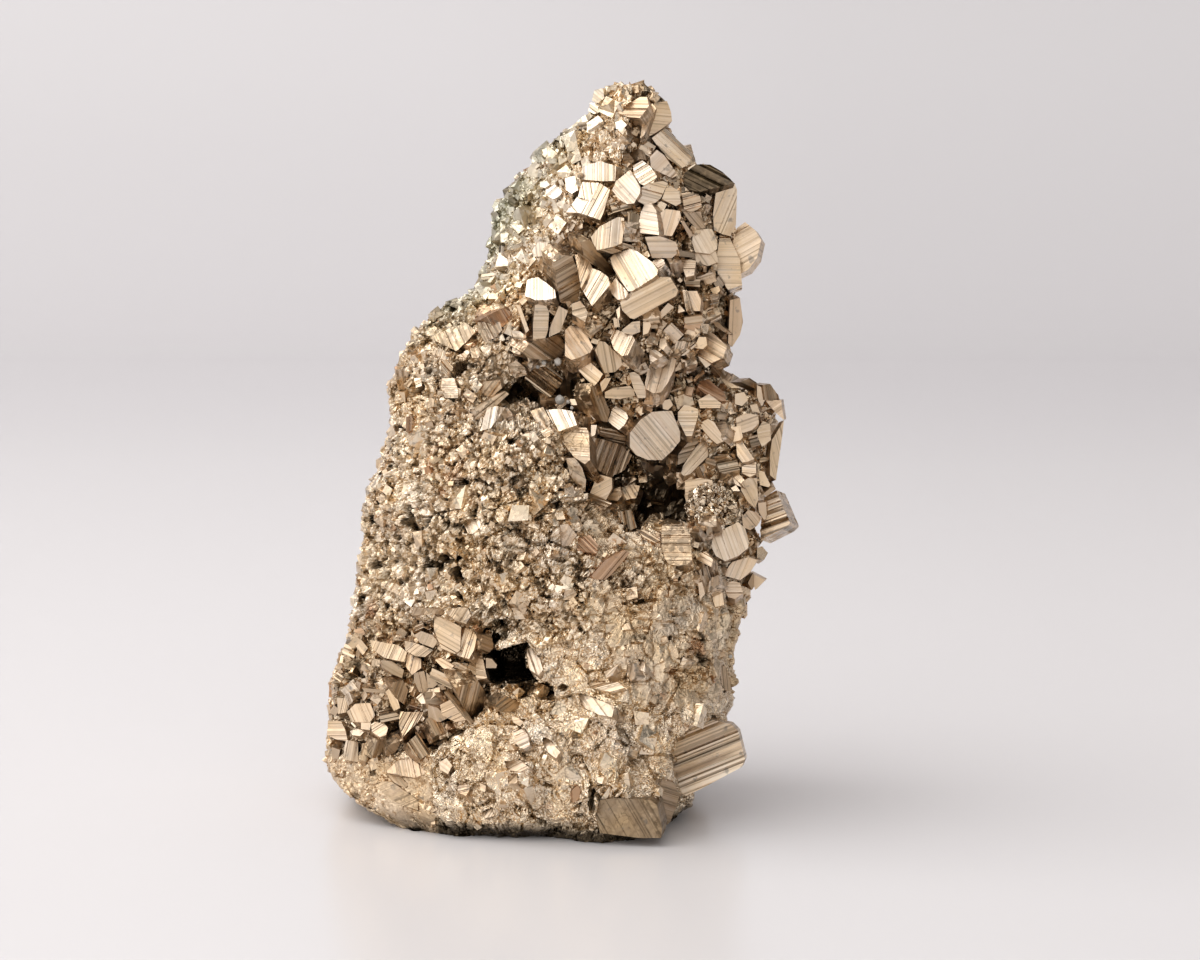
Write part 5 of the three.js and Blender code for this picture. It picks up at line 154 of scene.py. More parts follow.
  ('W',0,[15.21,-14.69,65.82],[-0.403,-0.765,0.502],[0.35,-0.635,-0.688],[(0.87,-0.34),(0.51,0.44),(-0.62,0.61),(-0.9,-0.06),(0.13,-0.65)]),
  ('M',0,[15.59,-14.78,70.31],[-0.07,-0.993,-0.094],[0.454,-0.115,0.884],[(-1.34,0.02),(0.9,-0.77),(1.01,0.18),(-0.57,0.57)]),
  ('W',0,[9.3,-15.22,70.01],[-0.516,-0.753,0.409],[0.074,-0.515,-0.854],[(0.88,-0.16),(0.54,0.18),(-0.9,0.31),(-0.51,-0.34)]),
  ('D',1,[6.79,-12.95,57.56],[0.704,-0.701,0.114],[0.328,0.179,-0.928],[(0.11,-1.03),(2.24,-0.65),(2.85,0.31),(1.82,1.27),(-2.09,1.18),(-3.1,0),(-1.84,-1.08)]),
  ('K',1,[18.16,-14.02,71.63],[-0.325,-0.816,0.478],[0.143,-0.542,-0.828],[(-0.1,-0.41),(1.67,-0.13),(1.44,0.61),(-1.34,0.5),(-1.68,-0.58)]),
  ('M',0,[19.5,-13.63,71.47],[-0.213,-0.945,0.247],[0.459,-0.32,-0.829],[(0.87,-1.24),(1.55,-0.06),(0.31,0.75),(-1.03,0.86),(-1.71,-0.31)]),
  ('L',0,[17.58,-14.12,70.37],[-0.311,-0.916,0.255],[0.286,-0.346,-0.894],[(0.43,0.5),(-0.77,0),(0.34,-0.5)]),
  ('L',0,[22.42,-9.87,72.53],[-0.294,-0.908,0.3],[0.616,-0.42,-0.667],[(0.48,-0.59),(0.44,0.35),(-0.18,0.7),(-0.74,-0.47)]),
  ('L',1,[22.05,-10.66,64.92],[-0.289,-0.862,0.416],[0.783,-0.464,-0.415],[(1.11,-1.9),(2.05,-0.57),(1.57,1.11),(-0.99,1.65),(-2.29,1.58),(-1.45,-1.87)]),
  ('M',0,[20.47,-12.37,65.67],[-0.113,-0.974,0.194],[0.948,-0.047,0.315],[(-0.08,-0.79),(0.59,-0.45),(0.79,0.62),(-0.11,0.91),(-1.19,-0.29)]),
  ('M',0,[25.19,-6.98,67.72],[0.149,-0.987,-0.054],[0.031,-0.049,0.998],[(-3.12,0.36),(-1.47,-0.68),(0.31,-1.02),(3.58,-0.48),(3.29,0.89),(-2.58,0.93)]),
  ('L',0,[22.94,-8.99,67.58],[-0.443,-0.844,0.301],[0.355,-0.474,-0.806],[(-0.4,-0.53),(1.02,0.29),(1.12,0.73),(-0.69,0.08),(-1.06,-0.57)]),
  ('M',0,[20.85,-9.92,62.89],[-0.026,-1,0.008],[0.469,-0.005,0.883],[(-0.02,0.6),(-0.59,-0.62),(0.27,-1.08),(0.33,1.1)]),
  ('D',0,[23.09,-6.9,62.26],[0.234,-0.795,-0.559],[0.518,0.589,-0.62],[(1.77,-1.67),(2.17,-1.26),(-1.09,2.48),(-2.76,2),(-0.08,-1.55)]),
  ('K',1,[20.31,-9.32,61.09],[0.261,-0.795,0.548],[0.72,0.539,0.438],[(-0.99,-0.3),(0.8,-0.22),(0.98,0.39),(-0.8,0.12)]),
  ('R',1,[21.9,-8.97,58.83],[0.165,-0.769,0.618],[0.856,-0.2,-0.477],[(-0.01,-0.96),(1.2,-0.87),(2.4,-0.2),(1.67,0.84),(-1.32,1.43),(-2.07,0.5),(-1.86,-0.73)]),
  ('M',0,[24.35,-5.12,59.44],[-0.139,-0.94,0.312],[0.978,-0.08,0.193],[(-0.17,-0.61),(1.44,-0.91),(-0.26,0.54),(-1.02,0.97)]),
  ('D',0,[27.72,-4.71,59.29],[0.604,-0.79,0.105],[0.734,0.499,-0.46],[(1.87,-0.33),(1.17,0.41),(-0.82,0.57),(-2.23,-0.64)]),
  ('M',0,[28.71,-5.78,57.88],[0.108,-0.994,-0.018],[0.912,0.106,-0.397],[(-0.42,-0.27),(0.75,-1.56),(0.82,-0.34),(-0.11,1.06),(-1.04,1.11)]),
  ('D',0,[30.17,-5.42,58.14],[0.586,-0.811,0.011],[0.179,0.116,-0.977],[(0.61,-1.24),(1.61,1.22),(0.57,1.09),(-1.29,0.07),(-1.49,-1.14)]),
  ('M',0,[30.87,-5.41,56.11],[-0.203,-0.977,0.067],[0.807,-0.129,0.576],[(-0.45,-0.36),(-0.04,-1.95),(1.16,0.54),(-0.67,1.77)]),
  ('M',0,[-8.19,-14.55,57.39],[0.209,-0.975,0.079],[0.775,0.214,0.595],[(-2.42,-0.38),(-2.02,-0.53),(0.77,-0.68),(3.33,-0.47),(3.15,0.18),(-0.58,0.89),(-2.22,0.99)]),
  ('M',0,[-7.9,-12.56,59.55],[-0.126,-0.991,-0.035],[0.592,-0.103,0.8],[(-0.96,0.98),(-1.14,-0.33),(-0.53,-0.9),(1.09,-1.22),(1.79,-0.37),(-0.25,1.84)]),
  ('L',0,[-10.55,-14.22,58.72],[0.031,-0.85,0.525],[0.97,-0.102,-0.223],[(-0.09,-0.57),(0.66,-0.83),(0.91,0.3),(-0.51,0.99),(-0.97,0.11)]),
  ('W',1,[-7.51,-16.04,56.3],[-0.24,-0.687,0.686],[0.123,0.679,0.724],[(-2,-0.13),(1.4,-1.58),(1.63,-0.57),(1.39,0.93),(-2.41,1.34)]),
  ('W',0,[-5.4,-14.35,56.34],[-0.484,-0.816,0.316],[0.864,-0.39,0.318],[(-0.05,-0.95),(0.61,-0.72),(0.57,0.01),(0.07,0.86),(-1.2,0.8)]),
  ('L',1,[-1.05,-15.34,55.95],[-0.029,-0.821,0.57],[0.458,-0.518,-0.723],[(-0.09,-0.82),(1.88,-0.32),(1.18,0.93),(-1.34,1.01),(-1.62,-0.8)]),
  ('W',1,[1.57,-15.11,55.99],[-0.253,-0.784,0.567],[0.363,-0.62,-0.695],[(-0.66,-1.3),(1.88,-1.12),(2.21,1.57),(-0.11,1.76),(-1.24,0.42),(-2.08,-1.33)]),
  ('L',1,[-0.17,-18.87,54.4],[-0.1,-0.914,0.394],[0.906,0.08,0.416],[(-0.66,-0.17),(-0.29,-0.65),(0.88,-0.31),(0.69,0.55),(-0.62,0.58)]),
  ('L',1,[3.87,-16.91,52.51],[-0.257,-0.82,0.511],[0.946,-0.322,-0.041],[(-2.26,0.25),(-0.14,-1.75),(0.81,-2.24),(1.59,-2.61),(2.16,-1.97),(1.26,1.58),(0.77,2.56),(-1.34,2.52),(-2.85,1.66)]),
  ('L',0,[5.98,-13.9,54.09],[-0.06,-0.813,0.58],[0.46,-0.538,-0.707],[(0.71,-0.75),(0.71,-0.14),(-0.51,0.79),(-0.91,0.09)]),
  ('M',0,[3.85,-17.68,48.73],[0.045,-0.999,-0.004],[0.829,0.04,-0.558],[(-0.75,-0.66),(1.04,-1.41),(2.19,-1.45),(1.4,-0.04),(0.06,1.01),(-1.47,1.61),(-2.46,0.94)]),
  ('K',1,[5.3,-15.67,48.75],[-0.438,-0.806,0.397],[0.608,-0.592,-0.53],[(-0.06,-0.63),(0.93,-0.53),(1.33,0.51),(-0.75,0.61),(-1.45,0.04)]),
  ('L',0,[3.31,-10.93,57.58],[-0.207,-0.862,0.463],[0.638,-0.478,-0.604],[(0.06,-0.55),(0.65,0.03),(-0.01,0.6),(-0.7,-0.08)]),
  ('M',1,[14.28,-13.86,53.33],[0.113,-0.993,0.025],[0.637,0.053,-0.769],[(-1.11,-3.56),(0.24,-3.63),(1.81,-2.83),(3.05,-1.39),(2.99,0.41),(2.66,2.09),(1.73,2.87),(-1.15,3.85),(-1.85,3.03),(-2.8,1.71),(-3.02,-0.21),(-2.56,-2.35)]),
  ('W',1,[9.31,-12.56,55.78],[-0.41,-0.806,0.427],[0.697,-0.578,-0.424],[(-0.04,-1.39),(1.31,-1.4),(1.48,-0.47),(1.34,0.61),(0.53,1.11),(-0.78,1.31),(-1.39,1.12),(-1.52,0.37),(-0.92,-1.26)]),
  ('L',1,[18.67,-12.04,55.62],[-0.045,-0.891,0.452],[0.999,-0.047,0.006],[(-1.34,-0.36),(-0.25,-2.64),(0.56,-2.64),(1.34,0.21),(1.34,1.21),(0.26,1.64),(-0.55,1.79),(-1.35,0.78)]),
  ('D',1,[8.64,-11.45,52.99],[0.246,-0.801,-0.546],[0.869,0.432,-0.241],[(-1.86,-0.41),(-0.58,-0.81),(1.82,-0.95),(2.36,-0.45),(1.51,0.61),(-0.76,1.13),(-2.49,0.88)]),
  ('L',1,[19.52,-10.96,49.85],[0.042,-0.842,0.538],[0.632,0.44,0.638],[(-2.84,-0.56),(-2.09,-0.99),(1.58,-1.18),(2.75,-0.25),(3.1,0.72),(1.9,0.98),(0.12,0.77),(-1.77,0.47),(-2.76,0.03)]),
  ('D',0,[18.78,-10.99,51.12],[0.534,-0.845,-0.03],[0.838,0.524,0.151],[(-1.93,-1.7),(-0.77,-1.55),(2,0.9),(2.07,1.44),(0.4,1.26),(-1.76,-0.35)]),
  ('M',0,[7.33,-13.97,46.51],[-0.082,-0.988,0.132],[0.881,-0.01,0.473],[(-0.56,-1.74),(0.91,-0.69),(1.54,0.49),(0.12,1.85),(-2.02,0.1)]),
  ('L',0,[9,-11.77,45.11],[-0.238,-0.834,0.497],[0.957,-0.289,-0.026],[(0.44,-0.9),(0.84,0),(0.37,1.13),(-0.67,0.62),(-0.98,-0.86)]),
  ('K',1,[6.6,-15.71,44.98],[-0.407,-0.835,0.37],[0.83,-0.507,-0.231],[(-1.08,-0.53),(1.51,-0.55),(2.12,0.23),(0.09,0.44),(-2.64,0.41)]),
  ('L',0,[11.05,-8.83,45.18],[-0.237,-0.821,0.52],[0.445,-0.567,-0.693],[(0.65,-1.44),(1.31,0.1),(0.03,1.4),(-0.77,0.72),(-1.22,-0.78)]),
  ('W',0,[12.83,-7.58,48.64],[-0.5,-0.746,0.44],[0.463,-0.66,-0.592],[(0.09,-0.43),(0.78,-0.13),(0.02,0.54),(-0.89,0.02)]),
  ('W',0,[14.59,-6.31,47.95],[-0.33,-0.721,0.61],[0.069,-0.663,-0.746],[(0.49,0.14),(-0.11,0.91),(-0.55,-0.06),(0.17,-0.99)]),
  ('W',0,[17.75,-8.23,46.91],[-0.493,-0.732,0.471],[0.858,-0.498,0.124],[(0.4,-0.79),(0.66,-0.51),(-0.31,0.71),(-0.76,0.59)]),
  ('D',1,[8.07,-11.62,50.18],[0.639,-0.752,-0.161],[0.342,0.09,0.935],[(-1.42,3.02),(-2.11,1.12),(-2.64,-1.5),(-0.98,-3.63),(1.25,-3.9),(2.11,-1.49),(2.02,1.8),(1.77,4.59)]),
  ('M',1,[5.06,-12.06,57.44],[0.167,-0.97,0.178],[0.469,-0.081,-0.879],[(-1.2,-0.54),(0.37,-0.46),(2.36,-0.14),(2.38,0.47),(-1.46,0.69),(-2.44,-0.02)]),
  ('L',1,[13.37,-14.02,58.37],[0.055,-0.771,0.634],[0.998,0.066,-0.008],[(0.52,-0.99),(0.87,0.92),(-0.07,0.92),(-0.51,-0.03),(-0.81,-0.83)]),
  ('M',0,[14.88,-13.49,58.45],[-0.027,-0.972,0.232],[1,-0.026,0.007],[(0.13,-0.84),(0.54,1.31),(-0.13,0.78),(-0.54,-1.24)]),
  ('M',0,[15.85,-13.09,57.46],[0.064,-0.972,0.227],[0.879,-0.053,-0.474],[(-0.23,-0.77),(0.43,-0.57),(0.7,0.35),(-0.04,0.87),(-0.85,0.12)]),
  ('W',0,[23.34,-10.7,53.94],[-0.582,-0.645,0.495],[0.792,-0.588,0.165],[(0.31,-1.71),(0.72,-1.31),(0.94,0),(0.24,0.97),(-0.81,1.22),(-1.39,0.83)]),
  ('M',1,[21.97,-11.1,53.6],[0.02,-0.948,0.318],[0.699,-0.214,-0.682],[(-1.01,-0.75),(0.42,-0.85),(1.67,-0.75),(2.03,0.22),(1.26,0.6),(-0.76,1.09),(-1.62,0.8),(-1.98,-0.36)]),
  ('M',1,[21.6,-10.86,57.49],[-0.087,-0.967,0.241],[0.996,-0.087,0.01],[(-1.29,-0.73),(1.41,-0.73),(1.54,-0.05),(-0.09,1.17),(-1.57,0.35)]),
  ('M',1,[26.71,-9.93,54.63],[-0.007,-0.945,0.328],[0.938,0.107,0.33],[(-1.54,-0.19),(-1.02,-1.11),(0.26,-1.15),(1.49,-0.58),(1.76,0.5),(0.21,1.37),(-1.17,1.15)]),
  ('M',0,[29.07,-7.2,52.86],[0.098,-0.973,0.207],[0.971,0.139,0.193],[(-0.88,-0.46),(-0.61,-1.77),(0.81,-1.1),(1.15,1.05),(0.3,1.66),(-0.77,0.63)]),
  ('M',0,[25.88,-9,57.74],[0.041,-0.975,0.22],[0.089,0.223,0.971],[(-0.72,0.73),(-0.91,-0.24),(-0.02,-0.98),(1.02,-0.35),(0.63,0.84)]),
  ('M',0,[27.81,-8.18,56.41],[0.235,-0.968,0.082],[0.744,0.234,0.626],[(-0.53,-0.03),(0.15,-0.97),(0.61,0.24),(-0.23,0.77)]),
  ('L',1,[26.14,-10.91,50.59],[-0.092,-0.867,0.49],[0.524,-0.461,-0.716],[(-0.27,-0.79),(0.97,-0.78),(1.34,-0.22),(1.5,0.8),(-1.61,0.87),(-1.94,0.12)]),
  ('L',1,[26.98,-11.08,48.31],[-0.137,-0.896,0.422],[0.982,-0.18,-0.063],[(-0.93,-0.45),(0.22,-0.92),(0.98,-0.42),(0.78,1.26),(-1.05,0.53)]),
  ('K',1,[29.31,-6.25,49.25],[0.186,-0.775,0.604],[0.977,0.212,-0.028],[(-0.74,-0.51),(0.71,-0.2),(0.8,0.43),(-0.77,0.27)]),
  ('M',0,[29.14,-6.56,46.54],[-0.004,-0.969,0.245],[0.958,0.067,0.279],[(-0.71,-0.68),(0.74,-1.55),(0.34,0.87),(-0.37,1.36)]),
  ('M',0,[30.76,-6.44,50.13],[0.194,-0.956,0.221],[0.234,-0.173,-0.957],[(2.82,-1.5),(3.67,-0.85),(-0.82,1),(-4.05,2.25),(-1.77,-0.06),(0.16,-0.84)]),
  ('M',0,[27.1,-10.9,45.45],[0.199,-0.98,0.03],[0.444,0.063,-0.894],[(1.2,-0.89),(2.39,-0.4),(1.61,0.46),(-1.13,1.68),(-1.72,0.57),(-1.63,-0.4),(-0.72,-1.02)]),
  ('W',0,[25.26,-11.37,46.73],[-0.551,-0.746,0.375],[0.827,-0.548,0.125],[(-0.21,-0.24),(0.8,-0.7),(0.24,0.02),(-0.82,0.92)]),
  ('W',0,[25.06,-11.43,45.86],[-0.384,-0.769,0.511],[0.902,-0.196,0.384],[(-0.35,-0.21),(0.6,-0.61),(0.26,0.49),(-0.51,0.33)]),
  ('M',0,[19.99,-11.17,46.19],[-0.18,-0.977,0.114],[0.975,-0.162,0.152],[(-1.83,-0.99),(-1.46,-1.31),(2.26,-0.29),(2.09,0.55),(0.5,1.02),(-1.56,1.02)]),
  ('D',0,[29.94,-7.18,44.87],[0.185,-0.914,-0.36],[0.847,0.335,-0.413],[(0.01,-0.94),(0.63,0.71),(-0.05,0.75),(-0.58,-0.52)]),
  ('K',1,[30.55,-7.78,41.59],[-0.364,-0.894,0.26],[0.892,-0.254,0.373],[(-2.73,-2.53),(1,-2.1),(1.88,-1.68),(1.57,1.19),(1.32,3.32),(-0.58,2.98),(-2.46,-1.17)]),
  ('M',0,[29.03,-7.5,42.23],[0.09,-0.996,0.006],[0.222,0.014,-0.975],[(0.01,-0.54),(1.25,-0.11),(1.08,0.35),(-1.11,0.7),(-1.23,-0.4)]),
  ('M',1,[6.4,-19.49,42.77],[0.185,-0.963,0.193],[0.952,0.127,-0.278],[(-1.53,-1.45),(-0.39,-2.11),(0.99,-2.02),(2.78,0.24),(2.62,0.88),(-0.46,1.99),(-2.06,2.25),(-1.95,0.22)]),
  ('K',1,[10.54,-15.89,42.27],[0.269,-0.781,0.564],[0.155,-0.543,-0.826],[(0.28,-0.84),(1.49,0.09),(1.07,1.15),(-1.62,0.89),(-1.22,-1.29)]),
  ('M',1,[11.29,-18.55,40.39],[-0.036,-0.973,0.227],[0.764,-0.173,-0.622],[(-1.11,-0.41),(1.16,-0.42),(1.87,0.18),(0.76,0.46),(-2.67,0.2)]),
  ('K',1,[13.22,-17.75,40.43],[-0.141,-0.843,0.518],[0.818,-0.394,-0.419],[(-0.46,-0.48),(1.41,-0.36),(1.75,0.34),(-0.79,0.5),(-1.91,0)]),
  ('L',1,[17.11,-17.96,38.99],[-0.043,-0.824,0.566],[0.999,-0.047,0.008],[(-1.71,-1.67),(-1.04,-2.55),(0.16,-2.84),(1.49,-2.55),(2.02,-1.96),(1.72,1.72),(1.17,3.05),(0.37,3.35),(-2.04,3.2),(-2.14,0.24)]),
  ('R',1,[8.04,-22.47,36.94],[0.325,-0.941,0.094],[0.634,0.291,0.717],[(-2.42,0.45),(-1.6,-0.69),(-0.37,-0.9),(3.34,-0.94),(3.18,-0.14),(0.36,1.08),(-2.49,1.14)]),
  ('M',1,[11.02,-21.97,36.38],[0.1,-0.986,0.13],[0.5,0.163,0.85],[(-1.63,-0.09),(-0.51,-0.97),(1.24,-0.57),(1.06,0.55),(-0.16,1.07)]),
  ('L',0,[14.29,-21.13,35.32],[-0.027,-0.908,0.418],[0.757,-0.291,-0.584],[(-0.25,-0.96),(0.69,-1.25),(1.02,-0.42),(0.17,1.19),(-0.76,1.67),(-0.87,-0.23)]),
  ('L',0,[12.8,-21.99,33.6],[-0.137,-0.798,0.588],[0.17,-0.603,-0.779],[(0.38,-0.47),(0.55,0.85),(-0.74,0.54),(-0.19,-0.92)]),
  ('M',0,[2.55,-22.3,41.2],[0.125,-0.992,-0.017],[0.465,0.043,0.884],[(-1.81,-0.15),(-0.98,-0.91),(0.62,-1.11),(1.38,0.64),(0.79,1.53)]),
  ('M',0,[2.89,-23.35,33.51],[-0.068,-0.998,0.01],[0.904,-0.058,0.424],[(-0.09,-0.81),(0.86,-0.36),(0.77,0.71),(-0.36,0.78),(-1.17,-0.32)]),
  ('R',0,[5.19,-21.78,39.76],[0.11,-0.853,0.51],[0.701,-0.297,-0.648],[(0.43,-0.9),(1.61,0.18),(0.89,1.08),(-0.84,1.3),(-1.61,-0.18),(-0.49,-1.48)]),
  ('M',1,[24.38,-12.99,38.71],[0.05,-0.951,0.304],[0.334,-0.271,-0.903],[(1.05,-2.41),(2.09,-1.49),(2.03,0.4),(1.45,2.05),(0.72,2.46),(-1.25,2.6),(-2.33,1.98),(-1.93,-1.04),(-1.38,-1.96),(-0.45,-2.58)]),
  ('M',0,[27.38,-8.94,41.21],[0.233,-0.96,0.155],[0.627,0.027,-0.779],[(-0.01,-1.49),(0.93,-1),(1.16,0.11),(0.78,1.35),(-0.39,1.23),(-1.32,0.54),(-1.14,-0.73)]),
  ('L',1,[20.84,-16.4,37.23],[-0.353,-0.86,0.368],[0.783,-0.487,-0.386],[(1.48,-0.64),(1.21,0.31),(-0.33,0.88),(-1.06,0.18),(-1.31,-0.73)]),
  ('W',0,[21.76,-16.04,33.65],[-0.506,-0.738,0.446],[0.121,0.451,0.884],[(-1.41,0.78),(-0.11,-1.36),(1.19,-0.89),(0.33,1.47)]),
  ('M',0,[20.38,-17.56,33.1],[-0.124,-0.992,-0.019],[0.935,-0.123,0.333],[(-0.62,-1.26),(0.29,-0.7),(0.44,0.96),(-0.11,1)]),
  ('L',1,[24.8,-11.67,32.09],[-0.037,-0.886,0.463],[0.999,-0.039,0.007],[(-1.02,-0.06),(-0.62,-1.06),(0.33,-1.34),(1.41,-0.49),(1.01,0.93),(0.06,1.22),(-1.16,0.79)]),
  ('M',0,[26.04,-11.26,35.03],[-0.01,-0.971,0.238],[0.399,0.214,0.891],[(-1.63,-0.46),(-0.09,-1.27),(1.84,-1.62),(1.67,-0.21),(0.18,1.5),(-1.98,2.05)]),
  ('K',0,[28.94,-6.88,36.33],[0.288,-0.872,0.397],[0.846,0.038,-0.531],[(-0.24,-0.99),(0.75,-0.7),(0.79,0.5),(-0.4,0.92),(-0.89,0.27)]),
  ('D',0,[27.69,-7.55,32.43],[0.584,-0.812,0.001],[0.769,0.553,-0.32],[(0.28,-1.07),(0.77,0.18),(-0.32,1.2),(-0.72,-0.31)]),
  ('M',0,[28.26,-7.48,32.6],[-0.205,-0.976,0.078],[0.699,-0.09,0.71],[(-1.06,-0.76),(0.9,-0.73),(0.16,1.48)]),
  ('M',1,[22.68,-15.09,31.54],[-0.109,-0.949,0.296],[0.006,0.297,0.955],[(-1.22,0.37),(-0.96,-0.84),(1.35,-0.57),(0.82,1.04)]),
  ('L',1,[-13.52,-19.74,27.63],[-0.155,-0.912,0.381],[0.844,-0.322,-0.428],[(-1.77,-0.53),(0.36,-2.14),(2.44,-1.9),(2.75,-1.1),(1.21,1.62),(-0.21,1.6),(-2.07,1.49),(-2.71,0.97)]),
  ('L',1,[-10.83,-20.5,26.21],[-0.346,-0.809,0.476],[0.292,0.389,0.874],[(-1.81,0.16),(-1.87,-0.93),(-0.53,-1.23),(1.42,-1.01),(2.22,0.03),(2.18,1.69),(-1.6,1.29)]),
  ('L',0,[-11.68,-20.81,30.33],[-0.16,-0.901,0.404],[0.524,0.27,0.808],[(-1,0.24),(-0.72,-1.35),(0.54,-1.35),(1.25,-0.4),(0.69,0.85),(-0.76,2.01)]),
  ('M',0,[-15.78,-18.17,30.24],[0.076,-0.946,0.314],[0.511,0.308,0.803],[(0.47,-1.65),(0.96,-1.67),(1.07,-0.82),(-0.81,2.26),(-1.69,1.88)]),
  ('M',1,[-16.39,-17.96,26.48],[-0.14,-0.982,0.126],[0.423,0.056,0.904],[(-0.86,0.55),(-0.69,-1.33),(0.33,-1.6),(0.82,-0.47),(0.65,1.11),(-0.25,1.74)]),
  ('L',0,[-17.77,-17.46,24.96],[-0.303,-0.907,0.292],[0.782,-0.061,0.621],[(-1.34,0.92),(-0.65,-0.61),(0.42,-1.58),(1.87,-1.49),(0.34,0.84),(-0.65,1.93)]),
  ('L',0,[-21.46,-15.78,24.4],[-0.293,-0.83,0.475],[0.385,0.352,0.853],[(-0.6,2.36),(-1.09,0.22),(-0.71,-2.76),(0.67,-2.43),(1.17,-0.77),(0.56,3.38)]),
  ('L',0,[-18.18,-17.44,22.92],[-0.231,-0.825,0.516],[0.199,0.479,0.855],[(-1.5,-0.15),(-0.38,-1.18),(0.88,-0.88),(1.49,1.27),(-0.49,0.95)]),
  ('M',1,[-21.09,-16.24,22.14],[0.136,-0.937,0.321],[0.865,-0.046,-0.5],[(-1.18,-0.48),(0.34,-0.69),(1.78,-0.48),(1.47,0.6),(-0.53,0.84),(-1.88,0.21)]),
  ('M',1,[-17.12,-18.06,20.57],[0.077,-0.996,-0.035],[0.193,0.049,-0.98],[(-0.54,-0.87),(1.22,-0.55),(1.47,0.63),(0.8,0.77),(-1.47,0.69),(-1.48,-0.67)]),
  ('M',0,[-15.74,-18.6,20.61],[0.143,-0.976,0.163],[0.558,0.215,0.801],[(-0.8,-0.02),(-0.42,-0.57),(0.4,-0.83),(0.82,1.42)]),
  ('K',1,[-14.11,-19.22,21.28],[-0.3,-0.921,0.248],[0.868,-0.372,-0.33],[(1.58,-0.77),(2.43,0.76),(-2.09,0.7),(-1.92,-0.69)]),
  ('K',1,[-12,-19.69,22.71],[-0.062,-0.891,0.45],[0.853,-0.281,-0.44],[(0.79,-0.95),(1.04,0.16),(0.61,1.35),(-1.2,0.45),(-1.23,-1.01)]),
  ('L',1,[-13.89,-19.12,23.25],[-0.275,-0.84,0.469],[0.803,-0.469,-0.368],[(0.06,-0.54),(1.17,-0.42),(1.32,0.61),(-0.98,0.49),(-1.57,-0.15)]),
  ('L',0,[-10.43,-20.02,22.51],[-0.159,-0.789,0.594],[0.857,-0.408,-0.313],[(0.06,-2.07),(1.48,-0.74),(0.7,0.84),(-0.54,2.38),(-0.8,1.76),(-0.63,-0.12),(-0.26,-2.06)]),
  ('L',0,[-9.12,-20.16,23.14],[-0.217,-0.838,0.502],[0.946,-0.307,-0.103],[(-0.09,-1.91),(1.33,-1.38),(-0.23,1.78),(-1.01,1.51)]),
  ('L',1,[-21.01,-16.28,17.83],[-0.248,-0.857,0.452],[0.417,-0.515,-0.749],[(0.51,-0.56),(1.48,-0.54),(1.52,0.37),(-0.09,0.64),(-1.79,0.47),(-1.63,-0.38)]),
  ('M',0,[-23.48,-14.8,18.77],[0.065,-0.997,-0.044],[0.992,0.07,-0.108],[(-1.39,-0.31),(1.57,-0.16),(1.67,0.26),(-1.85,0.21)]),
  ('W',0,[-14.97,-18.9,19.75],[-0.297,-0.641,0.708],[0.641,-0.683,-0.349],[(-0.07,-0.5),(0.64,0.01),(0.01,0.55),(-0.58,-0.07)]),
  ('D',1,[-19.94,-16.83,19.07],[0.471,-0.869,-0.154],[0.343,0.02,0.939],[(-1.21,-0.04),(-1.66,-1.33),(0.45,-0.97),(1.62,0.3),(0.8,2.04)]),
  ('L',0,[-28.23,-10.17,15.78],[-0.05,-0.905,0.422],[0.184,0.406,0.895],[(-1.3,0.45),(-0.81,-0.7),(0.19,-0.77),(1.06,-0.03),(0.87,1.05)]),
  ('L',0,[-25.42,-13.62,15.66],[-0.17,-0.883,0.438],[0.412,-0.467,-0.782],[(0.7,-1.82),(1.85,0.41),(1.27,1.42),(-0.59,1.47),(-0.91,0.85),(-1.42,-0.45),(-0.9,-1.89)]),
  ('D',0,[-8.15,-20.83,26.32],[0.625,-0.781,0.006],[0.712,0.566,-0.416],[(0.66,-1.17),(1.29,-0.12),(0.04,1.45),(-1.33,0.87),(-0.67,-1.03)]),
  ('L',0,[-6.03,-21.47,27.06],[-0.291,-0.889,0.353],[0.375,-0.445,-0.813],[(0.85,-1.42),(0.85,-0.81),(0.66,2.15),(-0.15,1.73),(-1.27,-0.23),(-0.95,-1.42)]),
  ('M',0,[-7.62,-20.36,23.6],[0.117,-0.993,-0.025],[0.884,0.093,0.458],[(-0.91,-0.19),(0.26,-0.83),(0.57,-0.53),(0.36,0.52),(-0.28,1.02)]),
  ('W',1,[-1.93,-22.15,24.27],[-0.227,-0.764,0.604],[0.307,-0.644,-0.7],[(-0.86,-0.71),(1.01,-0.88),(2.19,-0.11),(1.77,0.74),(0.18,0.83),(-2,0.37),(-2.29,-0.25)]),
  ('L',1,[0.69,-23.33,24.92],[-0.373,-0.854,0.361],[0.928,-0.342,0.149],[(-1.22,-1.23),(0.93,-1.4),(2.08,-0.42),(1.65,1.24),(-1.51,1.91),(-1.94,-0.09)]),
  ('M',1,[1.25,-23.23,20.85],[-0.148,-0.989,0.012],[0.82,-0.129,-0.558],[(-0.87,-0.59),(1.28,-1.37),(1.41,-0.12),(0.2,2.16),(-2.01,-0.08)]),
  ('D',0,[-9.94,-20.53,18.73],[0.426,-0.791,-0.44],[0.212,-0.385,0.898],[(-0.68,1.66),(-3.77,-0.49),(-2.2,-1.34),(-0.29,-2.12),(1.49,-1.14),(3.12,0.1),(2.33,3.33)]),
  ('K',1,[-11.96,-20,17.77],[0.113,-0.795,0.596],[0.601,-0.423,-0.678],[(2.95,-0.36),(3.01,0.25),(-0.41,0.43),(-2.74,0.14),(-2.81,-0.47)]),
  ('L',1,[-13.11,-20.11,16.92],[-0.215,-0.907,0.362],[0.9,-0.04,0.434],[(-1.21,0.18),(0.06,-1.46),(1.54,-1.85),(0.56,1.59),(-0.95,1.55)]),
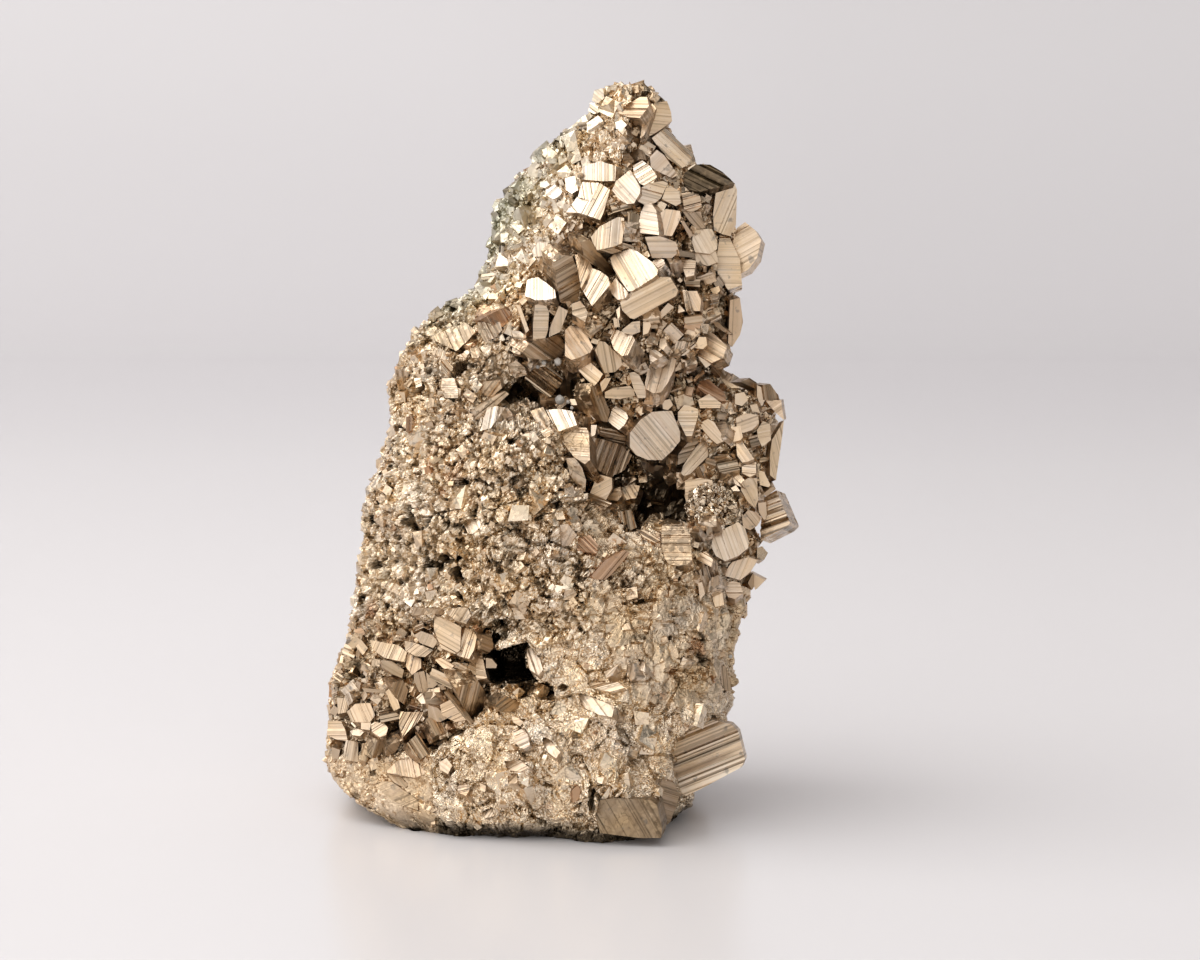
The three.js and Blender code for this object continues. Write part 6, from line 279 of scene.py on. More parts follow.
  ('M',0,[-15.04,-19.54,16.5],[-0.103,-0.993,-0.051],[0.292,0.019,-0.956],[(0.41,-1.32),(1.1,0.16),(0.87,1.37),(-0.81,0.48),(-1.57,-0.69)]),
  ('D',0,[-5.52,-21.7,18.21],[0.598,-0.801,-0.017],[0.72,0.528,0.45],[(-1.35,-0.16),(0.69,-1.54),(1.92,-0.9),(0.35,1.45),(-1.61,1.15)]),
  ('M',0,[-2.36,-23.05,17.36],[0.048,-0.975,0.216],[0.46,-0.171,-0.871],[(-0.03,-1.27),(1,0.14),(0.9,1.39),(-0.77,0.76),(-1.09,-1.02)]),
  ('L',1,[-29.09,-9.86,12.08],[-0.436,-0.828,0.351],[0.897,-0.432,0.094],[(-0.26,-1.04),(1.67,-1.31),(1.38,-0.07),(0.43,1.45),(-1.64,1.46),(-1.59,-0.49)]),
  ('W',0,[-26.14,-13.37,12.72],[-0.398,-0.785,0.475],[0.835,-0.525,-0.167],[(-0.57,-0.56),(0.67,-0.33),(1.09,0.54),(-0.07,0.48),(-1.13,-0.13)]),
  ('L',0,[-24.87,-14.3,14.25],[-0.118,-0.851,0.512],[0.087,0.505,0.859],[(-0.91,0.56),(-0.99,-0.7),(0.15,-0.7),(0.97,0.08),(0.79,0.76)]),
  ('L',0,[-22.94,-15.7,13.74],[-0.174,-0.779,0.603],[0.84,0.202,0.503],[(-1.08,0.18),(-0.55,-1.13),(0.28,-1.36),(1.02,-0.61),(0.94,0.37),(0,1.24),(-0.6,1.31)]),
  ('L',1,[-27.16,-12.44,9.96],[0.037,-0.904,0.426],[0.148,0.427,0.892],[(-1.37,0.48),(-1.37,-1.31),(1.37,-0.84),(1.39,0.82),(-0.02,0.85)]),
  ('L',1,[-24.84,-14.49,10.17],[0.062,-0.835,0.546],[0.215,0.545,0.81],[(-1.32,-0.3),(-0.21,-0.58),(1.53,-0.42),(1.21,0.89),(-1.2,0.42)]),
  ('D',1,[-23.07,-15.69,10.99],[0.54,-0.834,-0.116],[0.375,0.115,0.92],[(-1.32,-0.18),(0.04,-0.9),(1.76,-0.26),(1.05,0.77),(-1.53,0.58)]),
  ('K',1,[-18.8,-18.07,15.23],[0.014,-0.771,0.637],[0.404,0.587,0.701],[(-2.42,-0.27),(0.44,-1.13),(2.19,-1.34),(0.81,1.73),(-1.02,1)]),
  ('K',1,[-17.44,-19.47,12.02],[0.27,-0.85,0.453],[0.55,-0.25,-0.797],[(1.55,-0.83),(1.4,1.08),(-1.69,1.01),(-1.26,-1.26)]),
  ('D',0,[-21.11,-17,11.26],[0.309,-0.862,-0.402],[0.525,0.507,-0.684],[(0.7,-0.07),(-0.21,1.78),(-0.98,-0.07),(0.49,-1.63)]),
  ('W',0,[-18.68,-18.66,8.9],[-0.333,-0.797,0.504],[0.204,-0.582,-0.787],[(1.54,0.44),(1.46,1.93),(0.91,2.04),(-1.39,0.57),(-1.79,-1.43),(-0.73,-3.56)]),
  ('K',1,[-20.38,-17.54,7],[-0.11,-0.91,0.401],[0.64,-0.374,-0.672],[(-0.01,-0.51),(1.41,0.08),(1.37,0.65),(-0.9,0.55),(-1.87,-0.77)]),
  ('W',0,[-12.75,-22.28,11.86],[-0.322,-0.668,0.67],[0.421,0.533,0.734],[(-2.84,0.55),(-2.55,-1.7),(-1.2,-2.59),(1,-1.91),(3.6,1.57),(2.74,2.41),(-0.75,1.67)]),
  ('M',0,[-29.38,-9.78,8.95],[-0.141,-0.99,-0.016],[0.656,-0.105,0.747],[(-0.79,-0.03),(-0.42,-0.83),(0.83,-0.11),(0.38,0.98)]),
  ('L',0,[-20.49,-17.91,5.06],[-0.281,-0.915,0.288],[0.892,-0.138,0.431],[(-1.59,0.71),(-0.09,-1.37),(2.03,-2.99),(2.52,-1.74),(-0.03,1.96),(-2.84,3.44)]),
  ('W',0,[-16.01,-20.58,3.9],[-0.396,-0.78,0.484],[0.616,0.166,0.77],[(-0.52,0.61),(-0.14,-0.67),(0.49,-1.1),(0.3,0.16),(-0.12,1)]),
  ('N',1,[20.97,-13.56,9.34],[-0.078,-0.981,0.175],[0.924,-0.005,0.383],[(-4.13,1.38),(-4.57,-0.78),(-4.66,-3.52),(-4.26,-3.97),(-2.01,-3.85),(4.28,-3.17),(5.07,-2.32),(5.62,1.55),(5.1,2.78),(3.03,4.2),(-0.15,4.31),(-3.32,3.39)]),
  ('M',0,[26.05,-9.42,11.35],[-0.017,-1,0.017],[0.146,0.014,0.989],[(-2.84,-0.82),(-2.87,-1.52),(-1.98,-1.8),(1.12,0.06),(3.02,1.45),(3.55,2.64)]),
  ('L',0,[17.07,-22.04,15.38],[-0.102,-0.875,0.473],[0.981,-0.011,0.192],[(-0.99,-1.94),(0.02,-1.58),(0.65,-0.3),(0.62,1.82),(-0.3,2)]),
  ('L',0,[15.14,-23.21,14.99],[-0.348,-0.882,0.318],[0.355,-0.438,-0.826],[(0.42,-1.16),(1.64,-0.75),(2.17,0.4),(-0.91,1.67),(-1.69,0.32),(-1.62,-0.47)]),
  ('L',0,[13.3,-24.03,10.01],[-0.271,-0.896,0.352],[0.659,-0.439,-0.611],[(1.64,0.22),(0.08,1.13),(-1.09,0.35),(-0.7,-0.39),(0.07,-1.31)]),
  ('M',1,[10.98,-25.89,3.99],[-0.129,-0.991,0.031],[0.499,-0.092,-0.862],[(-0.16,-4.73),(2.98,-0.37),(4.32,2.08),(3.22,2.88),(0.22,3.84),(-0.8,3.36),(-3.27,-0.6),(-4,-2.49),(-2.51,-3.98)]),
  ('D',0,[16.09,-19.4,4.77],[0.702,-0.712,-0.019],[0.657,0.658,-0.367],[(1.18,-3.23),(1.68,-2.43),(1.87,1.1),(-0.47,2.68),(-2.57,2.23),(-1.69,-0.36)]),
  ('M',0,[18.23,-13.06,2.39],[0.059,-0.994,0.091],[0.444,-0.055,-0.894],[(1.18,-0.35),(0.81,1.05),(-0.84,2.63),(-1.59,0.25),(-0.79,-1.21),(1.23,-2.37)]),
  ('L',0,[9.99,-25.46,6.63],[-0.252,-0.923,0.291],[0.622,0.076,0.779],[(-0.45,-0.07),(-0.02,-0.6),(0.97,0.06),(-0.49,0.61)]),
  ('W',0,[6.38,-24.4,18.7],[-0.508,-0.73,0.457],[0.489,-0.681,-0.546],[(-1.49,-1.68),(1.43,-0.33),(2.98,0.83),(1.94,1.93),(-1.54,0.22),(-3.33,-0.98)]),
  ('W',0,[7.66,-24.54,21.39],[-0.388,-0.711,0.586],[0.919,-0.253,0.301],[(-2.29,0.52),(0.48,-1.01),(2.62,-1.01),(1.71,0.15),(-2.52,1.35)]),
  ('D',0,[9.19,-24.76,17.56],[0.496,-0.815,-0.3],[0.84,0.538,-0.073],[(0.64,-1.07),(0.56,0.42),(-0.72,1.07),(-0.48,-0.42)]),
  ('L',0,[-12.18,-9.22,66.35],[-0.383,-0.86,0.337],[0.391,-0.482,-0.784],[(1.71,-1.24),(1.64,-0.55),(0.89,2.23),(0.51,2.4),(-1.08,1.66),(-1.69,-0.67),(-1.97,-3.82)]),
  ('R',0,[-6.6,-9.85,69],[0.499,-0.858,0.123],[0.493,0.164,-0.855],[(1.39,-0.41),(1.2,1.02),(0.4,1.76),(-0.63,1.17),(-1.07,-0.74),(-1.3,-2.8)]),
  ('M',0,[-7.97,-10.58,67.14],[0.077,-0.986,0.147],[0.469,-0.094,-0.878],[(-0.61,-1.45),(1.01,-1.25),(1.16,0.19),(0.66,1.53),(-0.42,1.8),(-1.8,-0.82)]),
  ('K',1,[-13.82,-11.16,62.39],[-0.269,-0.919,0.288],[0.617,-0.394,-0.681],[(-0.36,-0.65),(0.97,-0.83),(0.92,0.31),(0.69,0.68),(-0.92,0.55),(-1.3,-0.06)]),
  ('L',0,[-14.52,-9.31,63.82],[-0.329,-0.901,0.284],[0.318,0.177,0.931],[(-0.65,0.61),(-0.55,-0.74),(-0.09,-1.35),(0.52,-0.5),(0.8,0.53),(-0.03,1.46)]),
  ('W',0,[-11.32,-10.93,64.1],[-0.571,-0.73,0.375],[0.542,-0.678,-0.496],[(0.5,-0.37),(0.43,0.79),(-0.24,0.48),(-0.7,-0.9)]),
  ('L',0,[-9.82,-11.45,64.29],[-0.252,-0.875,0.414],[0.319,-0.479,-0.818],[(0.48,-0.72),(0.83,0.05),(0.33,0.66),(-0.65,0.55),(-0.99,-0.53)]),
  ('L',1,[-13.28,-13.16,59.68],[-0.213,-0.864,0.456],[0.974,-0.226,0.025],[(-0.51,-1.38),(1.29,-1.38),(1.18,-0.24),(0.46,1.48),(-1.21,1.48),(-1.21,0.05)]),
  ('L',0,[-3.96,-11.52,66.66],[0.033,-0.855,0.518],[0.991,-0.038,-0.125],[(-0.66,-0.52),(0.86,-0.75),(1.02,0.03),(-0.01,0.63),(-1.22,0.61)]),
  ('L',0,[-4.34,-12.08,64.83],[-0.292,-0.9,0.325],[0.867,-0.105,0.488],[(-0.71,-0.03),(0.1,-0.96),(0.92,0.15),(-0.31,0.84)]),
  ('W',0,[-17.63,-10.36,60.16],[-0.428,-0.802,0.417],[0.876,-0.255,0.409],[(-0.5,-0.64),(0.42,-0.73),(0.54,0.46),(-0.46,0.9)]),
  ('L',0,[-3.52,-10.89,68.89],[0.022,-0.766,0.642],[0.937,0.24,0.255],[(-0.4,-2.41),(0.14,-2.08),(0.38,2.16),(-0.12,2.34)]),
  ('M',0,[-4.36,-9.7,61.82],[-0.023,-0.995,-0.099],[0.994,-0.011,-0.113],[(-0.88,-0.43),(-0.12,-1.17),(1.44,-0.57),(1.07,0.36),(-0.25,1.31),(-1.25,0.5)]),
  ('W',0,[-10.11,-20.38,42.09],[-0.522,-0.717,0.463],[0.345,-0.673,-0.654],[(0.19,-1.28),(1.11,-0.29),(0.82,1.2),(-0.22,1.47),(-1.07,0.11),(-0.82,-1.21)]),
  ('L',0,[12.15,-22.9,30.03],[-0.183,-0.775,0.605],[0.223,0.567,0.793],[(-1.64,0.61),(-1.14,-0.92),(-0.14,-1.66),(0.98,-1.13),(1.24,0.3),(0.94,1.47),(-0.24,1.34)]),
  ('M',0,[17.73,-21.18,25.76],[-0.041,-0.998,0.047],[0.975,-0.05,-0.219],[(-0.95,-1.75),(0.24,-2.16),(2.03,-1.06),(2.12,0.34),(0.93,1.99),(-0.75,2.15),(-1.8,0.8),(-1.82,-0.3)]),
  ('M',0,[15.64,-22.51,22.78],[-0.175,-0.97,0.169],[0.753,-0.242,-0.612],[(0.82,-1.25),(1.8,0.29),(0.98,1.68),(-0.92,1.45),(-1.83,-0.19),(-0.85,-1.97)]),
  ('M',0,[24.24,-12.08,26],[0.083,-0.96,0.269],[0.672,-0.145,-0.726],[(0.63,-2.48),(2.04,-1.93),(2.65,-0.64),(1.64,0.67),(-0.55,2.32),(-1.98,2.15),(-2.87,0.74),(-1.55,-0.84)]),
  ('M',0,[22.46,-15.77,22.25],[-0.228,-0.968,0.104],[0.629,-0.065,0.774],[(-1.72,-0.74),(0.01,-1.07),(1.77,-1.02),(1.4,0.83),(-0.02,1.42),(-1.44,0.58)]),
  ('D',1,[23.88,-11.48,19.72],[0.569,-0.806,-0.162],[0.093,0.258,-0.962],[(1.9,-0.22),(2.03,0.96),(-1.51,0.45),(-2.25,-0.32),(-0.17,-0.87)]),
  ('W',0,[17.92,-20.95,23.9],[-0.502,-0.834,0.23],[0.856,-0.44,0.271],[(-0.3,-0.72),(0.75,0.17),(0.07,0.7),(-0.52,-0.14)]),
  ('L',0,[14.88,-23.12,18.07],[-0.344,-0.833,0.434],[0.086,-0.488,-0.869],[(1.14,-0.9),(1.2,0.92),(-0.05,1.61),(-1.19,0.03),(-1.1,-1.67)]),
  ('M',0,[8.41,-24.2,27.17],[-0.027,-0.999,0.038],[0.321,-0.044,-0.946],[(0.26,-1.46),(0.93,-0.29),(0.85,1.55),(-0.5,1.31),(-0.71,0.26),(-0.83,-1.37)]),
  ('W',0,[10.28,-23.36,29.18],[-0.436,-0.796,0.42],[0.385,-0.587,-0.712],[(0.11,-0.7),(0.71,0.47),(-0.32,0.64),(-0.51,-0.41)]),
  ('W',0,[12.47,-23.41,23.85],[-0.519,-0.652,0.552],[0.269,0.488,0.83],[(-0.55,0.22),(-0.81,-0.66),(0.48,-0.25),(0.88,0.69)]),
  ('W',1,[10.92,-24.06,23.18],[-0.67,-0.705,0.231],[0.174,0.153,0.973],[(-1.29,-0.16),(-0.35,-1.03),(1.25,-0.1),(0.85,0.71),(-0.47,0.58)]),
  ('W',0,[8.19,-24.39,23.3],[-0.516,-0.706,0.486],[0.711,-0.036,0.702],[(-0.95,-0.26),(-0.06,-0.59),(1.2,-0.09),(0.5,0.25),(-0.69,0.68)]),
  ('W',0,[-3.48,-24.74,14.24],[-0.317,-0.756,0.574],[0.902,-0.054,0.428],[(-1.08,0.3),(-0.62,-1.05),(-0.02,-1.5),(0.78,-1.26),(0.96,0.26),(0.71,1.34),(-0.74,1.9)]),
  ('L',0,[-5.78,-23.22,15.85],[-0.198,-0.905,0.376],[0.307,0.307,0.901],[(-0.16,0.64),(-1.49,-0.1),(-1.09,-0.97),(0.22,-0.67),(1.42,0.02),(1.11,1.07)]),
  ('W',0,[-4.11,-23.17,16.43],[-0.311,-0.803,0.509],[0.949,-0.232,0.214],[(-0.62,-0.06),(0.33,-0.8),(0.91,-0.33),(0.1,0.38),(-0.72,0.81)]),
  ('L',0,[5.26,-26.03,8.1],[-0.416,-0.86,0.296],[0.077,-0.357,-0.931],[(1.64,-0.58),(0.45,0.55),(-0.51,1.36),(-1.44,0.41),(-1.04,-0.64),(0.9,-1.1)]),
  ('W',0,[6.81,-26.09,9.08],[-0.492,-0.774,0.399],[0.864,-0.49,0.116],[(-0.39,-0.27),(0.41,-0.54),(0.6,0.4),(-0.62,0.41)]),
  ('R',0,[3.72,-25.6,7.13],[0.303,-0.942,0.143],[0.691,0.114,-0.714],[(0.51,-1.22),(0.75,-0.47),(0.15,0.77),(-0.62,0.97),(-0.78,-0.06)]),
  ('L',0,[3.56,-25.04,4.83],[-0.397,-0.845,0.359],[0.907,-0.301,0.296],[(-0.41,-0.52),(0.52,-0.19),(0.97,0.81),(-1.08,-0.1)]),
  ('L',0,[-3.56,-23.8,4.27],[-0.15,-0.884,0.442],[0.244,0.4,0.883],[(-0.79,0.04),(-0.29,-0.94),(0.81,-0.93),(0.54,0.95),(-0.28,0.88)]),
  ('L',0,[-5.53,-23.57,4],[-0.135,-0.913,0.385],[0.472,-0.401,-0.785],[(0.46,-0.55),(0.52,0.64),(-0.39,0.67),(-0.59,-0.76)]),
  ('M',1,[-7.24,-24.34,7.33],[-0.09,-0.995,0.052],[0.037,0.049,0.998],[(-2.06,0.44),(-3.35,-0.54),(-1.32,-0.87),(1.1,-0.78),(2.41,-0.07),(2.62,0.87),(0.6,0.94)]),
  ('W',0,[-13.84,-21.46,9.94],[-0.266,-0.793,0.548],[0.727,-0.538,-0.426],[(-0.17,-0.85),(1.14,-0.63),(0.73,0.65),(-0.64,0.91),(-1.06,-0.08)]),
  ('W',0,[-11.38,-22.57,7.06],[-0.376,-0.666,0.645],[0.927,-0.27,0.261],[(-0.75,-0.33),(0.44,-1.21),(0.99,-0.1),(0.24,0.84),(-0.93,0.79)]),
  ('W',0,[-8.74,-23.64,7.46],[-0.463,-0.83,0.311],[0.814,-0.537,-0.221],[(-0.27,-0.42),(0.55,-0.4),(0.37,0.38),(-0.65,0.44)]),
  ('L',0,[-8.7,-23.17,5.23],[-0.31,-0.876,0.369],[0.939,-0.343,-0.026],[(-0.31,-0.94),(0.45,-0.32),(0.46,0.49),(-0.6,0.78)]),
  ('W',0,[-8.04,-23.08,3.81],[-0.363,-0.751,0.552],[0.539,0.314,0.781],[(-0.74,0.04),(0.09,-0.97),(0.89,-0.02),(-0.24,0.95)]),
  ('W',0,[0.34,-25.54,13.33],[-0.343,-0.609,0.715],[0.326,-0.791,-0.518],[(-0.11,-0.83),(2.05,0.05),(1.45,0.86),(-1.25,0.33),(-2.15,-0.4)]),
  ('W',0,[-4.2,-24.98,10.66],[-0.436,-0.751,0.495],[0.853,-0.169,0.494],[(-1.3,0.12),(0.21,-0.99),(1.72,-1.16),(0.73,0.62),(-1.36,1.41)]),
  ('W',0,[-4.68,-25.02,8.97],[-0.359,-0.615,0.702],[0.693,0.328,0.642],[(-0.86,-0.12),(-0.1,-0.99),(0.94,0),(0.02,1.11)]),
  ('L',0,[5.11,-25.69,11.28],[-0.152,-0.857,0.493],[0.946,-0.271,-0.179],[(-0.17,-0.75),(1.21,-0.69),(1.15,0.43),(-0.09,0.83),(-1.09,0.43),(-1.02,-0.26)]),
  ('M',0,[6.65,-25.6,11.47],[0.032,-0.998,-0.052],[0.19,-0.045,0.981],[(-0.89,-0.1),(-0.2,-0.78),(0.78,-0.05),(0.32,0.94)]),
]
# cubes on the flanks and back: middle of the outer face, outward, along, half edge, ratio
CUBES = [
  ([25.58,4.36,78.45],[0.974,0.193,0.12],[-0.028,0.625,-0.78],1.92,0.96),
  ([24.24,5.87,12.24],[0.887,0.436,-0.15],[-0.288,0.271,-0.918],1.54,1.21),
  ([-19.83,13.68,16.09],[0.786,-0.57,0.238],[0.445,0.789,0.423],3.59,1.24),
  ([-29,12.8,9.25],[-0.998,-0.041,0.048],[0.023,0.471,0.882],2.26,1.02),
  ([3.67,4.59,95.2],[-0.231,0.094,0.968],[0.76,-0.604,0.24],2.24,0.82),
  ([3.59,8.35,84.49],[-0.882,-0.28,-0.379],[0.067,0.721,-0.69],1.89,1.07),
  ([-6,18.83,25.69],[0.365,0.468,0.805],[0.64,-0.754,0.148],2.79,1.05),
  ([-8.59,16.24,39.58],[-0.272,0.961,0.044],[0.596,0.132,0.792],2.78,1.05),
  ([-22.21,9.62,39.2],[-0.479,0.816,-0.323],[-0.657,-0.578,-0.485],1.71,1.06),
  ([-15.39,12.52,49.93],[-0.566,0.147,0.811],[-0.67,-0.655,-0.349],3.4,1.2),
  ([-1.73,4.86,89.81],[-0.944,0.246,0.219],[0.163,-0.231,0.959],2.67,0.94),
  ([23.73,13.79,48.56],[0.733,0.613,0.296],[-0.236,-0.18,0.955],3,1.03),
  ([-2.64,7.72,78.26],[-0.453,0.888,0.082],[-0.255,-0.041,-0.966],1.79,1.21),
  ([27.31,9.48,47.86],[0.829,0.495,-0.26],[0.549,-0.809,0.209],1.59,0.99),
  ([-13.76,20.6,21.68],[0.248,0.591,0.768],[-0.922,-0.099,0.374],2.64,0.95),
  ([-11.02,18.82,21.87],[0.318,-0.359,-0.877],[0.272,0.921,-0.278],1.66,1.01),
  ([9.23,10.81,66.27],[0.885,-0.293,-0.362],[0.456,0.701,0.548],3.23,0.92),
  ([-25.61,13.5,15.95],[-0.388,0.683,-0.62],[-0.913,-0.379,0.154],1.79,1.06),
  ([27.69,7.89,37.51],[0.872,-0.11,-0.476],[0.25,0.938,0.241],2.86,0.85),
  ([20.05,7.39,84.15],[-0.035,0.991,-0.129],[0.949,-0.008,-0.316],2.91,0.96),
  ([24.18,1.27,58.98],[0.734,-0.438,-0.518],[0.623,0.133,0.771],1.11,0.96),
  ([30.92,3.91,49.94],[0.873,0.064,-0.484],[-0.048,0.998,0.045],1.63,1.25),
  ([29.25,0.24,57.75],[0.518,0.536,0.666],[-0.566,-0.369,0.737],1.42,1.19),
  ([13.63,18.14,28.96],[0.282,0.959,0],[0.062,-0.019,0.998],1.49,0.96),
  ([9.47,20.49,17.2],[-0.272,0.326,0.905],[-0.924,0.174,-0.341],1.67,1),
  ([29.28,1.52,40.37],[0.668,0.032,-0.744],[-0.2,-0.955,-0.221],1.22,0.94),
  ([21.49,6.92,79.34],[0.389,0.168,0.906],[0.689,-0.706,-0.165],3.42,0.94),
  ([-7.44,3.88,81.09],[-0.793,0.39,0.468],[0.241,-0.506,0.828],1.73,0.82),
  ([16.11,8.57,77.34],[0.255,0.519,-0.816],[-0.742,-0.436,-0.509],2.68,1.15),
  ([1.36,22.09,9.08],[0.818,0.469,0.334],[-0.499,0.867,0.006],2.77,0.82),
  ([-19.08,15.64,39.97],[-0.572,0.73,0.374],[-0.806,-0.585,-0.092],2.61,1.18),
  ([-5.43,19.22,20.81],[0.601,0.397,0.694],[0.784,-0.46,-0.416],2.16,1.18),
  ([25.29,7.22,22.93],[0.589,-0.082,-0.804],[-0.801,0.068,-0.594],2.66,0.89),
  ([-24.17,11.78,25.08],[-0.778,0.259,0.572],[-0.56,0.127,-0.819],1.2,1.06),
  ([3.38,19.67,20.89],[-0.651,0.449,0.612],[-0.676,0.024,-0.737],1.28,1.03),
  ([-13.24,12.35,54.24],[-0.386,0.918,0.085],[0.845,0.389,-0.366],2.99,1.04),
  ([22.27,12.7,18.25],[0.521,0.538,-0.663],[-0.62,0.772,0.14],2.89,1.08),
  ([-30.84,6.75,16.93],[-0.84,0.423,0.341],[0.396,0.047,0.917],1.65,0.82),
  ([20.84,7.82,70.8],[0.413,0.742,0.529],[-0.816,0.559,-0.147],1.62,1.25),
  ([-1.94,16.91,46.44],[0.264,0.907,-0.327],[0.868,-0.076,0.49],1.71,0.81),
  ([-19.96,6.16,59.27],[-0.172,0.818,0.549],[0.237,-0.506,0.829],1.44,0.9),
  ([19.32,13.87,17.82],[0.882,-0.037,-0.47],[0.391,0.613,0.686],1.61,1.13),
  ([-22.11,14.75,27.57],[-0.828,0.561,0.004],[-0.409,-0.599,-0.689],1.47,0.99),
  ([9.11,15.37,55.2],[-0.104,0.897,0.43],[0.96,0.203,-0.191],1.98,1.18),
  ([-22.98,18.8,6.2],[-0.296,0.924,0.242],[-0.627,0.003,-0.779],1.36,0.92),
  ([-10.11,20.67,15.65],[0.116,0.852,-0.511],[-0.813,0.376,0.444],3.54,0.85),
  ([-6.84,15.85,43.52],[0.348,0.863,-0.366],[-0.767,0.038,-0.64],2.38,0.9),
  ([16.84,14.5,47.78],[-0.747,-0.305,0.591],[-0.474,-0.378,-0.795],2.82,1.1),
  ([-6.67,17.05,31.42],[-0.152,0.885,0.439],[0.717,0.405,-0.568],1.14,0.97),
  ([-13.08,20.63,10.8],[0.08,0.925,0.372],[-0.981,0.139,-0.133],3.45,1.07),
  ([0.17,16.04,45.83],[-0.12,0.993,0.016],[0.645,0.066,0.762],1.52,0.82),
  ([-4.61,7.91,75.67],[-0.291,0.86,0.419],[0.483,-0.246,0.84],1.43,1.22),
  ([-31.14,6.59,12.59],[-0.981,-0.095,-0.17],[-0.168,-0.033,0.985],1.53,0.84),
  ([-14.22,6.7,68.41],[-0.754,0.657,0],[0.066,0.076,-0.995],1.4,1.19),
  ([-1.67,20.11,16.66],[0.536,0.833,0.139],[0.104,0.098,-0.99],3.02,0.89),
  ([-1.91,17.51,56.57],[0.748,0.462,0.476],[0.557,-0.827,-0.074],1.31,1.09),
  ([24.58,0.13,63.81],[0.843,-0.215,-0.492],[0.043,-0.886,0.461],1.19,0.85),
  ([-14.62,8.11,60.99],[0.954,-0.017,-0.3],[-0.058,0.969,-0.239],1.44,1.07),
  ([-22.91,10.02,37.74],[-0.768,0.135,0.626],[0.615,-0.118,0.78],1.51,0.93),
  ([14.52,15.84,43.83],[0.946,0.094,-0.309],[0.169,-0.959,0.229],3.42,0.91),
  ([21.85,6.87,58.97],[0.634,0.764,0.117],[-0.606,0.586,-0.538],1.29,0.91),
  ([9.47,20.04,19.19],[0.91,0.414,0.026],[-0.393,0.838,0.379],1.23,1.05),
  ([-25.52,3.98,36.53],[-0.369,0.246,0.896],[0.386,0.918,-0.093],1.36,1.1),
  ([23.77,13.5,38.07],[0.676,0.394,0.622],[0.021,-0.855,0.518],1.91,1.05),
  ([25.87,5.57,58.86],[0.446,0.271,0.853],[-0.709,-0.474,0.522],2.06,0.87),
  ([-5.12,20.03,9.66],[-0.351,0.883,0.312],[0.316,-0.201,0.927],2.42,1.11),
  ([-6.02,12.78,69.76],[-0.353,0.399,0.846],[-0.841,-0.532,-0.1],3.29,1.19),
  ([-25.78,10.85,21.57],[-0.354,0.674,0.649],[0.074,-0.671,0.738],1.83,1.08),
  ([23.51,12.98,31.71],[0.076,0.947,0.312],[0.878,0.085,-0.471],2.82,0.87),
  ([20.76,10.69,6.56],[0.643,0.722,-0.254],[-0.645,0.332,-0.689],1.77,1.14),
  ([29.54,8.22,44.2],[0.979,0.203,0.014],[0.048,-0.298,0.953],2.94,0.87),
  ([-0.94,15.62,62.69],[0.014,0.406,-0.914],[0.827,0.509,0.239],3.14,0.9),
  ([12.12,17.44,28.01],[0.845,0.481,0.235],[0.474,-0.876,0.089],1.68,0.88),
  ([7.36,8.95,93.17],[-0.32,0.874,0.366],[0.877,0.127,0.464],2.04,0.9),
  ([-29.44,9.44,14.99],[-0.944,0.226,-0.24],[-0.25,-0.965,0.075],1.6,0.83),
  ([-10.9,11.55,61.47],[-0.921,0.09,-0.379],[-0.17,0.783,0.598],1.36,1.13),
  ([22.33,15.97,33.65],[0.929,0.214,0.303],[0.215,-0.976,0.029],3.17,1.18),
  ([12.84,2.93,97.86],[-0.265,0.841,0.471],[0.322,0.538,-0.779],1.38,0.83),
  ([22.31,10.57,10.54],[0.746,0.638,-0.191],[-0.02,-0.265,-0.964],1.31,1.13),
  ([15.86,14.61,54.66],[0.078,0.995,-0.066],[0.195,0.05,0.98],1.99,0.98),
  ([-9.03,13.47,63.1],[-0.296,0.875,0.382],[0.508,-0.194,0.839],1.18,0.83),
  ([24.72,7.06,17.83],[0.988,0.152,0.01],[-0.142,0.895,0.423],2.14,1.16),
  ([4.21,23.92,11.44],[0.714,0.505,0.484],[-0.015,-0.68,0.733],1.93,1.22),
  ([11.94,16.21,40.46],[-0.693,0.114,0.712],[-0.149,0.943,-0.296],2.68,1.03),
  ([-14.45,15.79,41.96],[0.06,0.633,0.772],[0.484,0.658,-0.577],1.76,1.14),
  ([4.27,10.38,78.88],[-0.385,0.913,0.137],[-0.533,-0.099,-0.84],1.26,1.14),
  ([-0.39,10.18,73.98],[-0.069,0.945,0.32],[-0.287,0.288,-0.914],1.52,1.11),
  ([-20.17,16.59,23.02],[-0.901,-0.017,0.433],[0.119,0.951,0.286],1.89,0.93),
  ([23.13,7.63,10.84],[0.992,0.103,-0.075],[-0.059,0.891,0.45],1.16,0.89),
  ([7.27,15.06,41.86],[-0.236,0.945,-0.227],[0.517,-0.076,-0.853],1.31,0.84),
  ([15.25,9.27,72.37],[0.29,0.954,0.079],[0.801,-0.287,0.526],1.77,0.98),
  ([-16.4,5.48,67.41],[-0.798,0.496,0.342],[-0.602,-0.677,-0.423],1.3,1.24),
  ([6.63,2.62,96.88],[-0.422,0.247,0.872],[-0.724,-0.671,-0.161],1.28,1.06),
  ([10.71,20.63,3.08],[0.637,0.691,-0.342],[-0.477,0.005,-0.879],1.7,1.13),
  ([17.88,16.09,50.75],[0.767,0.637,0.074],[0.605,-0.757,0.247],2.84,1.25),
  ([23.28,11.5,54.22],[0.289,0.948,-0.133],[-0.861,0.197,-0.468],1.83,1.12),
  ([-3.46,14.93,43.53],[0.962,-0.026,0.272],[0.161,0.857,-0.489],1.13,0.93),
  ([5.37,24.5,6.87],[0.911,0.409,-0.047],[0.199,-0.338,0.92],1.66,1.14),
  ([-19.32,7.63,48.55],[-0.253,0.28,-0.926],[0.495,0.86,0.125],2.15,1.14),
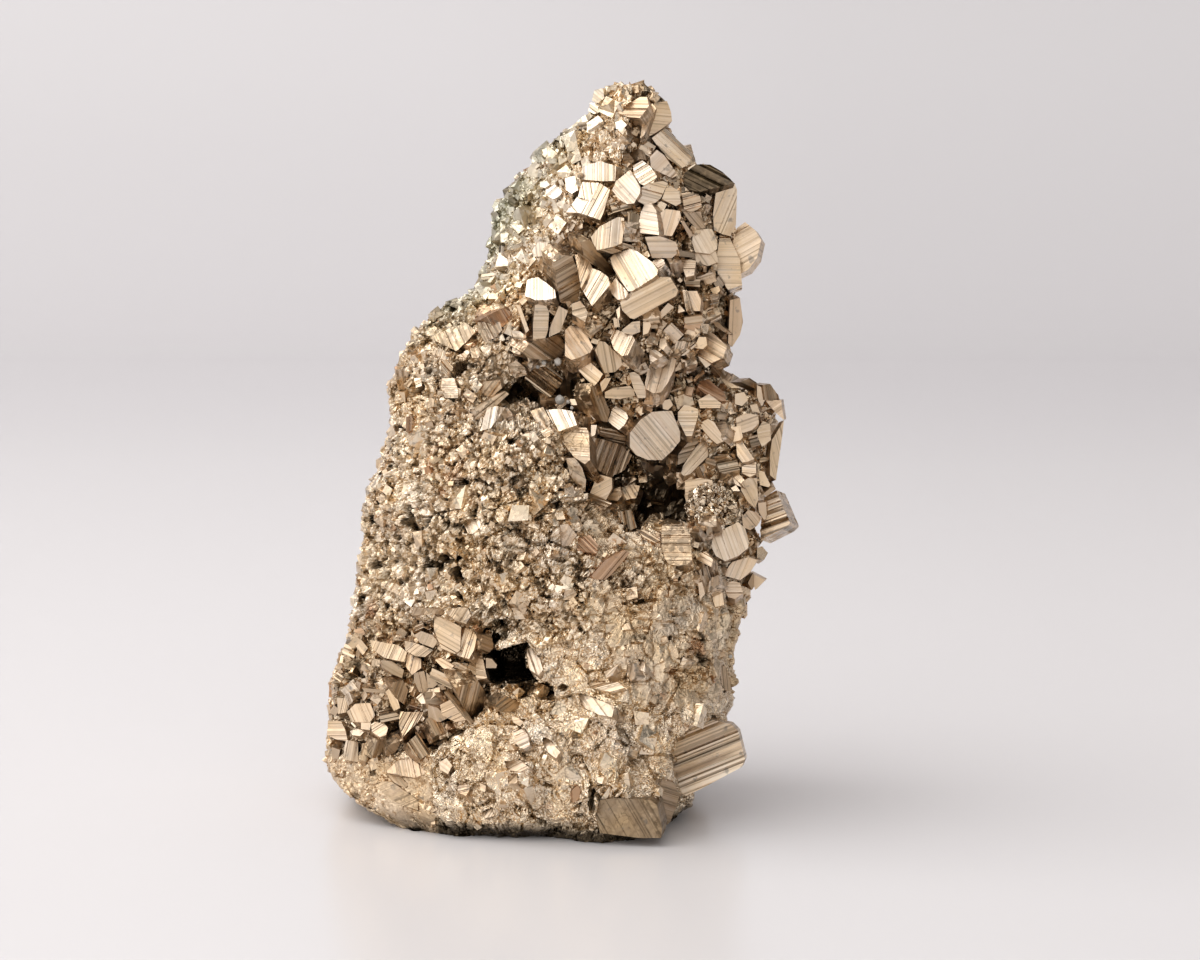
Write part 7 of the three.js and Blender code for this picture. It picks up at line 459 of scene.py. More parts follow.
  ([21.45,16.1,27.71],[0.668,0.729,-0.15],[0.539,-0.612,-0.579],2.78,1.14),
  ([11.65,8.72,91.68],[0.694,0.537,0.48],[0.215,-0.791,0.573],1.74,0.91),
  ([30.3,6.23,53.28],[0.916,-0.177,0.359],[-0.384,-0.639,0.666],2.5,1.03),
  ([-8.58,17.01,32.67],[-0.654,0.701,-0.284],[0.012,-0.366,-0.931],1.66,0.83),
  ([4.96,14.73,59.5],[0.4,0.636,0.661],[-0.738,0.651,-0.18],1.9,1.16),
  ([5.19,14.73,54.7],[-0.604,0.797,-0.008],[0.243,0.193,0.951],2.05,0.86),
  ([-4.84,18.33,62.12],[-0.419,0.823,0.383],[0.693,0.563,-0.45],2.75,0.95),
  ([20.6,7.51,63.43],[0.463,0.624,-0.629],[0.206,-0.766,-0.608],1.24,1.11),
  ([7.91,5.82,95.33],[-0.301,-0.049,0.952],[0.237,0.963,0.125],1.11,0.83),
  ([18.22,20,39.1],[-0.006,0.951,0.31],[0.99,0.05,-0.135],2.95,0.94),
  ([3.91,14.83,49.04],[0.561,0.557,-0.612],[0.434,0.432,0.791],1.72,1.23),
  ([18.05,14.7,4.83],[0.744,0.621,-0.245],[-0.569,0.398,-0.72],1.64,1.2),
  ([26.27,9.62,34.44],[0.975,0.198,-0.102],[0.087,0.083,0.993],1.73,1.14),
  ([15.01,10.3,61.66],[0.882,0.402,0.246],[-0.375,0.915,-0.149],1.18,1.05),
  ([-1.03,19.34,22.48],[-0.293,0.879,0.376],[0.243,0.449,-0.86],2.12,1.13),
  ([14.5,18.2,35.78],[-0.872,0.415,0.258],[-0.468,-0.862,-0.195],1.72,0.82),
  ([-28.97,6,21.04],[-0.72,-0.518,0.461],[0.338,0.318,0.886],2.05,0.95),
  ([-12.26,10.34,63.21],[-0.312,0.886,-0.344],[0.927,0.205,-0.313],1.14,0.83),
  ([-3.76,9.9,72.76],[-0.54,0.255,0.802],[0.688,-0.415,0.596],2.14,0.98),
  ([3.36,15.19,35.06],[-0.143,0.35,-0.926],[0.433,0.863,0.26],1.7,1.17),
  ([-17.08,19.18,31.79],[-0.107,0.992,-0.069],[-0.922,-0.125,-0.366],1.7,0.83),
  ([-0.68,15.76,36.21],[-0.097,0.797,0.596],[0.673,0.494,-0.551],1.27,1.12),
  ([12.6,12.43,81.33],[0.01,0.983,0.185],[-0.977,0.05,-0.209],1.86,1.18),
  ([-0.36,16.42,53.82],[0.917,-0.133,0.376],[-0.2,0.661,0.723],1.21,0.83),
  ([-5.79,19.32,14.09],[0.066,0.845,0.531],[-0.807,-0.268,0.526],1.78,1.14),
  ([-15.46,18.65,4],[-0.278,0.955,-0.1],[0.934,0.245,-0.261],1.39,0.86),
  ([-0.86,16.47,32.55],[0.065,0.814,0.577],[-0.382,-0.514,0.768],1.15,0.9),
  ([-22.01,9.94,43.15],[-0.968,-0.212,0.137],[-0.208,0.364,-0.908],3.57,0.82),
  ([0.04,20.69,17.72],[-0.402,0.466,0.788],[-0.828,0.183,-0.53],2.15,1.04),
  ([11.17,16.46,35.76],[-0.444,0.878,0.18],[-0.522,-0.417,0.744],1.82,1.21),
  ([-4.09,15.57,39.45],[-0.419,0.865,0.276],[-0.889,-0.452,0.069],1.24,1.16),
  ([12.6,18.87,18.44],[0.191,0.948,0.255],[0.46,0.143,-0.876],1.6,0.83),
  ([27.3,6.81,32.99],[0.994,0.014,0.111],[0.04,0.884,-0.466],1.28,1.12),
  ([-14.25,16.73,36.82],[-0.575,0.401,-0.713],[0.683,-0.244,-0.689],2.06,0.91),
  ([18.83,4.88,89.53],[0.728,0.635,0.257],[0.632,-0.768,0.107],1.67,1.17),
  ([12.52,17.18,2.79],[0.364,-0.904,-0.225],[-0.242,-0.325,0.914],1.7,0.85),
  ([3.06,22.66,15.92],[-0.499,0.855,0.141],[0.79,0.516,-0.332],2.17,0.87),
  ([0.18,17.16,59.09],[0.221,0.96,0.172],[-0.852,0.105,0.512],2.27,0.88),
  ([30.65,-1.55,52.25],[0.168,-0.97,-0.176],[-0.112,0.158,-0.981],1.05,0.89),
  ([6.57,12.67,59.73],[-0.601,0.724,-0.338],[-0.776,-0.429,0.462],3.35,1.12),
  ([-31.11,8.79,7.93],[-0.975,0.221,-0.032],[-0.221,-0.975,-0.017],2.12,1.05),
  ([-10.16,13.76,56.42],[-0.465,0.722,0.512],[0.584,-0.184,0.791],1.16,1.08),
  ([19.87,-9.73,47.4],[0.998,-0.063,0.016],[0.039,0.384,-0.922],1.32,1.03),
  ([20.95,16.35,40.92],[0.768,0.562,-0.309],[0.119,-0.598,-0.792],1.54,1.13),
  ([3.12,15.51,45.52],[-0.646,0.763,0.027],[0.562,0.452,0.693],1.8,0.98),
  ([-28.97,13.44,3.73],[-0.827,0.088,-0.555],[-0.486,-0.608,0.627],2.04,0.95),
  ([6.93,11.94,86.45],[-0.522,0.845,0.119],[-0.124,-0.213,0.969],3.24,1.04),
  ([-7.61,6.08,76.73],[-0.584,0.694,0.421],[0.134,0.594,-0.793],1.58,1.18),
  ([7.01,12.34,81.55],[-0.544,0.814,0.203],[0.774,0.58,-0.253],1.41,1.05),
  ([16.27,18.01,26.9],[0.219,0.903,-0.371],[-0.975,0.22,-0.039],1.88,0.98),
  ([24.03,4.25,65.03],[0.588,0.682,0.434],[-0.727,0.681,-0.084],1.46,0.84),
]
# rim of the open cavity
HOLE = [(-8.48,-20.01,24.56), (-6.88,-20.01,25.38), (-5.14,-20.01,26.06), (-3.81,-20.01,26.6), (-2.74,-20.01,26.73), (-2.35,-20.01,26.06), (-3.02,-20.01,24.7), (-2.75,-20.01,23.34), (-1.82,-20.01,22.39), (-1.43,-20.01,21.58), (-2.23,-20.01,20.9), (-3.83,-20.01,21.03), (-5.83,-20.01,21.03), (-7.17,-20.01,20.76), (-8.36,-20.01,21.31), (-8.49,-20.01,22.66)]
# regions of the front, as outlines in x and z
REGIONS = [
  ('glitter', [(6.3,101.8), (12.2,101.8), (11.1,95.2), (9.8,89.9), (5.5,89.9), (3.1,82.7), (1.2,77.9), (-3.9,74.5), (-7,71.1), (-15,70), (-10.9,74.7), (-9.5,82.2), (-2.6,91.7), (4.8,97.1)]),
  ('bump', [(22.5,62), (34.2,59.1), (34.2,46.1), (34.3,35.2), (29.9,31.1), (30.1,28.4), (20.2,31.7), (18.9,42), (20.3,57.9)]),
  ('crystals', [(12.2,101.8), (16.3,101.8), (21.1,91), (28.5,88.4), (30.6,78.9), (28.5,70.9), (27.9,65.4), (22.5,62), (20.3,57.9), (18.9,42), (12.3,43.7), (5.5,45.1), (3.5,54.4), (-0.6,57.1), (-4,61.7), (-3.9,71.3), (-0.5,77.2), (3.1,82.7), (5.5,89.9), (9.8,89.9), (11.1,95.2)]),
  ('granular2', [(-23.1,61.3), (-19.1,68), (-15,70), (-7,71.1), (-3.9,71.3), (-4,61.7), (-6.6,57.3), (-20.2,53.5), (-23.8,57.2)]),
  ('granular', [(-24.5,57.9), (-20.2,53.5), (-6.6,57.3), (-0.6,57.1), (4.8,53.6), (5.5,45.1), (5.5,27.4), (-9.1,29.4), (-28.8,26.8), (-24.5,49.2)]),
  ('facets', [(5.5,45.1), (12.3,43.7), (18.9,42), (20.2,31.7), (30.2,29.7), (28.8,15.9), (12.1,18.7), (6.8,27.5), (5.5,27.4)]),
  ('cubes', [(-29.5,26.8), (-9.1,29.4), (-6.5,18.8), (-15.9,11.8), (-33,7.8), (-31.6,20.1)]),
  ('broken', [(-15.9,12.4), (-6.5,18.8), (-6.4,26.9), (6.8,27.5), (12.1,19.4), (28.8,15.9), (26,2.7), (15.7,-3.5), (-14.6,-1.8), (-15.9,6.4)]),
  ('corner', [(-33,8.5), (-15.9,11.8), (-15.7,-1.9), (-28.3,-2.5)]),
]
# clefts, sunk into the front and painted with shade inside: middle x and z, half sizes, turn in degrees, depth
CLEFTS = [
  (-1.28, 59.13, 5.18, 1.23, 0, 2.6),
  (-18.53, 59.05, 1.77, 0.82, 40, 2),
  (-11.94, 62.26, 1.09, 0.82, 45, 2.2),
  (-12.68, 65.15, 1.77, 0.41, -30, 1.6),
  (8.88, 48.15, 4.09, 2.18, 25, 2.2),
  (16.16, 43.62, 1.91, 1.64, 0, 3),
  (12.26, 42.76, 3, 0.95, 20, 1.6),
  (-12.3, 35.69, 0.61, 1.36, 0, 2.4),
  (-13.52, 37.47, 1.77, 0.48, 5, 2),
  (12.14, 32.26, 2.45, 0.27, 5, 0.9),
  (16.41, 27.22, 0.41, 0.34, 0, 0.8),
  (5.79, 5.86, 0.27, 1.77, 0, 1.2),
  (13.49, 67.71, 0.68, 0.82, 0, 2),
  (-5.89, 66.68, 0.55, 0.82, 0, 1.5),
  (24.92, 29.78, 0.55, 1.09, 0, 1.8),
  (-14.57, 16.8, 2.18, 0.82, 20, 1.6),
  (-21.19, 14.01, 1.36, 1.36, 0, 1.4),
  (-17.28, 12.95, 2.18, 1.36, 0, 1.4),
  (-2.46, 20.32, 3.54, 1.23, 0, 2.2),
  (-7.11, 26.92, 1.64, 0.55, 30, 1.5),
  (6.31, 51.14, 3, 1.91, 0, 1.6),
  (18.84, 78.81, 0.68, 3, 0, 1.2),
  (7.65, 78.18, 1.09, 0.82, 0, 1.4),
  (-1.19, 68.69, 1.09, 2.45, 0, 0.8),
  (2.16, 65.45, 1.91, 0.82, -20, 1),
  (25.74, 50.36, 0.95, 1.36, 0, 1.4),
  (23.31, 49.71, 0.95, 1.23, 0, 1.2),
  (28.88, 51.92, 0.82, 0.95, 0, 1),
  (3.48, 58.48, 1.36, 1.09, 0, 1.6),
]
BALL = [21.95, -12.23, 43.35]
SPECKS = [(1.44,-9.48,57.68), (1.19,-10.3,62.93), (-0.7,-9.59,62.72), (-1.53,-8.81,62.09), (2.53,-10.34,57.51), (3.08,-11.72,56.86), (24.6,-9.28,22.48)]

# ---------------------------------------------------------------- camera
cam_data = bpy.data.cameras.new("camera")
cam_data.lens = 100.0
cam_data.sensor_width = 36.0
cam_data.clip_start = 0.02
cam_data.clip_end = 20.0
cam = bpy.data.objects.new("camera", cam_data)
bpy.context.scene.collection.objects.link(cam)
bpy.context.scene.camera = cam
CAM_POS = Vector((6.846, -456.718, 109.630)) * MM
CAM_AIM = Vector((6.846, -11.097, 47.002)) * MM
cam.location = CAM_POS
cam.rotation_mode = "QUATERNION"
cam.rotation_quaternion = (CAM_AIM - CAM_POS).to_track_quat("-Z", "Y")
TO_CAM = np.array((CAM_POS - CAM_AIM).normalized())
SIDE = np.array([1.0, 0.0, 0.0])
UPV = np.cross(TO_CAM, SIDE); UPV = -UPV if UPV[2] < 0 else UPV


# ---------------------------------------------------------------- helpers
def unit(v):
    v = np.asarray(v, float)
    return v / np.maximum(np.linalg.norm(v, axis=-1, keepdims=True), 1e-12)


def hash01(*a):
    """Repeatable pseudo random numbers from whole numbers, as arrays."""
    h = np.zeros_like(np.asarray(a[0]), dtype=np.uint64) + np.uint64(0x9E3779B97F4A7C15)
    for x in a:
        h ^= (np.asarray(x).astype(np.int64).astype(np.uint64) + np.uint64(0x9E3779B97F4A7C15) + (h << np.uint64(6)) + (h >> np.uint64(2)))
        h *= np.uint64(0xBF58476D1CE4E5B9)
        h ^= h >> np.uint64(29)
        h *= np.uint64(0x94D049BB133111EB)
        h ^= h >> np.uint64(31)
    return (h >> np.uint64(11)).astype(np.float64) / float(1 << 53)


def value_noise(p, scale, seed):
    """Smooth value noise in -1..1 at points p (n,3), one cell per `scale`."""
    q = p / scale
    i = np.floor(q).astype(np.int64)
    f = q - i
    f = f * f * (3 - 2 * f)
    out = np.zeros(len(p))
    for dx in (0, 1):
        for dy in (0, 1):
            for dz in (0, 1):
                w = (f[:, 0] if dx else 1 - f[:, 0]) * (f[:, 1] if dy else 1 - f[:, 1]) * (f[:, 2] if dz else 1 - f[:, 2])
                out += w * (hash01(i[:, 0] + dx, i[:, 1] + dy, i[:, 2] + dz, np.full(len(p), seed)) * 2 - 1)
    return out


def mix64(x, y, z, seed):
    """One 64-bit hash per lattice cell."""
    h = x.astype(np.uint64) * np.uint64(0x9E3779B97F4A7C15)
    h ^= y.astype(np.uint64) * np.uint64(0xC2B2AE3D27D4EB4F)
    h ^= z.astype(np.uint64) * np.uint64(0x165667B19E3779F9)
    h += np.uint64(seed * 7919 + 12345)
    h ^= h >> np.uint64(33)
    h *= np.uint64(0xFF51AFD7ED558CCD)
    h ^= h >> np.uint64(33)
    h *= np.uint64(0xC4CEB9FE1A85EC53)
    h ^= h >> np.uint64(33)
    return h


def bits(h, k):
    return ((h >> np.uint64(16 * k)) & np.uint64(0xFFFF)).astype(np.float64) / 65535.0


def cells(p, cell, seed):
    """Cells round random centres. Returns per point: the height of its cell's own
    tilted plane (about -1..1), a dome (1 at the centre, 0 near the rim), how near
    the border between two cells it lies (1 on the border) and the cell's number."""
    q = p / cell
    base = np.floor(q).astype(np.int64)
    d1 = np.full(len(p), 1e9)
    d2 = np.full(len(p), 1e9)
    hgt = np.zeros(len(p)); ident = np.zeros(len(p))
    for dx in (-1, 0, 1):
        for dy in (-1, 0, 1):
            for dz in (-1, 0, 1):
                c0, c1, c2 = base[:, 0] + dx, base[:, 1] + dy, base[:, 2] + dz
                h = mix64(c0, c1, c2, seed)
                ox = q[:, 0] - c0 - bits(h, 0); oy = q[:, 1] - c1 - bits(h, 1); oz = q[:, 2] - c2 - bits(h, 2)
                dist = ox * ox + oy * oy + oz * oz
                near = dist < d1
                d2 = np.where(near, d1, np.minimum(d2, dist))
                k = np.where(near)[0]
                if len(k):
                    g = mix64(c0[k], c1[k], c2[k], seed + 77)
                    hgt[k] = 0.9 * (bits(h[k], 3) - 0.5) + 0.9 * (ox[k] * (2 * bits(g, 0) - 1) + oy[k] * (2 * bits(g, 1) - 1) + oz[k] * (2 * bits(g, 2) - 1))
                    ident[k] = bits(g, 3)
                d1 = np.where(near, dist, d1)
    d1, d2 = np.sqrt(d1), np.sqrt(d2)
    return hgt, np.clip(1 - 1.9 * d1 * d1, -0.6, 1), np.clip(1 - (d2 - d1) / 0.14, 0, 1), ident


def in_poly(x, z, poly):
    poly = np.asarray(poly, float)
    inside = np.zeros(len(x), bool)
    j = len(poly) - 1
    for i in range(len(poly)):
        xi, zi = poly[i]; xj, zj = poly[j]
        cross = ((zi > z) != (zj > z)) & (x < (xj - xi) * (z - zi) / ((zj - zi) if zj != zi else 1e-9) + xi)
        inside ^= cross
        j = i
    return inside


def poly_dist(x, z, poly):
    """Distance in mm from points to the polygon's outline."""
    poly = np.asarray(poly, float)
    best = np.full(len(x), 1e9)
    for i in range(len(poly)):
        a = poly[i - 1]; b = poly[i]
        ab = b - a
        t = np.clip(((x - a[0]) * ab[0] + (z - a[1]) * ab[1]) / max((ab ** 2).sum(), 1e-9), 0, 1)
        d = np.hypot(x - a[0] - ab[0] * t, z - a[1] - ab[1] * t)
        best = np.minimum(best, d)
    return best


class Bag:
    """Collects polygons of many closed bodies into one mesh."""

    def __init__(self):
        self.v, self.loops, self.sizes = [], [], []
        self.n = 0
        self.attr = {"tint": [], "rough": [], "rust": [], "dark": [], "facet": []}
        self.uv = []

    def add(self, verts, faces_flat, sizes, tint, rough, rust=0.0, dark=0.0, uv=None, facet=0.5):
        """verts (n,3), faces_flat indices, sizes per face; attributes scalar or per face."""
        k = len(sizes)
        self.v.append(np.asarray(verts, np.float64))
        self.loops.append(np.asarray(faces_flat, np.int64) + self.n)
        self.sizes.append(np.asarray(sizes, np.int64))
        self.n += len(verts)
        for name, val in (("tint", tint), ("rough", rough), ("rust", rust), ("dark", dark), ("facet", facet)):
            self.attr[name].append(np.broadcast_to(np.asarray(val, np.float32), (k,)))
        m = len(faces_flat)
        self.uv.append(np.zeros((m, 2), np.float32) if uv is None else np.asarray(uv, np.float32))

    def make(self, name, material):
        v = np.concatenate(self.v) * MM
        v[:, 2] = np.maximum(v[:, 2], 0.0)      # nothing reaches below the table
        loops = np.concatenate(self.loops)
        sizes = np.concatenate(self.sizes)
        me = bpy.data.meshes.new(name)
        me.vertices.add(len(v))
        me.vertices.foreach_set("co", v.astype(np.float32).ravel())
        me.loops.add(len(loops))
        me.loops.foreach_set("vertex_index", loops.astype(np.int32))
        me.polygons.add(len(sizes))
        start = np.concatenate([[0], np.cumsum(sizes)[:-1]])
        me.polygons.foreach_set("loop_start", start.astype(np.int32))
        me.polygons.foreach_set("loop_total", sizes.astype(np.int32))
        me.polygons.foreach_set("use_smooth", np.zeros(len(sizes), bool))
        uv = me.uv_layers.new(name="grain")
        uv.data.foreach_set("uv", np.concatenate(self.uv).ravel())
        for a, parts in self.attr.items():
            at = me.attributes.new(a, "FLOAT", "FACE")
            at.data.foreach_set("value", np.concatenate(parts).astype(np.float32))
        me.update(calc_edges=True)
        me.validate(clean_customdata=False)
        ob = bpy.data.objects.new(name, me)
        bpy.context.scene.collection.objects.link(ob)
        me.materials.append(material)
        tris = int((sizes - 2).sum())
        print("piece", name, "tris", tris)
        return ob


# ---------------------------------------------------------------- macro surface
R0 = np.array(RINGS, float)                     # (levels, around, 3)


def catmull(a, m, axis, closed):
    """Catmull-Rom upsampling of an array along an axis, m steps per span."""
    a = np.moveaxis(a, axis, 0)
    n = len(a)
    out = []
    spans = n if closed else n - 1
    for i in range(spans):
        if closed:
            p0, p1, p2, p3 = a[(i - 1) % n], a[i], a[(i + 1) % n], a[(i + 2) % n]
        else:
            p1, p2 = a[i], a[i + 1]
            p0 = a[i - 1] if i > 0 else 2 * p1 - p2
            p3 = a[i + 2] if i + 2 < n else 2 * p2 - p1
        for k in range(m):
            t = k / m
            out.append(0.5 * ((2 * p1) + (-p0 + p2) * t + (2 * p0 - 5 * p1 + 4 * p2 - p3) * t * t + (-p0 + 3 * p1 - 3 * p2 + p3) * t ** 3))
    if not closed:
        out.append(a[-1])
    return np.moveaxis(np.array(out), 0, axis)


def even(grid, front_cols, cols_f, cols_b, rows):
    """Resample the grid by arc length: fine across the front, coarser behind."""
    g = []
    for ring in grid:
        parts = []
        for piece, n in ((ring[:front_cols + 1], cols_f), (np.vstack([ring[front_cols:], ring[:1]]), cols_b)):
            s = np.concatenate([[0], np.cumsum(np.linalg.norm(np.diff(piece, axis=0), axis=1))])
            t = np.linspace(0, s[-1], n, endpoint=False)
            parts.append(np.stack([np.interp(t, s, piece[:, k]) for k in range(3)], 1))
        g.append(np.vstack(parts))
    g = np.array(g)
    seg = np.linalg.norm(np.diff(g, axis=0), axis=2)[:, :cols_f].mean(1)
    s = np.concatenate([[0], np.cumsum(seg)])
    t = np.linspace(0, s[-1], rows)
    out = np.empty((rows, g.shape[1], 3))
    for j in range(g.shape[1]):
        for k in range(3):
            out[:, j, k] = np.interp(t, s, g[:, j, k])
    return out


def grid_normals(g):
    du = np.roll(g, -1, 1) - np.roll(g, 1, 1)
    dv = np.empty_like(g)
    dv[1:-1] = g[2:] - g[:-2]
    dv[0] = g[1] - g[0]
    dv[-1] = g[-1] - g[-2]
    n = np.cross(du, dv)
    n = unit(n)
    cen = g.mean(1, keepdims=True)
    if ((g - cen) * n).sum() < 0:
        n = -n
    return n


fine = catmull(catmull(R0, 4, 1, True), 4, 0, False)
NROW, COLS_F, COLS_B = 586, 380, 112
NCOL = COLS_F + COLS_B
SURF = even(fine, 22 * 4, COLS_F, COLS_B, NROW)
NRM = grid_normals(SURF)

# smooth normals a little so that what is set into the surface stands evenly
for _ in range(3):
    NRM = unit(NRM + np.roll(NRM, 1, 1) + np.roll(NRM, -1, 1) + np.vstack([NRM[:1], NRM[:-1]]) + np.vstack([NRM[1:], NRM[-1:]]))

P = SURF.reshape(-1, 3)
N = NRM.reshape(-1, 3)
FRONT = (N @ TO_CAM)                            # how far each point faces the front


def region_of(p, n):
    """Number of the region each surface point belongs to; 0 is the back and flanks."""
    r = np.zeros(len(p), int)
    f = (n @ TO_CAM) > 0.02
    for k, (name, poly) in enumerate(REGIONS, start=1):
        m = in_poly(p[:, 0], p[:, 2], poly) & f & (r == 0)
        r[m] = k
    # front points outside every polygon take the nearest one
    left = f & (r == 0)
    if left.any():
        x, z = p[left, 0], p[left, 2]
        d = np.stack([poly_dist(x, z, poly) for _, poly in REGIONS], 1)
        r[left] = d.argmin(1) + 1
    return r


REG = region_of(P, N)
RNAME = ["back"] + [n for n, _ in REGIONS]
RID = {n: i for i, n in enumerate(RNAME)}

# ---- relief of the matrix, as lengths in mm per region: tilted facets in cells of
# 4.2, 1.9, 1.0 and 0.55 mm, domes (1.9, 1.0, 0.55), creases between cells (1.9, 1.0),
# crinkles (2.6, 1.2, 0.6), lumps, pits, and how deep the whole lies below the crystals.
RELIEF = {
    #             facets              domes          creases    crinkles        lump pit  sink
    "back":      (.60, .42, .22, .08, .12, .12, .05, .20, .12, .14, .12, .06, .50, .6, .45),
    "glitter":   (.45, .38, .22, .12, .20, .16, .09, .24, .14, .20, .18, .10, .45, .6, .30),
    "crystals":  (.50, .40, .20, .10, .00, .00, .00, .30, .20, .10, .10, .00, .30, .9, 1.10),
    "bump":      (.50, .35, .18, .08, .10, .10, .05, .25, .15, .10, .10, .00, .30, .7, .75),
    "granular":   (.75, .50, .28, .10, .20, .10, .05, .42, .20, .34, .24, .10, 1.35, .85, .05),
    "granular2":  (.50, .40, .24, .10, .20, .12, .06, .32, .18, .24, .16, .06, .70, .8, .20),
    "facets":     (.44, .24, .10, .04, .02, .01, .01, .14, .07, .28, .20, .09, .42, .20, .10),
    "broken":     (.80, .34, .12, .04, .02, .01, .00, .10, .05, .60, .36, .12, .60, .25, .10),
    "corner":    (.25, .08, .06, .07, .08, .10, .08, .03, .03, .08, .10, .08, .35, .3, .15),
    "cubes":     (.55, .40, .20, .08, .00, .00, .00, .30, .20, .14, .14, .06, .40, .8, .95),
}
AMP = np.array([RELIEF[n] for n in RNAME])[REG]
# soften the steps between regions
AMPG = AMP.reshape(NROW, NCOL, -1)
for _ in range(14):
    AMPG = (AMPG + np.roll(AMPG, 1, 1) + np.roll(AMPG, -1, 1) + np.concatenate([AMPG[:1], AMPG[:-1]]) + np.concatenate([AMPG[1:], AMPG[-1:]])) / 5
AMP = AMPG.reshape(len(P), -1)
warp = np.stack([value_noise(P, 1.6, 71 + k) for k in range(3)], 1)
fine_warp = np.stack([value_noise(P, 0.7, 81 + k) for k in range(3)], 1)
f1, o1, e1, id1 = cells(P + warp * 0.5, 4.2, 11)
f2, o2, e2, id2 = cells(P + warp * 0.35 + fine_warp * 0.12, 1.9, 31)
f3, o3, e3, id3 = cells(P + warp * 0.2 + fine_warp * 0.12, 1.0, 51)
f4, o4, e4, id4 = cells(P + fine_warp * 0.08, 0.55, 61)
PW = P + warp * 0.7 + fine_warp * 0.2
PW2 = PW + np.stack([value_noise(P, 3.1, 171 + k) for k in range(3)], 1) * 1.5
ridge = [1 - 2.8 * np.abs(value_noise(PW2 * np.array([1.0, 1.0, 0.75]), c_, 90 + k)) for k, c_ in enumerate((2.5, 1.15, 0.55))]
# painted shade between the crystals: how much darker the matrix is painted there
gap_shade_w = np.array([{"crystals": 0.42, "bump": 0.30, "cubes": 0.42, "glitter": 0.12}.get(n, 0.0) for n in RNAME])[REG]
lump = value_noise(P, 7.0, 5) * 0.6 + 0.45 * value_noise(P, 3.2, 6)
patch = np.clip(value_noise(P, 3.6, 9) * 1.6 + 0.1, 0, 1)      # patches of rougher ground
pit = np.clip(value_noise(P + warp * 0.5, 1.25, 13) * 0.8 + value_noise(P, 3.0, 14) * 0.6 - 0.46, 0, 1)
calm = np.isin(REG, [RID["facets"], RID["corner"]])
rough_w = np.where(calm, 0.35 + 2.2 * patch, 1.0)
rel = AMP[:, 0] * f1
for k, f_ in ((1, f2), (2, f3), (3, f4)):
    rel = rel + AMP[:, k] * f_ * rough_w
for k, f_ in ((4, o2), (5, o3), (6, o4)):
    rel = rel + AMP[:, k] * (f_ - 0.3) * rough_w
rel = rel - AMP[:, 7] * e2 * np.maximum(rough_w, 0.6) - AMP[:, 8] * e3 * rough_w
for k in range(3):
    rel = rel + AMP[:, 9 + k] * 0.5 * ridge[k]
seam = np.array([{"broken": 1.0, "facets": 0.7, "corner": 0.4}.get(n, 0.0) for n in RNAME])[REG] * np.clip(e1 * 1.25 - 0.25, 0, 1) ** 1.5
rel = rel - 0.36 * seam
rel = rel + AMP[:, 12] * lump - AMP[:, 13] * pit * 2.6 - AMP[:, 14]
P2 = P + N * rel[:, None]
# painted shade: the matrix colour is darkened in its creases, pits, folds and seams, and carried to the dark attribute
painted_shade = np.clip(AMP[:, 7] * e2 * 1.6 * np.maximum(rough_w, 0.6) + AMP[:, 8] * e3 * 1.2 * rough_w, 0, 0.45) + np.clip(pit * 2.0, 0, 0.7)
painted_shade = painted_shade + gap_shade_w * np.clip(0.75 - 0.9 * f1 - 0.5 * lump, 0.2, 1.2)
fold_shade = np.clip(0.5 - ridge[0] * 0.5 - ridge[1] * 0.25, 0, 1) ** 2
painted_shade = painted_shade * np.where(REG == RID["glitter"], 0.45, np.where(REG == RID["broken"], 0.40, np.where(REG == RID["facets"], 0.80, 1.0)))
painted_shade = painted_shade + np.where(REG == RID["broken"], 0.06 * fold_shade, np.where(REG == RID["facets"], 0.16 * fold_shade, 0.0))

painted_shade = painted_shade + 0.27 * seam * np.clip(0.6 + 0.8 * value_noise(P, 2.2, 611), 0, 1)

# the open cavity: the surface runs in behind the rim
HOLE_XZ = np.array([[h[0], h[2]] for h in HOLE])
HOLE_Y = float(np.mean([h[1] for h in HOLE]))
front_pts = FRONT > 0.05
ins = in_poly(P[:, 0], P[:, 2], HOLE_XZ) & front_pts
dh = poly_dist(P[:, 0], P[:, 2], HOLE_XZ)
push = np.where(ins, np.clip(dh / 0.7, 0, 1) * 11.0, 0.0)
P2[:, 1] += push

# gaps and cracks: short clefts sunk into the front, with uneven outlines, painted with shade inside
CLEFT_EDGE = 0.55 * value_noise(P, 1.1, 207) + 0.30 * value_noise(P, 0.6, 208)
for (cx, cz, rx, rz, ang, dep) in CLEFTS:
    ca, sa = math.cos(math.radians(ang)), math.sin(math.radians(ang))
    dx, dz = P[:, 0] - cx, P[:, 2] - cz
    a = (dx * ca + dz * sa) / rx
    b = (-dx * sa + dz * ca) / rz
    q = np.sqrt(a * a + b * b) + CLEFT_EDGE
    w = np.clip(1.35 - q, 0, 1)
    w = w * w * (3 - 2 * w)
    P2 -= (N * (w * dep * 1.5)[:, None]) * front_pts[:, None]
    painted_shade = painted_shade + np.where(front_pts, np.clip(w * 1.3 - 0.3, 0, 1) * 0.8, 0)

# what lies under a crystal face stays behind that face
CAMP = np.array(CAM_POS) / MM
FWD = -TO_CAM


def screen(p):
    q = p - CAMP
    w = q @ FWD
    return np.stack([(q @ SIDE) / w, (q @ UPV) / w], 1) * 450.0


FACE_XY, FACE_C, FACE_N = [], [], []
for (_cls, _st, _C, _Zn, _X, _poly) in FACES:
    Z = unit(_Zn); X = np.array(_X, float); X = unit(X - Z * X.dot(Z)); Y = np.cross(Z, X)
    w3 = np.array(_C, float) + np.array([q[0] * X + q[1] * Y for q in _poly])
    FACE_XY.append(screen(w3)); FACE_C.append(np.array(_C, float)); FACE_N.append(Z)


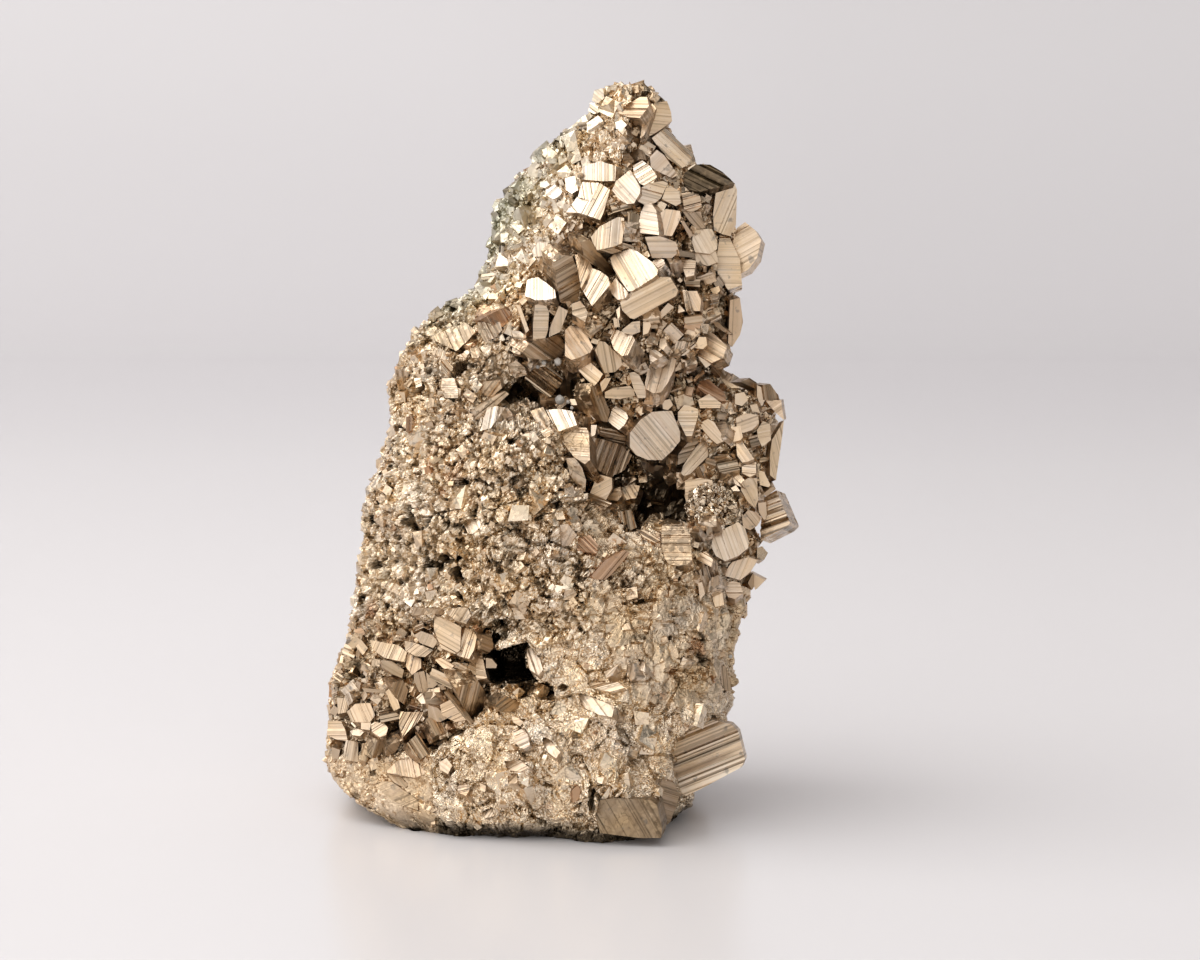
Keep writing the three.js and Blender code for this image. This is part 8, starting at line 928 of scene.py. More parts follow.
def face_mask(p, grow):
    """True where a point of the front is seen inside a crystal face, widened by
    grow millimetres (an array or a number)."""
    sp = screen(p)
    hit = np.zeros(len(p), bool)
    for poly in FACE_XY:
        lo_, hi_ = poly.min(0) - 2.5, poly.max(0) + 2.5
        k = np.where((sp[:, 0] > lo_[0]) & (sp[:, 0] < hi_[0]) & (sp[:, 1] > lo_[1]) & (sp[:, 1] < hi_[1]) & ~hit)[0]
        if len(k) == 0:
            continue
        ins_ = in_poly(sp[k, 0], sp[k, 1], poly)
        d_ = poly_dist(sp[k, 0], sp[k, 1], poly)
        g_ = grow if np.isscalar(grow) else grow[k]
        hit[k] = np.where(ins_, d_ > -np.minimum(g_, 0), d_ < np.maximum(g_, 0))
    return hit


sp = screen(P2)
for poly, c0, n0 in zip(FACE_XY, FACE_C, FACE_N):
    lo_, hi_ = poly.min(0), poly.max(0)
    k = np.where((sp[:, 0] > lo_[0]) & (sp[:, 0] < hi_[0]) & (sp[:, 1] > lo_[1]) & (sp[:, 1] < hi_[1]) & (FRONT > -0.15))[0]
    if len(k) == 0:
        continue
    k = k[in_poly(sp[k, 0], sp[k, 1], poly)]
    if len(k) == 0:
        continue
    ray = unit(P2[k] - CAMP)
    over = (P2[k] - c0) @ n0 + 0.35
    move = np.where(over > 0, over / np.maximum(-(ray @ n0), 0.25), 0.0)
    P2[k] += ray * np.minimum(move, 8.0)[:, None]

# the peak is rounded off
top_w = np.clip((P2[:, 2] - 96.4) / 3.6, 0, 1) ** 1.6
top_c = P2[P2[:, 2] > 98.5].mean(0)
P2[:, :2] += (top_c[:2] - P2[:, :2]) * (0.50 * top_w)[:, None]
painted_shade = painted_shade * (1 - 0.65 * np.clip((P2[:, 2] - 84) / 6, 0, 1))

PEAK_RIGHT_DARK = np.array([11.2, 97.2])                   # the colour is made darker over the right of the peak
peak_right_w = np.clip((P2[:, 0] - PEAK_RIGHT_DARK[0]) / 0.8 + 0.5 * value_noise(P, 0.8, 701), 0, 1) * np.clip((P2[:, 2] - PEAK_RIGHT_DARK[1]) / 0.7 + 0.4 * value_noise(P, 0.8, 702), 0, 1)
painted_shade = painted_shade + 0.72 * peak_right_w
# painted shade along the upper left rim, where the surface turns away from view
rim_shade = np.where(REG == RID["glitter"], np.clip(0.70 - FRONT, 0, 0.6) / 0.6, 0.0)
painted_shade = painted_shade + 0.65 * rim_shade * np.clip(0.3 + 1.2 * value_noise(P, 1.6, 703), 0, 1)

# the lower edge: the specimen bulges out over the base that it rests on
P2[:, 2] = np.maximum(P2[:, 2], 0.0)
cx0, cy0 = P[P[:, 2] < 3][:, 0].mean(), P[P[:, 2] < 3][:, 1].mean()
edge = 0.5 + 0.5 * value_noise(P * np.array([1, 1, 0]), 6.0, 77)
reach = 2.5 + 1.1 * edge
low_w = np.clip(1 - P2[:, 2] / reach, 0, 1)
pull = low_w ** 1.4 * (1.2 + 1.6 * edge)
dirc = np.stack([P2[:, 0] - cx0, P2[:, 1] - cy0, np.zeros(len(P2))], 1)
P2 -= unit(dirc) * pull[:, None] * (np.linalg.norm(dirc, axis=1) > 7)[:, None]
# painted shade on the underside near the table, lighter at the far left
painted_shade = painted_shade + np.where(P2[:, 0] < -15, 0.45, 0.9) * np.clip(1.7 * low_w, 0, 1)
G2 = P2.reshape(NROW, NCOL, 3)
N2 = grid_normals(G2)


FACET_COARSE, FACET_FINE, FACET_PLATE = 820.0, 2000.0, 420.0      # cells of 1.2, 0.5 and 2.4 mm


def material(name, base, dark, pale, rough, bump_scale, bump, line=False, metallic=1.0):
    m = bpy.data.materials.new(name)
    m.use_nodes = True
    nt = m.node_tree
    nt.nodes.clear()
    out = nt.nodes.new("ShaderNodeOutputMaterial")
    bs = nt.nodes.new("ShaderNodeBsdfPrincipled")
    nt.links.new(bs.outputs[0], out.inputs[0])
    bs.inputs["Metallic"].default_value = metallic
    L = nt.links.new

    def attr(n):
        a = nt.nodes.new("ShaderNodeAttribute")
        a.attribute_name = n
        return a.outputs["Fac"]

    geo = nt.nodes.new("ShaderNodeTexCoord")
    def node(kind, **sockets):
        n_ = nt.nodes.new(kind)
        for k_, v_ in sockets.items():
            n_.inputs[k_.replace("_", " ")].default_value = v_
        return n_

    def math_(op, a_, b_):
        n_ = nt.nodes.new("ShaderNodeMath"); n_.operation = op
        for i_, x_ in enumerate((a_, b_)):
            if isinstance(x_, (int, float)):
                n_.inputs[i_].default_value = x_
            else:
                L(x_, n_.inputs[i_])
        return n_.outputs[0]

    def vmath(op, *args):
        n_ = nt.nodes.new("ShaderNodeVectorMath"); n_.operation = op
        for i_, x_ in enumerate(args):
            if isinstance(x_, tuple):
                n_.inputs[i_].default_value = x_
            else:
                L(x_, n_.inputs[i_])
        return n_

    # small broken facets: the cells of two sizes each lean their own way
    wob = node("ShaderNodeTexNoise", Scale=1000.0, Detail=2.0)
    L(geo.outputs["Object"], wob.inputs["Vector"])
    warped = vmath("MULTIPLY_ADD", wob.outputs["Color"], (0.0011, 0.0011, 0.0011), geo.outputs["Object"]).outputs[0]
    lean, cell_col = None, None
    foil = attr("foil")
    less = math_("SUBTRACT", 1.0, math_("MULTIPLY", foil, 0.80))
    for sc_, g_ in ((FACET_COARSE, 0.50), (FACET_FINE, 0.48), (FACET_PLATE, 0.55)):
        vo = node("ShaderNodeTexVoronoi", Scale=sc_)
        L(warped, vo.inputs["Vector"])
        one = vmath("MULTIPLY_ADD", vo.outputs["Color"], (2 * g_,) * 3, (-g_,) * 3).outputs[0]
        if sc_ != FACET_COARSE:
            part_ = vmath("SCALE", one)
            L(less if sc_ == FACET_FINE else foil, part_.inputs["Scale"])
            one = part_.outputs[0]
        cell_col = cell_col or vo.outputs["Color"]
        lean = one if lean is None else vmath("ADD", lean, one).outputs[0]
    lean_n = vmath("SCALE", lean)
    facet_a = attr("facet")
    L(facet_a, lean_n.inputs["Scale"])
    gn = nt.nodes.new("ShaderNodeNewGeometry")
    leaning = vmath("NORMALIZE", vmath("ADD", gn.outputs["Normal"], lean_n.outputs[0]).outputs[0]).outputs[0]
    sepc = nt.nodes.new("ShaderNodeSeparateXYZ")
    L(cell_col, sepc.inputs[0])
    cell_t = math_("MULTIPLY", math_("SUBTRACT", sepc.outputs[0], 0.5), math_("MULTIPLY", facet_a, 0.40))
    cell_r_ = math_("MULTIPLY", math_("SUBTRACT", sepc.outputs[1], 0.5), math_("MULTIPLY", facet_a, 0.14))
    # thin dark lines between some of the facets: painted shade in cracks
    wob2 = node("ShaderNodeTexNoise", Scale=600.0, Detail=3.0)
    L(geo.outputs["Object"], wob2.inputs["Vector"])
    warped2 = vmath("MULTIPLY_ADD", wob2.outputs["Color"], (0.0022, 0.0022, 0.0022), geo.outputs["Object"]).outputs[0]
    ve = node("ShaderNodeTexVoronoi", Scale=780.0)
    ve.feature = "DISTANCE_TO_EDGE"
    L(warped2, ve.inputs["Vector"])
    thin = nt.nodes.new("ShaderNodeMapRange")
    thin.inputs[1].default_value = 0.015; thin.inputs[2].default_value = 0.075
    thin.inputs[3].default_value = 1.0; thin.inputs[4].default_value = 0.0
    L(ve.outputs["Distance"], thin.inputs[0])
    where = node("ShaderNodeTexNoise", Scale=380.0, Detail=2.0)
    L(geo.outputs["Object"], where.inputs["Vector"])
    some = nt.nodes.new("ShaderNodeMapRange")
    some.inputs[1].default_value = 0.46; some.inputs[2].default_value = 0.62
    L(where.outputs["Fac"], some.inputs[0])
    crack_shade = math_("MULTIPLY", math_("MULTIPLY", thin.outputs[0], some.outputs[0]), math_("MULTIPLY", math_("MINIMUM", math_("MULTIPLY", facet_a, 1.7), 0.85), math_("SUBTRACT", 1.0, math_("MULTIPLY", foil, 0.7))))

    # colour: per grain tint, plus clouds of tarnish
    noise = nt.nodes.new("ShaderNodeTexNoise")
    noise.inputs["Scale"].default_value = 160.0
    noise.inputs["Detail"].default_value = 5.0
    noise.inputs["Roughness"].default_value = 0.6
    L(geo.outputs["Object"], noise.inputs["Vector"])
    add = nt.nodes.new("ShaderNodeMath"); add.operation = "MULTIPLY_ADD"
    L(noise.outputs["Fac"], add.inputs[0]); add.inputs[1].default_value = 0.80
    sub = nt.nodes.new("ShaderNodeMath"); sub.operation = "SUBTRACT"
    L(math_("ADD", attr("tint"), cell_t), sub.inputs[0]); sub.inputs[1].default_value = 0.40
    L(sub.outputs[0], add.inputs[2])
    ramp = nt.nodes.new("ShaderNodeValToRGB")
    r = ramp.color_ramp
    r.elements[0].position = 0.0; r.elements[0].color = (*dark, 1)
    r.elements[1].position = 1.0; r.elements[1].color = (*pale, 1)
    e = r.elements.new(0.5); e.color = (*base, 1)
    L(add.outputs[0], ramp.inputs[0])
    # golden and greyish clouds
    cl = nt.nodes.new("ShaderNodeTexNoise")
    cl.inputs["Scale"].default_value = 190.0
    cl.inputs["Detail"].default_value = 4.0
    L(geo.outputs["Object"], cl.inputs["Vector"])
    clr = nt.nodes.new("ShaderNodeValToRGB")
    clr.color_ramp.elements[0].position = 0.34; clr.color_ramp.elements[0].color = (0.97, 0.985, 1.0, 1)
    clr.color_ramp.elements[1].position = 0.68; clr.color_ramp.elements[1].color = (1.04, 0.985, 0.86, 1)
    L(cl.outputs["Fac"], clr.inputs[0])
    mul = nt.nodes.new("ShaderNodeMix"); mul.data_type = "RGBA"; mul.blend_type = "MULTIPLY"
    mul.inputs[0].default_value = 1.0
    L(ramp.outputs[0], mul.inputs[6]); L(clr.outputs[0], mul.inputs[7])
    # a cool, dark painted shade along the upper left edge
    sep = nt.nodes.new("ShaderNodeSeparateXYZ")
    L(geo.outputs["Object"], sep.inputs[0])

    def ramp_(x_, a_, b_, lo_, hi_):
        n_ = nt.nodes.new("ShaderNodeMapRange")
        for i_, v_ in enumerate((a_, b_, lo_, hi_), 1):
            n_.inputs[i_].default_value = v_
        L(x_, n_.inputs[0])
        return n_.outputs[0]

    inward = math_("ADD", math_("SUBTRACT", sep.outputs[0], math_("MULTIPLY", sep.outputs[2], 0.495)), 0.0487)
    cool_shade = math_("MULTIPLY", ramp_(inward, 0.0005, 0.0085, 1.0, 0.0), ramp_(sep.outputs[2], 0.064, 0.073, 0.0, 1.0))
    cool_shade = math_("MULTIPLY", cool_shade, ramp_(cl.outputs["Fac"], 0.36, 0.56, 0.30, 1.0))
    mix_cool_shade = nt.nodes.new("ShaderNodeMix"); mix_cool_shade.data_type = "RGBA"; mix_cool_shade.blend_type = "MULTIPLY"
    L(cool_shade, mix_cool_shade.inputs[0])
    L(mul.outputs[2], mix_cool_shade.inputs[6])
    mix_cool_shade.inputs[7].default_value = (0.60, 0.74, 0.82, 1)
    # rust and golden tarnish
    mixr = nt.nodes.new("ShaderNodeMix"); mixr.data_type = "RGBA"
    L(attr("rust"), mixr.inputs[0])
    L(mix_cool_shade.outputs[2], mixr.inputs[6])
    mixr.inputs[7].default_value = (0.42, 0.17, 0.055, 1)
    # grey pits
    n3 = nt.nodes.new("ShaderNodeTexNoise")
    n3.inputs["Scale"].default_value = 900.0
    n3.inputs["Detail"].default_value = 2.0
    L(geo.outputs["Object"], n3.inputs["Vector"])
    pit = nt.nodes.new("ShaderNodeMapRange")
    pit.inputs[1].default_value = 0.64; pit.inputs[2].default_value = 0.72
    L(n3.outputs["Fac"], pit.inputs[0])
    mixp = nt.nodes.new("ShaderNodeMix"); mixp.data_type = "RGBA"
    pf = nt.nodes.new("ShaderNodeMath"); pf.operation = "MULTIPLY"
    L(pit.outputs[0], pf.inputs[0]); pf.inputs[1].default_value = 0.55
    L(pf.outputs[0], mixp.inputs[0])
    L(mixr.outputs[2], mixp.inputs[6])
    mixp.inputs[7].default_value = (0.16, 0.15, 0.14, 1)
    # dark: painted shade in recesses, creases, clefts, cracks, the open cavity, the underside and rims turned from
    # view, darker colour at the right of the peak, and a darker tone at random on some bodies
    mix_shade_and_tone = nt.nodes.new("ShaderNodeMix"); mix_shade_and_tone.data_type = "RGBA"
    L(math_("MAXIMUM", attr("dark"), crack_shade), mix_shade_and_tone.inputs[0])
    L(mixp.outputs[2], mix_shade_and_tone.inputs[6])
    mix_shade_and_tone.inputs[7].default_value = (0.045, 0.030, 0.014, 1)
    L(mix_shade_and_tone.outputs[2], bs.inputs["Base Color"])
    # roughness
    rn = nt.nodes.new("ShaderNodeMath"); rn.operation = "MULTIPLY_ADD"
    L(noise.outputs["Fac"], rn.inputs[0]); rn.inputs[1].default_value = 0.22
    rs = nt.nodes.new("ShaderNodeMath"); rs.operation = "ADD"
    L(math_("ADD", attr("rough"), cell_r_), rs.inputs[0]); rs.inputs[1].default_value = rough - 0.11
    L(rs.outputs[0], rn.inputs[2])
    L(rn.outputs[0], bs.inputs["Roughness"])
    # bump
    bn = nt.nodes.new("ShaderNodeTexNoise")
    bn.inputs["Scale"].default_value = bump_scale
    bn.inputs["Detail"].default_value = 4.0
    bn.inputs["Roughness"].default_value = 0.62
    if line:
        uvn = nt.nodes.new("ShaderNodeUVMap"); uvn.uv_map = "grain"
        mp = nt.nodes.new("ShaderNodeMapping")
        mp.inputs["Scale"].default_value = (0.25, 9.0, 1.0)
        L(uvn.outputs[0], mp.inputs[0])
        L(mp.outputs[0], bn.inputs["Vector"])
        bn.inputs["Scale"].default_value = 1.0
    else:
        L(geo.outputs["Object"], bn.inputs["Vector"])
    bump_n = nt.nodes.new("ShaderNodeBump")
    bump_n.inputs["Strength"].default_value = bump
    bump_n.inputs["Distance"].default_value = 0.00012
    L(bn.outputs["Fac"], bump_n.inputs["Height"])
    # crinkles, as in creased foil
    kn = node("ShaderNodeTexNoise", Scale=430.0, Detail=3.0, Roughness=0.55, Distortion=1.6)
    L(warped2, kn.inputs["Vector"])
    crease = math_("ABSOLUTE", math_("SUBTRACT", kn.outputs["Fac"], 0.5), 0.0)
    crinkle = nt.nodes.new("ShaderNodeBump")
    crinkle.inputs["Distance"].default_value = 0.0016
    L(crease, crinkle.inputs["Height"])
    L(math_("MULTIPLY", foil, 0.75), crinkle.inputs["Strength"])
    L(leaning, crinkle.inputs["Normal"])
    L(crinkle.outputs[0], bump_n.inputs["Normal"])
    L(bump_n.outputs[0], bs.inputs["Normal"])
    return m


BASE = (0.63, 0.48, 0.34)
DARK = (0.36, 0.255, 0.16)
PALE = (0.82, 0.70, 0.56)
MAT_MATRIX = material("pyrite_matrix", (0.64, 0.485, 0.33), (0.44, 0.315, 0.195), (0.83, 0.695, 0.545), 0.30, 2600.0, 0.22)
MAT_GRAIN = material("pyrite_grains", BASE, DARK, PALE, 0.27, 3000.0, 0.28)
MAT_CRYSTAL = material("pyrite_crystals", (0.62, 0.477, 0.344), (0.42, 0.31, 0.205), (0.79, 0.678, 0.565), 0.31, 1.0, 0.16, line=True)

TINT_ADD = np.array([{"glitter": 0.62, "granular": 0.42, "granular2": 0.26, "broken": 0.62, "corner": 0.0, "facets": 0.08, "bump": 0.2}.get(n, 0.0) for n in RNAME])
ROUGH_ADD = np.array([{"granular": 0.02, "glitter": -0.05, "broken": -0.13, "corner": 0.10, "facets": 0.02}.get(n, 0.0) for n in RNAME])
pieces = []

# ---------------------------------------------------------------- matrix mesh
# One closed body in three courses, which share their cut rings.
idx = np.arange(NROW * NCOL).reshape(NROW, NCOL)
a = idx[:-1, :]; b = np.roll(idx, -1, 1)[:-1, :]; c = np.roll(idx, -1, 1)[1:, :]; d = idx[1:, :]
quads = np.stack([a, b, c, d], -1).reshape(-1, 4)
q0 = P2[quads[:, 0]]
qn = np.cross(P2[quads[:, 1]] - q0, P2[quads[:, 3]] - q0)
flip = (qn * N[quads[:, 0]]).sum() < 0
if flip:
    quads = quads[:, ::-1]
tq = 0.3 * id1[quads[:, 0]] + 0.3 * id2[quads[:, 0]] + 0.15 * id3[quads[:, 0]] - 0.375
tq = np.clip(0.625 + tq * np.where(np.isin(REG[quads[:, 0]], [RID["facets"], RID["corner"]]), 0.35, 1.0) + TINT_ADD[REG[quads[:, 0]]], 0, 1)
rq_ = np.clip(0.10 * (id2[quads[:, 0]] - 0.5) + 0.12 * (id3[quads[:, 0]] - 0.5), -0.1, 0.1) + ROUGH_ADD[REG[quads[:, 0]]]
# per quad dark: painted shade inside the open cavity where the surface runs in, plus the matrix's painted shade
shade_q = np.clip(np.clip(push[quads].mean(1) / 3.0, 0, 1) * 0.8 + painted_shade[quads].mean(1), 0, np.where(np.isin(REG[quads[:, 0]], [RID["crystals"], RID["bump"]]), 0.74, 0.92))
rustn = np.clip(value_noise(P, 5.0, 303) * 1.4 + value_noise(P, 1.5, 304) * 0.7 - 0.95, 0, 0.55)
ru = rustn[quads[:, 0]]
FACET = np.array([{"glitter": 0.50, "granular": 0.50, "granular2": 0.50, "broken": 0.32, "facets": 0.23, "corner": 0.26, "back": 0.50}.get(n, 0.45) for n in RNAME])
FACETV = FACET[REG].reshape(NROW, NCOL)
for _ in range(10):
    FACETV = (FACETV + np.roll(FACETV, 1, 1) + np.roll(FACETV, -1, 1) + np.concatenate([FACETV[:1], FACETV[:-1]]) + np.concatenate([FACETV[1:], FACETV[-1:]])) / 5
fcq = FACETV.reshape(-1)[quads[:, 0]]
FOIL = np.array([{"broken": 1.0, "facets": 0.55, "corner": 0.5, "granular": 0.25, "granular2": 0.35, "glitter": 0.15}.get(n, 0.1) for n in RNAME])
FOILV = FOIL[REG].reshape(NROW, NCOL)
for _ in range(10):
    FOILV = (FOILV + np.roll(FOILV, 1, 1) + np.roll(FOILV, -1, 1) + np.concatenate([FOILV[:1], FOILV[:-1]]) + np.concatenate([FOILV[1:], FOILV[-1:]])) / 5
FOILV = np.clip(FOILV.reshape(-1) + 0.35 * value_noise(P, 4.0, 511), 0, 1)
foq = FOILV[quads[:, 0]]


def course(name, r0, r1):
    bag = Bag()
    v = np.vstack([P2[idx[r0:r1 + 1].reshape(-1)], G2[r0].mean(0)[None], G2[r1].mean(0)[None]])
    n_ = (r1 - r0 + 1) * NCOL
    if r1 == NROW - 1:
        v[-1, 2] = 0.0
    sel = slice(r0 * NCOL, r1 * NCOL)
    qf = quads[sel] - r0 * NCOL
    j = np.arange(NCOL); j2 = (j + 1) % NCOL
    last = (r1 - r0) * NCOL
    cap_a = np.stack([j, np.full(NCOL, n_), j2], 1)
    cap_b = np.stack([last + j, last + j2, np.full(NCOL, n_ + 1)], 1)
    if flip:
        cap_a, cap_b = cap_a[:, ::-1], cap_b[:, ::-1]
    k_ = 2 * NCOL
    bag.add(v, np.concatenate([qf.reshape(-1), cap_a.reshape(-1), cap_b.reshape(-1)]),
            np.concatenate([np.full(len(qf), 4), np.full(k_, 3)]),
            np.concatenate([tq[sel], np.full(k_, 0.5)]), np.concatenate([rq_[sel], np.zeros(k_)]),
            np.concatenate([ru[sel], np.zeros(k_)]), np.concatenate([shade_q[sel], np.zeros(k_)]),
            facet=np.concatenate([fcq[sel], np.full(k_, 0.5)]))
    ob = bag.make(name, MAT_MATRIX)
    fo = ob.data.attributes.new("foil", "FLOAT", "FACE")
    fo.data.foreach_set("value", np.concatenate([foq[sel], np.zeros(k_)]).astype(np.float32))
    pieces.append(ob)
    return ob


third = (NROW - 1) // 3
matrix_upper = course("matrix_upper", 0, third)
matrix_middle = course("matrix_middle", third, 2 * third)
matrix_lower = course("matrix_lower", 2 * third, NROW - 1)


# ---------------------------------------------------------------- bodies
def clip_poly(poly, lo, hi):
    """Part of a convex polygon with lo <= y <= hi."""
    def half(pts, sign, lim):
        out = []
        for i in range(len(pts)):
            p, q = pts[i - 1], pts[i]
            dp, dq_ = sign * (p[1] - lim), sign * (q[1] - lim)
            if (dp >= 0) != (dq_ >= 0):
                t = dp / (dp - dq_)
                out.append((p[0] + (q[0] - p[0]) * t, lim))
            if dq_ >= 0:
                out.append((q[0], q[1]))
        return out
    pts = half(poly, 1, lo)
    if len(pts) >= 3:
        pts = half(pts, -1, hi)
    return pts if len(pts) >= 3 else None


def prism(bag, pts, z_top, z_bot, X, Y, Z, C, taper=1.0, face=0.04, **kw):
    """A closed prism. pts are counter-clockwise in the X, Y plane; z_top may be a
    function of the point."""
    k = len(pts)
    p = np.asarray(pts, float)
    zt = np.array([z_top(q) for q in p]) if callable(z_top) else np.full(k, z_top)
    cen = p.mean(0)
    pb = cen + (p - cen) * taper
    top = C + p[:, :1] * X + p[:, 1:] * Y + zt[:, None] * Z
    bot = C + pb[:, :1] * X + pb[:, 1:] * Y + z_bot * Z
    v = np.vstack([top, bot])
    faces = list(range(k)) + list(range(2 * k - 1, k - 1, -1))
    sizes = [k, k]
    uv = [tuple(p[i]) for i in range(k)] + [tuple(p[k - 1 - i]) for i in range(k)]
    for i in range(k):
        j = (i + 1) % k
        faces += [i, i + k, j + k, j]
        sizes.append(4)
        e = np.linalg.norm(p[j] - p[i])
        uv += [(0, 0), (0, 3.0), (e, 3.0), (e, 0)]
    bag.add(v, faces, sizes, uv=np.array(uv) + np.array([kw.pop("uo", 0.0), 0.0]), facet=np.array([face, 0.5] + [0.5] * k), **kw)


def striated(bag, C, Zn, X, poly, depth, rng, strong, strips, tint, rough, rust=0.0, dark=0.0, face=0.04):
    """A crystal with a striated outer face: parallel strips, each at its own level
    and its own slight tilt, all rooted in the body."""
    Z = unit(Zn); X = np.asarray(X, float); X = unit(X - Z * X.dot(Z)); Y = np.cross(Z, X)
    p = np.asarray(poly, float)
    lo, hi = p[:, 1].min(), p[:, 1].max()
    span = hi - lo
    uo = float(rng.uniform(0, 50))
    if not strips or span < 0.7:
        tilt = rng.normal(0, 0.02, 2)
        prism(bag, p, lambda q: tilt[0] * q[0] + tilt[1] * q[1], -depth, X, Y, Z, C, 0.96, tint=tint, rough=rough, rust=rust, dark=dark, uo=uo, face=face)
        return
    cuts = [lo]
    while cuts[-1] < hi - 0.1:
        cuts.append(cuts[-1] + rng.choice([0.09, 0.13, 0.18, 0.27, 0.42], p=[0.24, 0.31, 0.26, 0.14, 0.05]) * rng.uniform(0.8, 1.25))
    cuts[-1] = hi
    level = 0.0
    mood = 0.0                                  # neighbouring strips lean alike, in bands
    for a_, b_ in zip(cuts[:-1], cuts[1:]):
        pts = clip_poly([tuple(q) for q in p], a_, b_)
        if pts is None:
            continue
        if rng.random() < 0.25:
            mood = rng.normal(0, 1.0)
        level = 0.6 * level + rng.normal(0, 0.022 + 0.05 * strong)
        slope = (0.03 + 0.30 * strong) * (0.55 * mood + rng.normal(0, 0.75))
        if rng.random() < 0.02 + 0.12 * strong:     # a deep groove
            level -= 0.04 + 0.10 * strong; slope = rng.choice([-1, 1]) * rng.uniform(0.3, 0.5 + 0.6 * strong)
        mid = 0.5 * (a_ + b_)
        t = float(np.clip(tint + rng.normal(0, 0.07 + 0.06 * strong), 0, 1))
        # some narrow strips are painted darker: painted shade in the grooves between strips
        dk = dark + (rng.uniform(0.08, 0.34 + 0.32 * strong) if rng.random() < 0.32 + 0.10 * strong and b_ - a_ < 0.24 else 0.0)
        prism(bag, pts, lambda q: level + slope * (q[1] - mid), -depth, X, Y, Z, C, 1.0, tint=t, rough=rough, rust=rust, dark=dk, uo=uo, face=face)


# W faces, turned towards the light, get a paler tint and D faces, turned down and away, a darker tint and some dark:
# painted light and shade on top of their tilt
CLS = {  # tint, roughness offset, striation strength, dark
    "W": (0.80, 0.08, 0.30, 0.0), "L": (0.58, 0.03, 0.28, 0.0), "M": (0.54, 0.03, 0.18, 0.0), "D": (0.36, 0.02, 0.40, 0.08),
    "K": (0.5, -0.04, 1.0, 0.05), "R": (0.62, 0.05, 0.42, 0.0), "N": (0.56, 0.05, 0.95, 0.02), "A": (0.1, 0.10, 0.6, 0.70)}
CRUMPLE = [RID[n] for n in ("facets", "broken", "granular", "granular2", "corner")]

bag = Bag()
for i, (cls, st, C, Zn, X, poly) in enumerate(FACES):
    rng = np.random.default_rng(9000 + i)
    t, ro, stg, dk = CLS[cls]
    t += 0.30 * float(np.clip((C[2] - 76) / 12, 0, 1)) * (cls in "WLM")      # paler towards the peak
    if C[0] < -4 and C[2] < 36:
        t -= 0.20; ro += 0.05                                               # and duller in the lower left cluster
    if C[0] > 10.5 and C[2] > 93:
        t -= 0.42; ro += 0.06                                               # darker and rougher at the right of the peak
    poly = np.asarray(poly, float)
    x, y = poly[:, 0], poly[:, 1]
    area = 0.5 * abs(np.sum(x * np.roll(y, -1) - np.roll(x, -1) * y))
    depth = min(max(0.95 * math.sqrt(area), 2.2), 9.0)
    rust = 0.50 if cls == "R" else max(0.0, rng.uniform(-0.25, 0.12))
    crumpled = cls in "WLM" and area < 30 and region_of(np.array([C], float), np.array([Zn], float))[0] in CRUMPLE
    if crumpled and cls in "LM" and area < 16 and region_of(np.array([C], float), np.array([Zn], float))[0] in (RID["facets"], RID["broken"]):
        continue                    # melts into the matrix there
    face = 0.04
    if crumpled:                    # broken rather than grown: uneven, with cracks
        stg = 0.40; ro += 0.05; dk += 0.02; face = 0.16 if cls == "W" else 0.35
    if cls == "A":
        face = 0.30
    if cls == "W" and 17 < area < 26 and 9 < C[2] < 15 and C[0] < -10:
        continue                    # crinkled ground, with no plate of its own
    if area > 30 and C[2] < 8 and cls == "M":     # the dull crystal at the lower right
        t -= 0.50; dk += 0.22; face = 0.34; stg = 0.14; ro += 0.08
    striated(bag, np.array(C, float), np.array(Zn, float), np.array(X, float), poly, depth, rng, stg, bool(st) or area > 2.5 or crumpled,
             tint=t + rng.uniform(-0.1, 0.1), rough=ro + rng.uniform(-0.04, 0.05), rust=rust, dark=dk, face=face)


OUT_N = 200
def bin_of(sp_):
    return np.clip(((sp_[:, 1] + 60) / 120 * OUT_N).astype(int), 0, OUT_N - 1)


OUT_L = np.full(OUT_N, 1e9)
np.minimum.at(OUT_L, bin_of(screen(P2)), screen(P2)[:, 0])


def beyond_left(p, by=0.3):
    """True for points seen to the left of the body's outline."""
    sp_ = screen(np.atleast_2d(p))
    return sp_[:, 0] < OUT_L[bin_of(sp_)] - by


def hidden_cube(C, Zn, X, h, asp):
    """Cubes on the flanks that would stand in front of the fine-grained left side,
    or stick out beyond its even outline."""
    away = np.array(Zn) @ TO_CAM
    z_ = unit(np.array(Zn, float)); x_ = np.array(X, float); x_ = unit(x_ - z_ * x_.dot(z_)); y_ = np.cross(z_, x_)
    corners = np.array([np.array(C, float) + i_ * h * x_ + j_ * h * asp * y_ + k_ * z_ for i_ in (-1, 1) for j_ in (-1, 1) for k_ in (0, -2 * h)])
    if beyond_left(corners, 0.4).any():
        return True
    return (away > -0.2 and C[2] < 28) or (away > -0.7 and C[0] < -4) or C[2] > 93


for i, (C, Zn, X, h, asp) in enumerate(CUBES):
    if hidden_cube(C, Zn, X, h, asp):
        continue
    rng = np.random.default_rng(19000 + i)
    poly = [(-h, -h * asp), (h, -h * asp), (h, h * asp), (-h, h * asp)]
    striated(bag, np.array(C, float), np.array(Zn, float), np.array(X, float), poly, 2 * h, rng, rng.choice([0.15, 0.3, 0.8]), True,
             tint=rng.uniform(0.35, 0.65), rough=rng.uniform(-0.03, 0.06), rust=max(0.0, rng.uniform(-0.3, 0.15)))
crystals = bag.make("striated_crystals", MAT_CRYSTAL)
pieces.append(crystals)


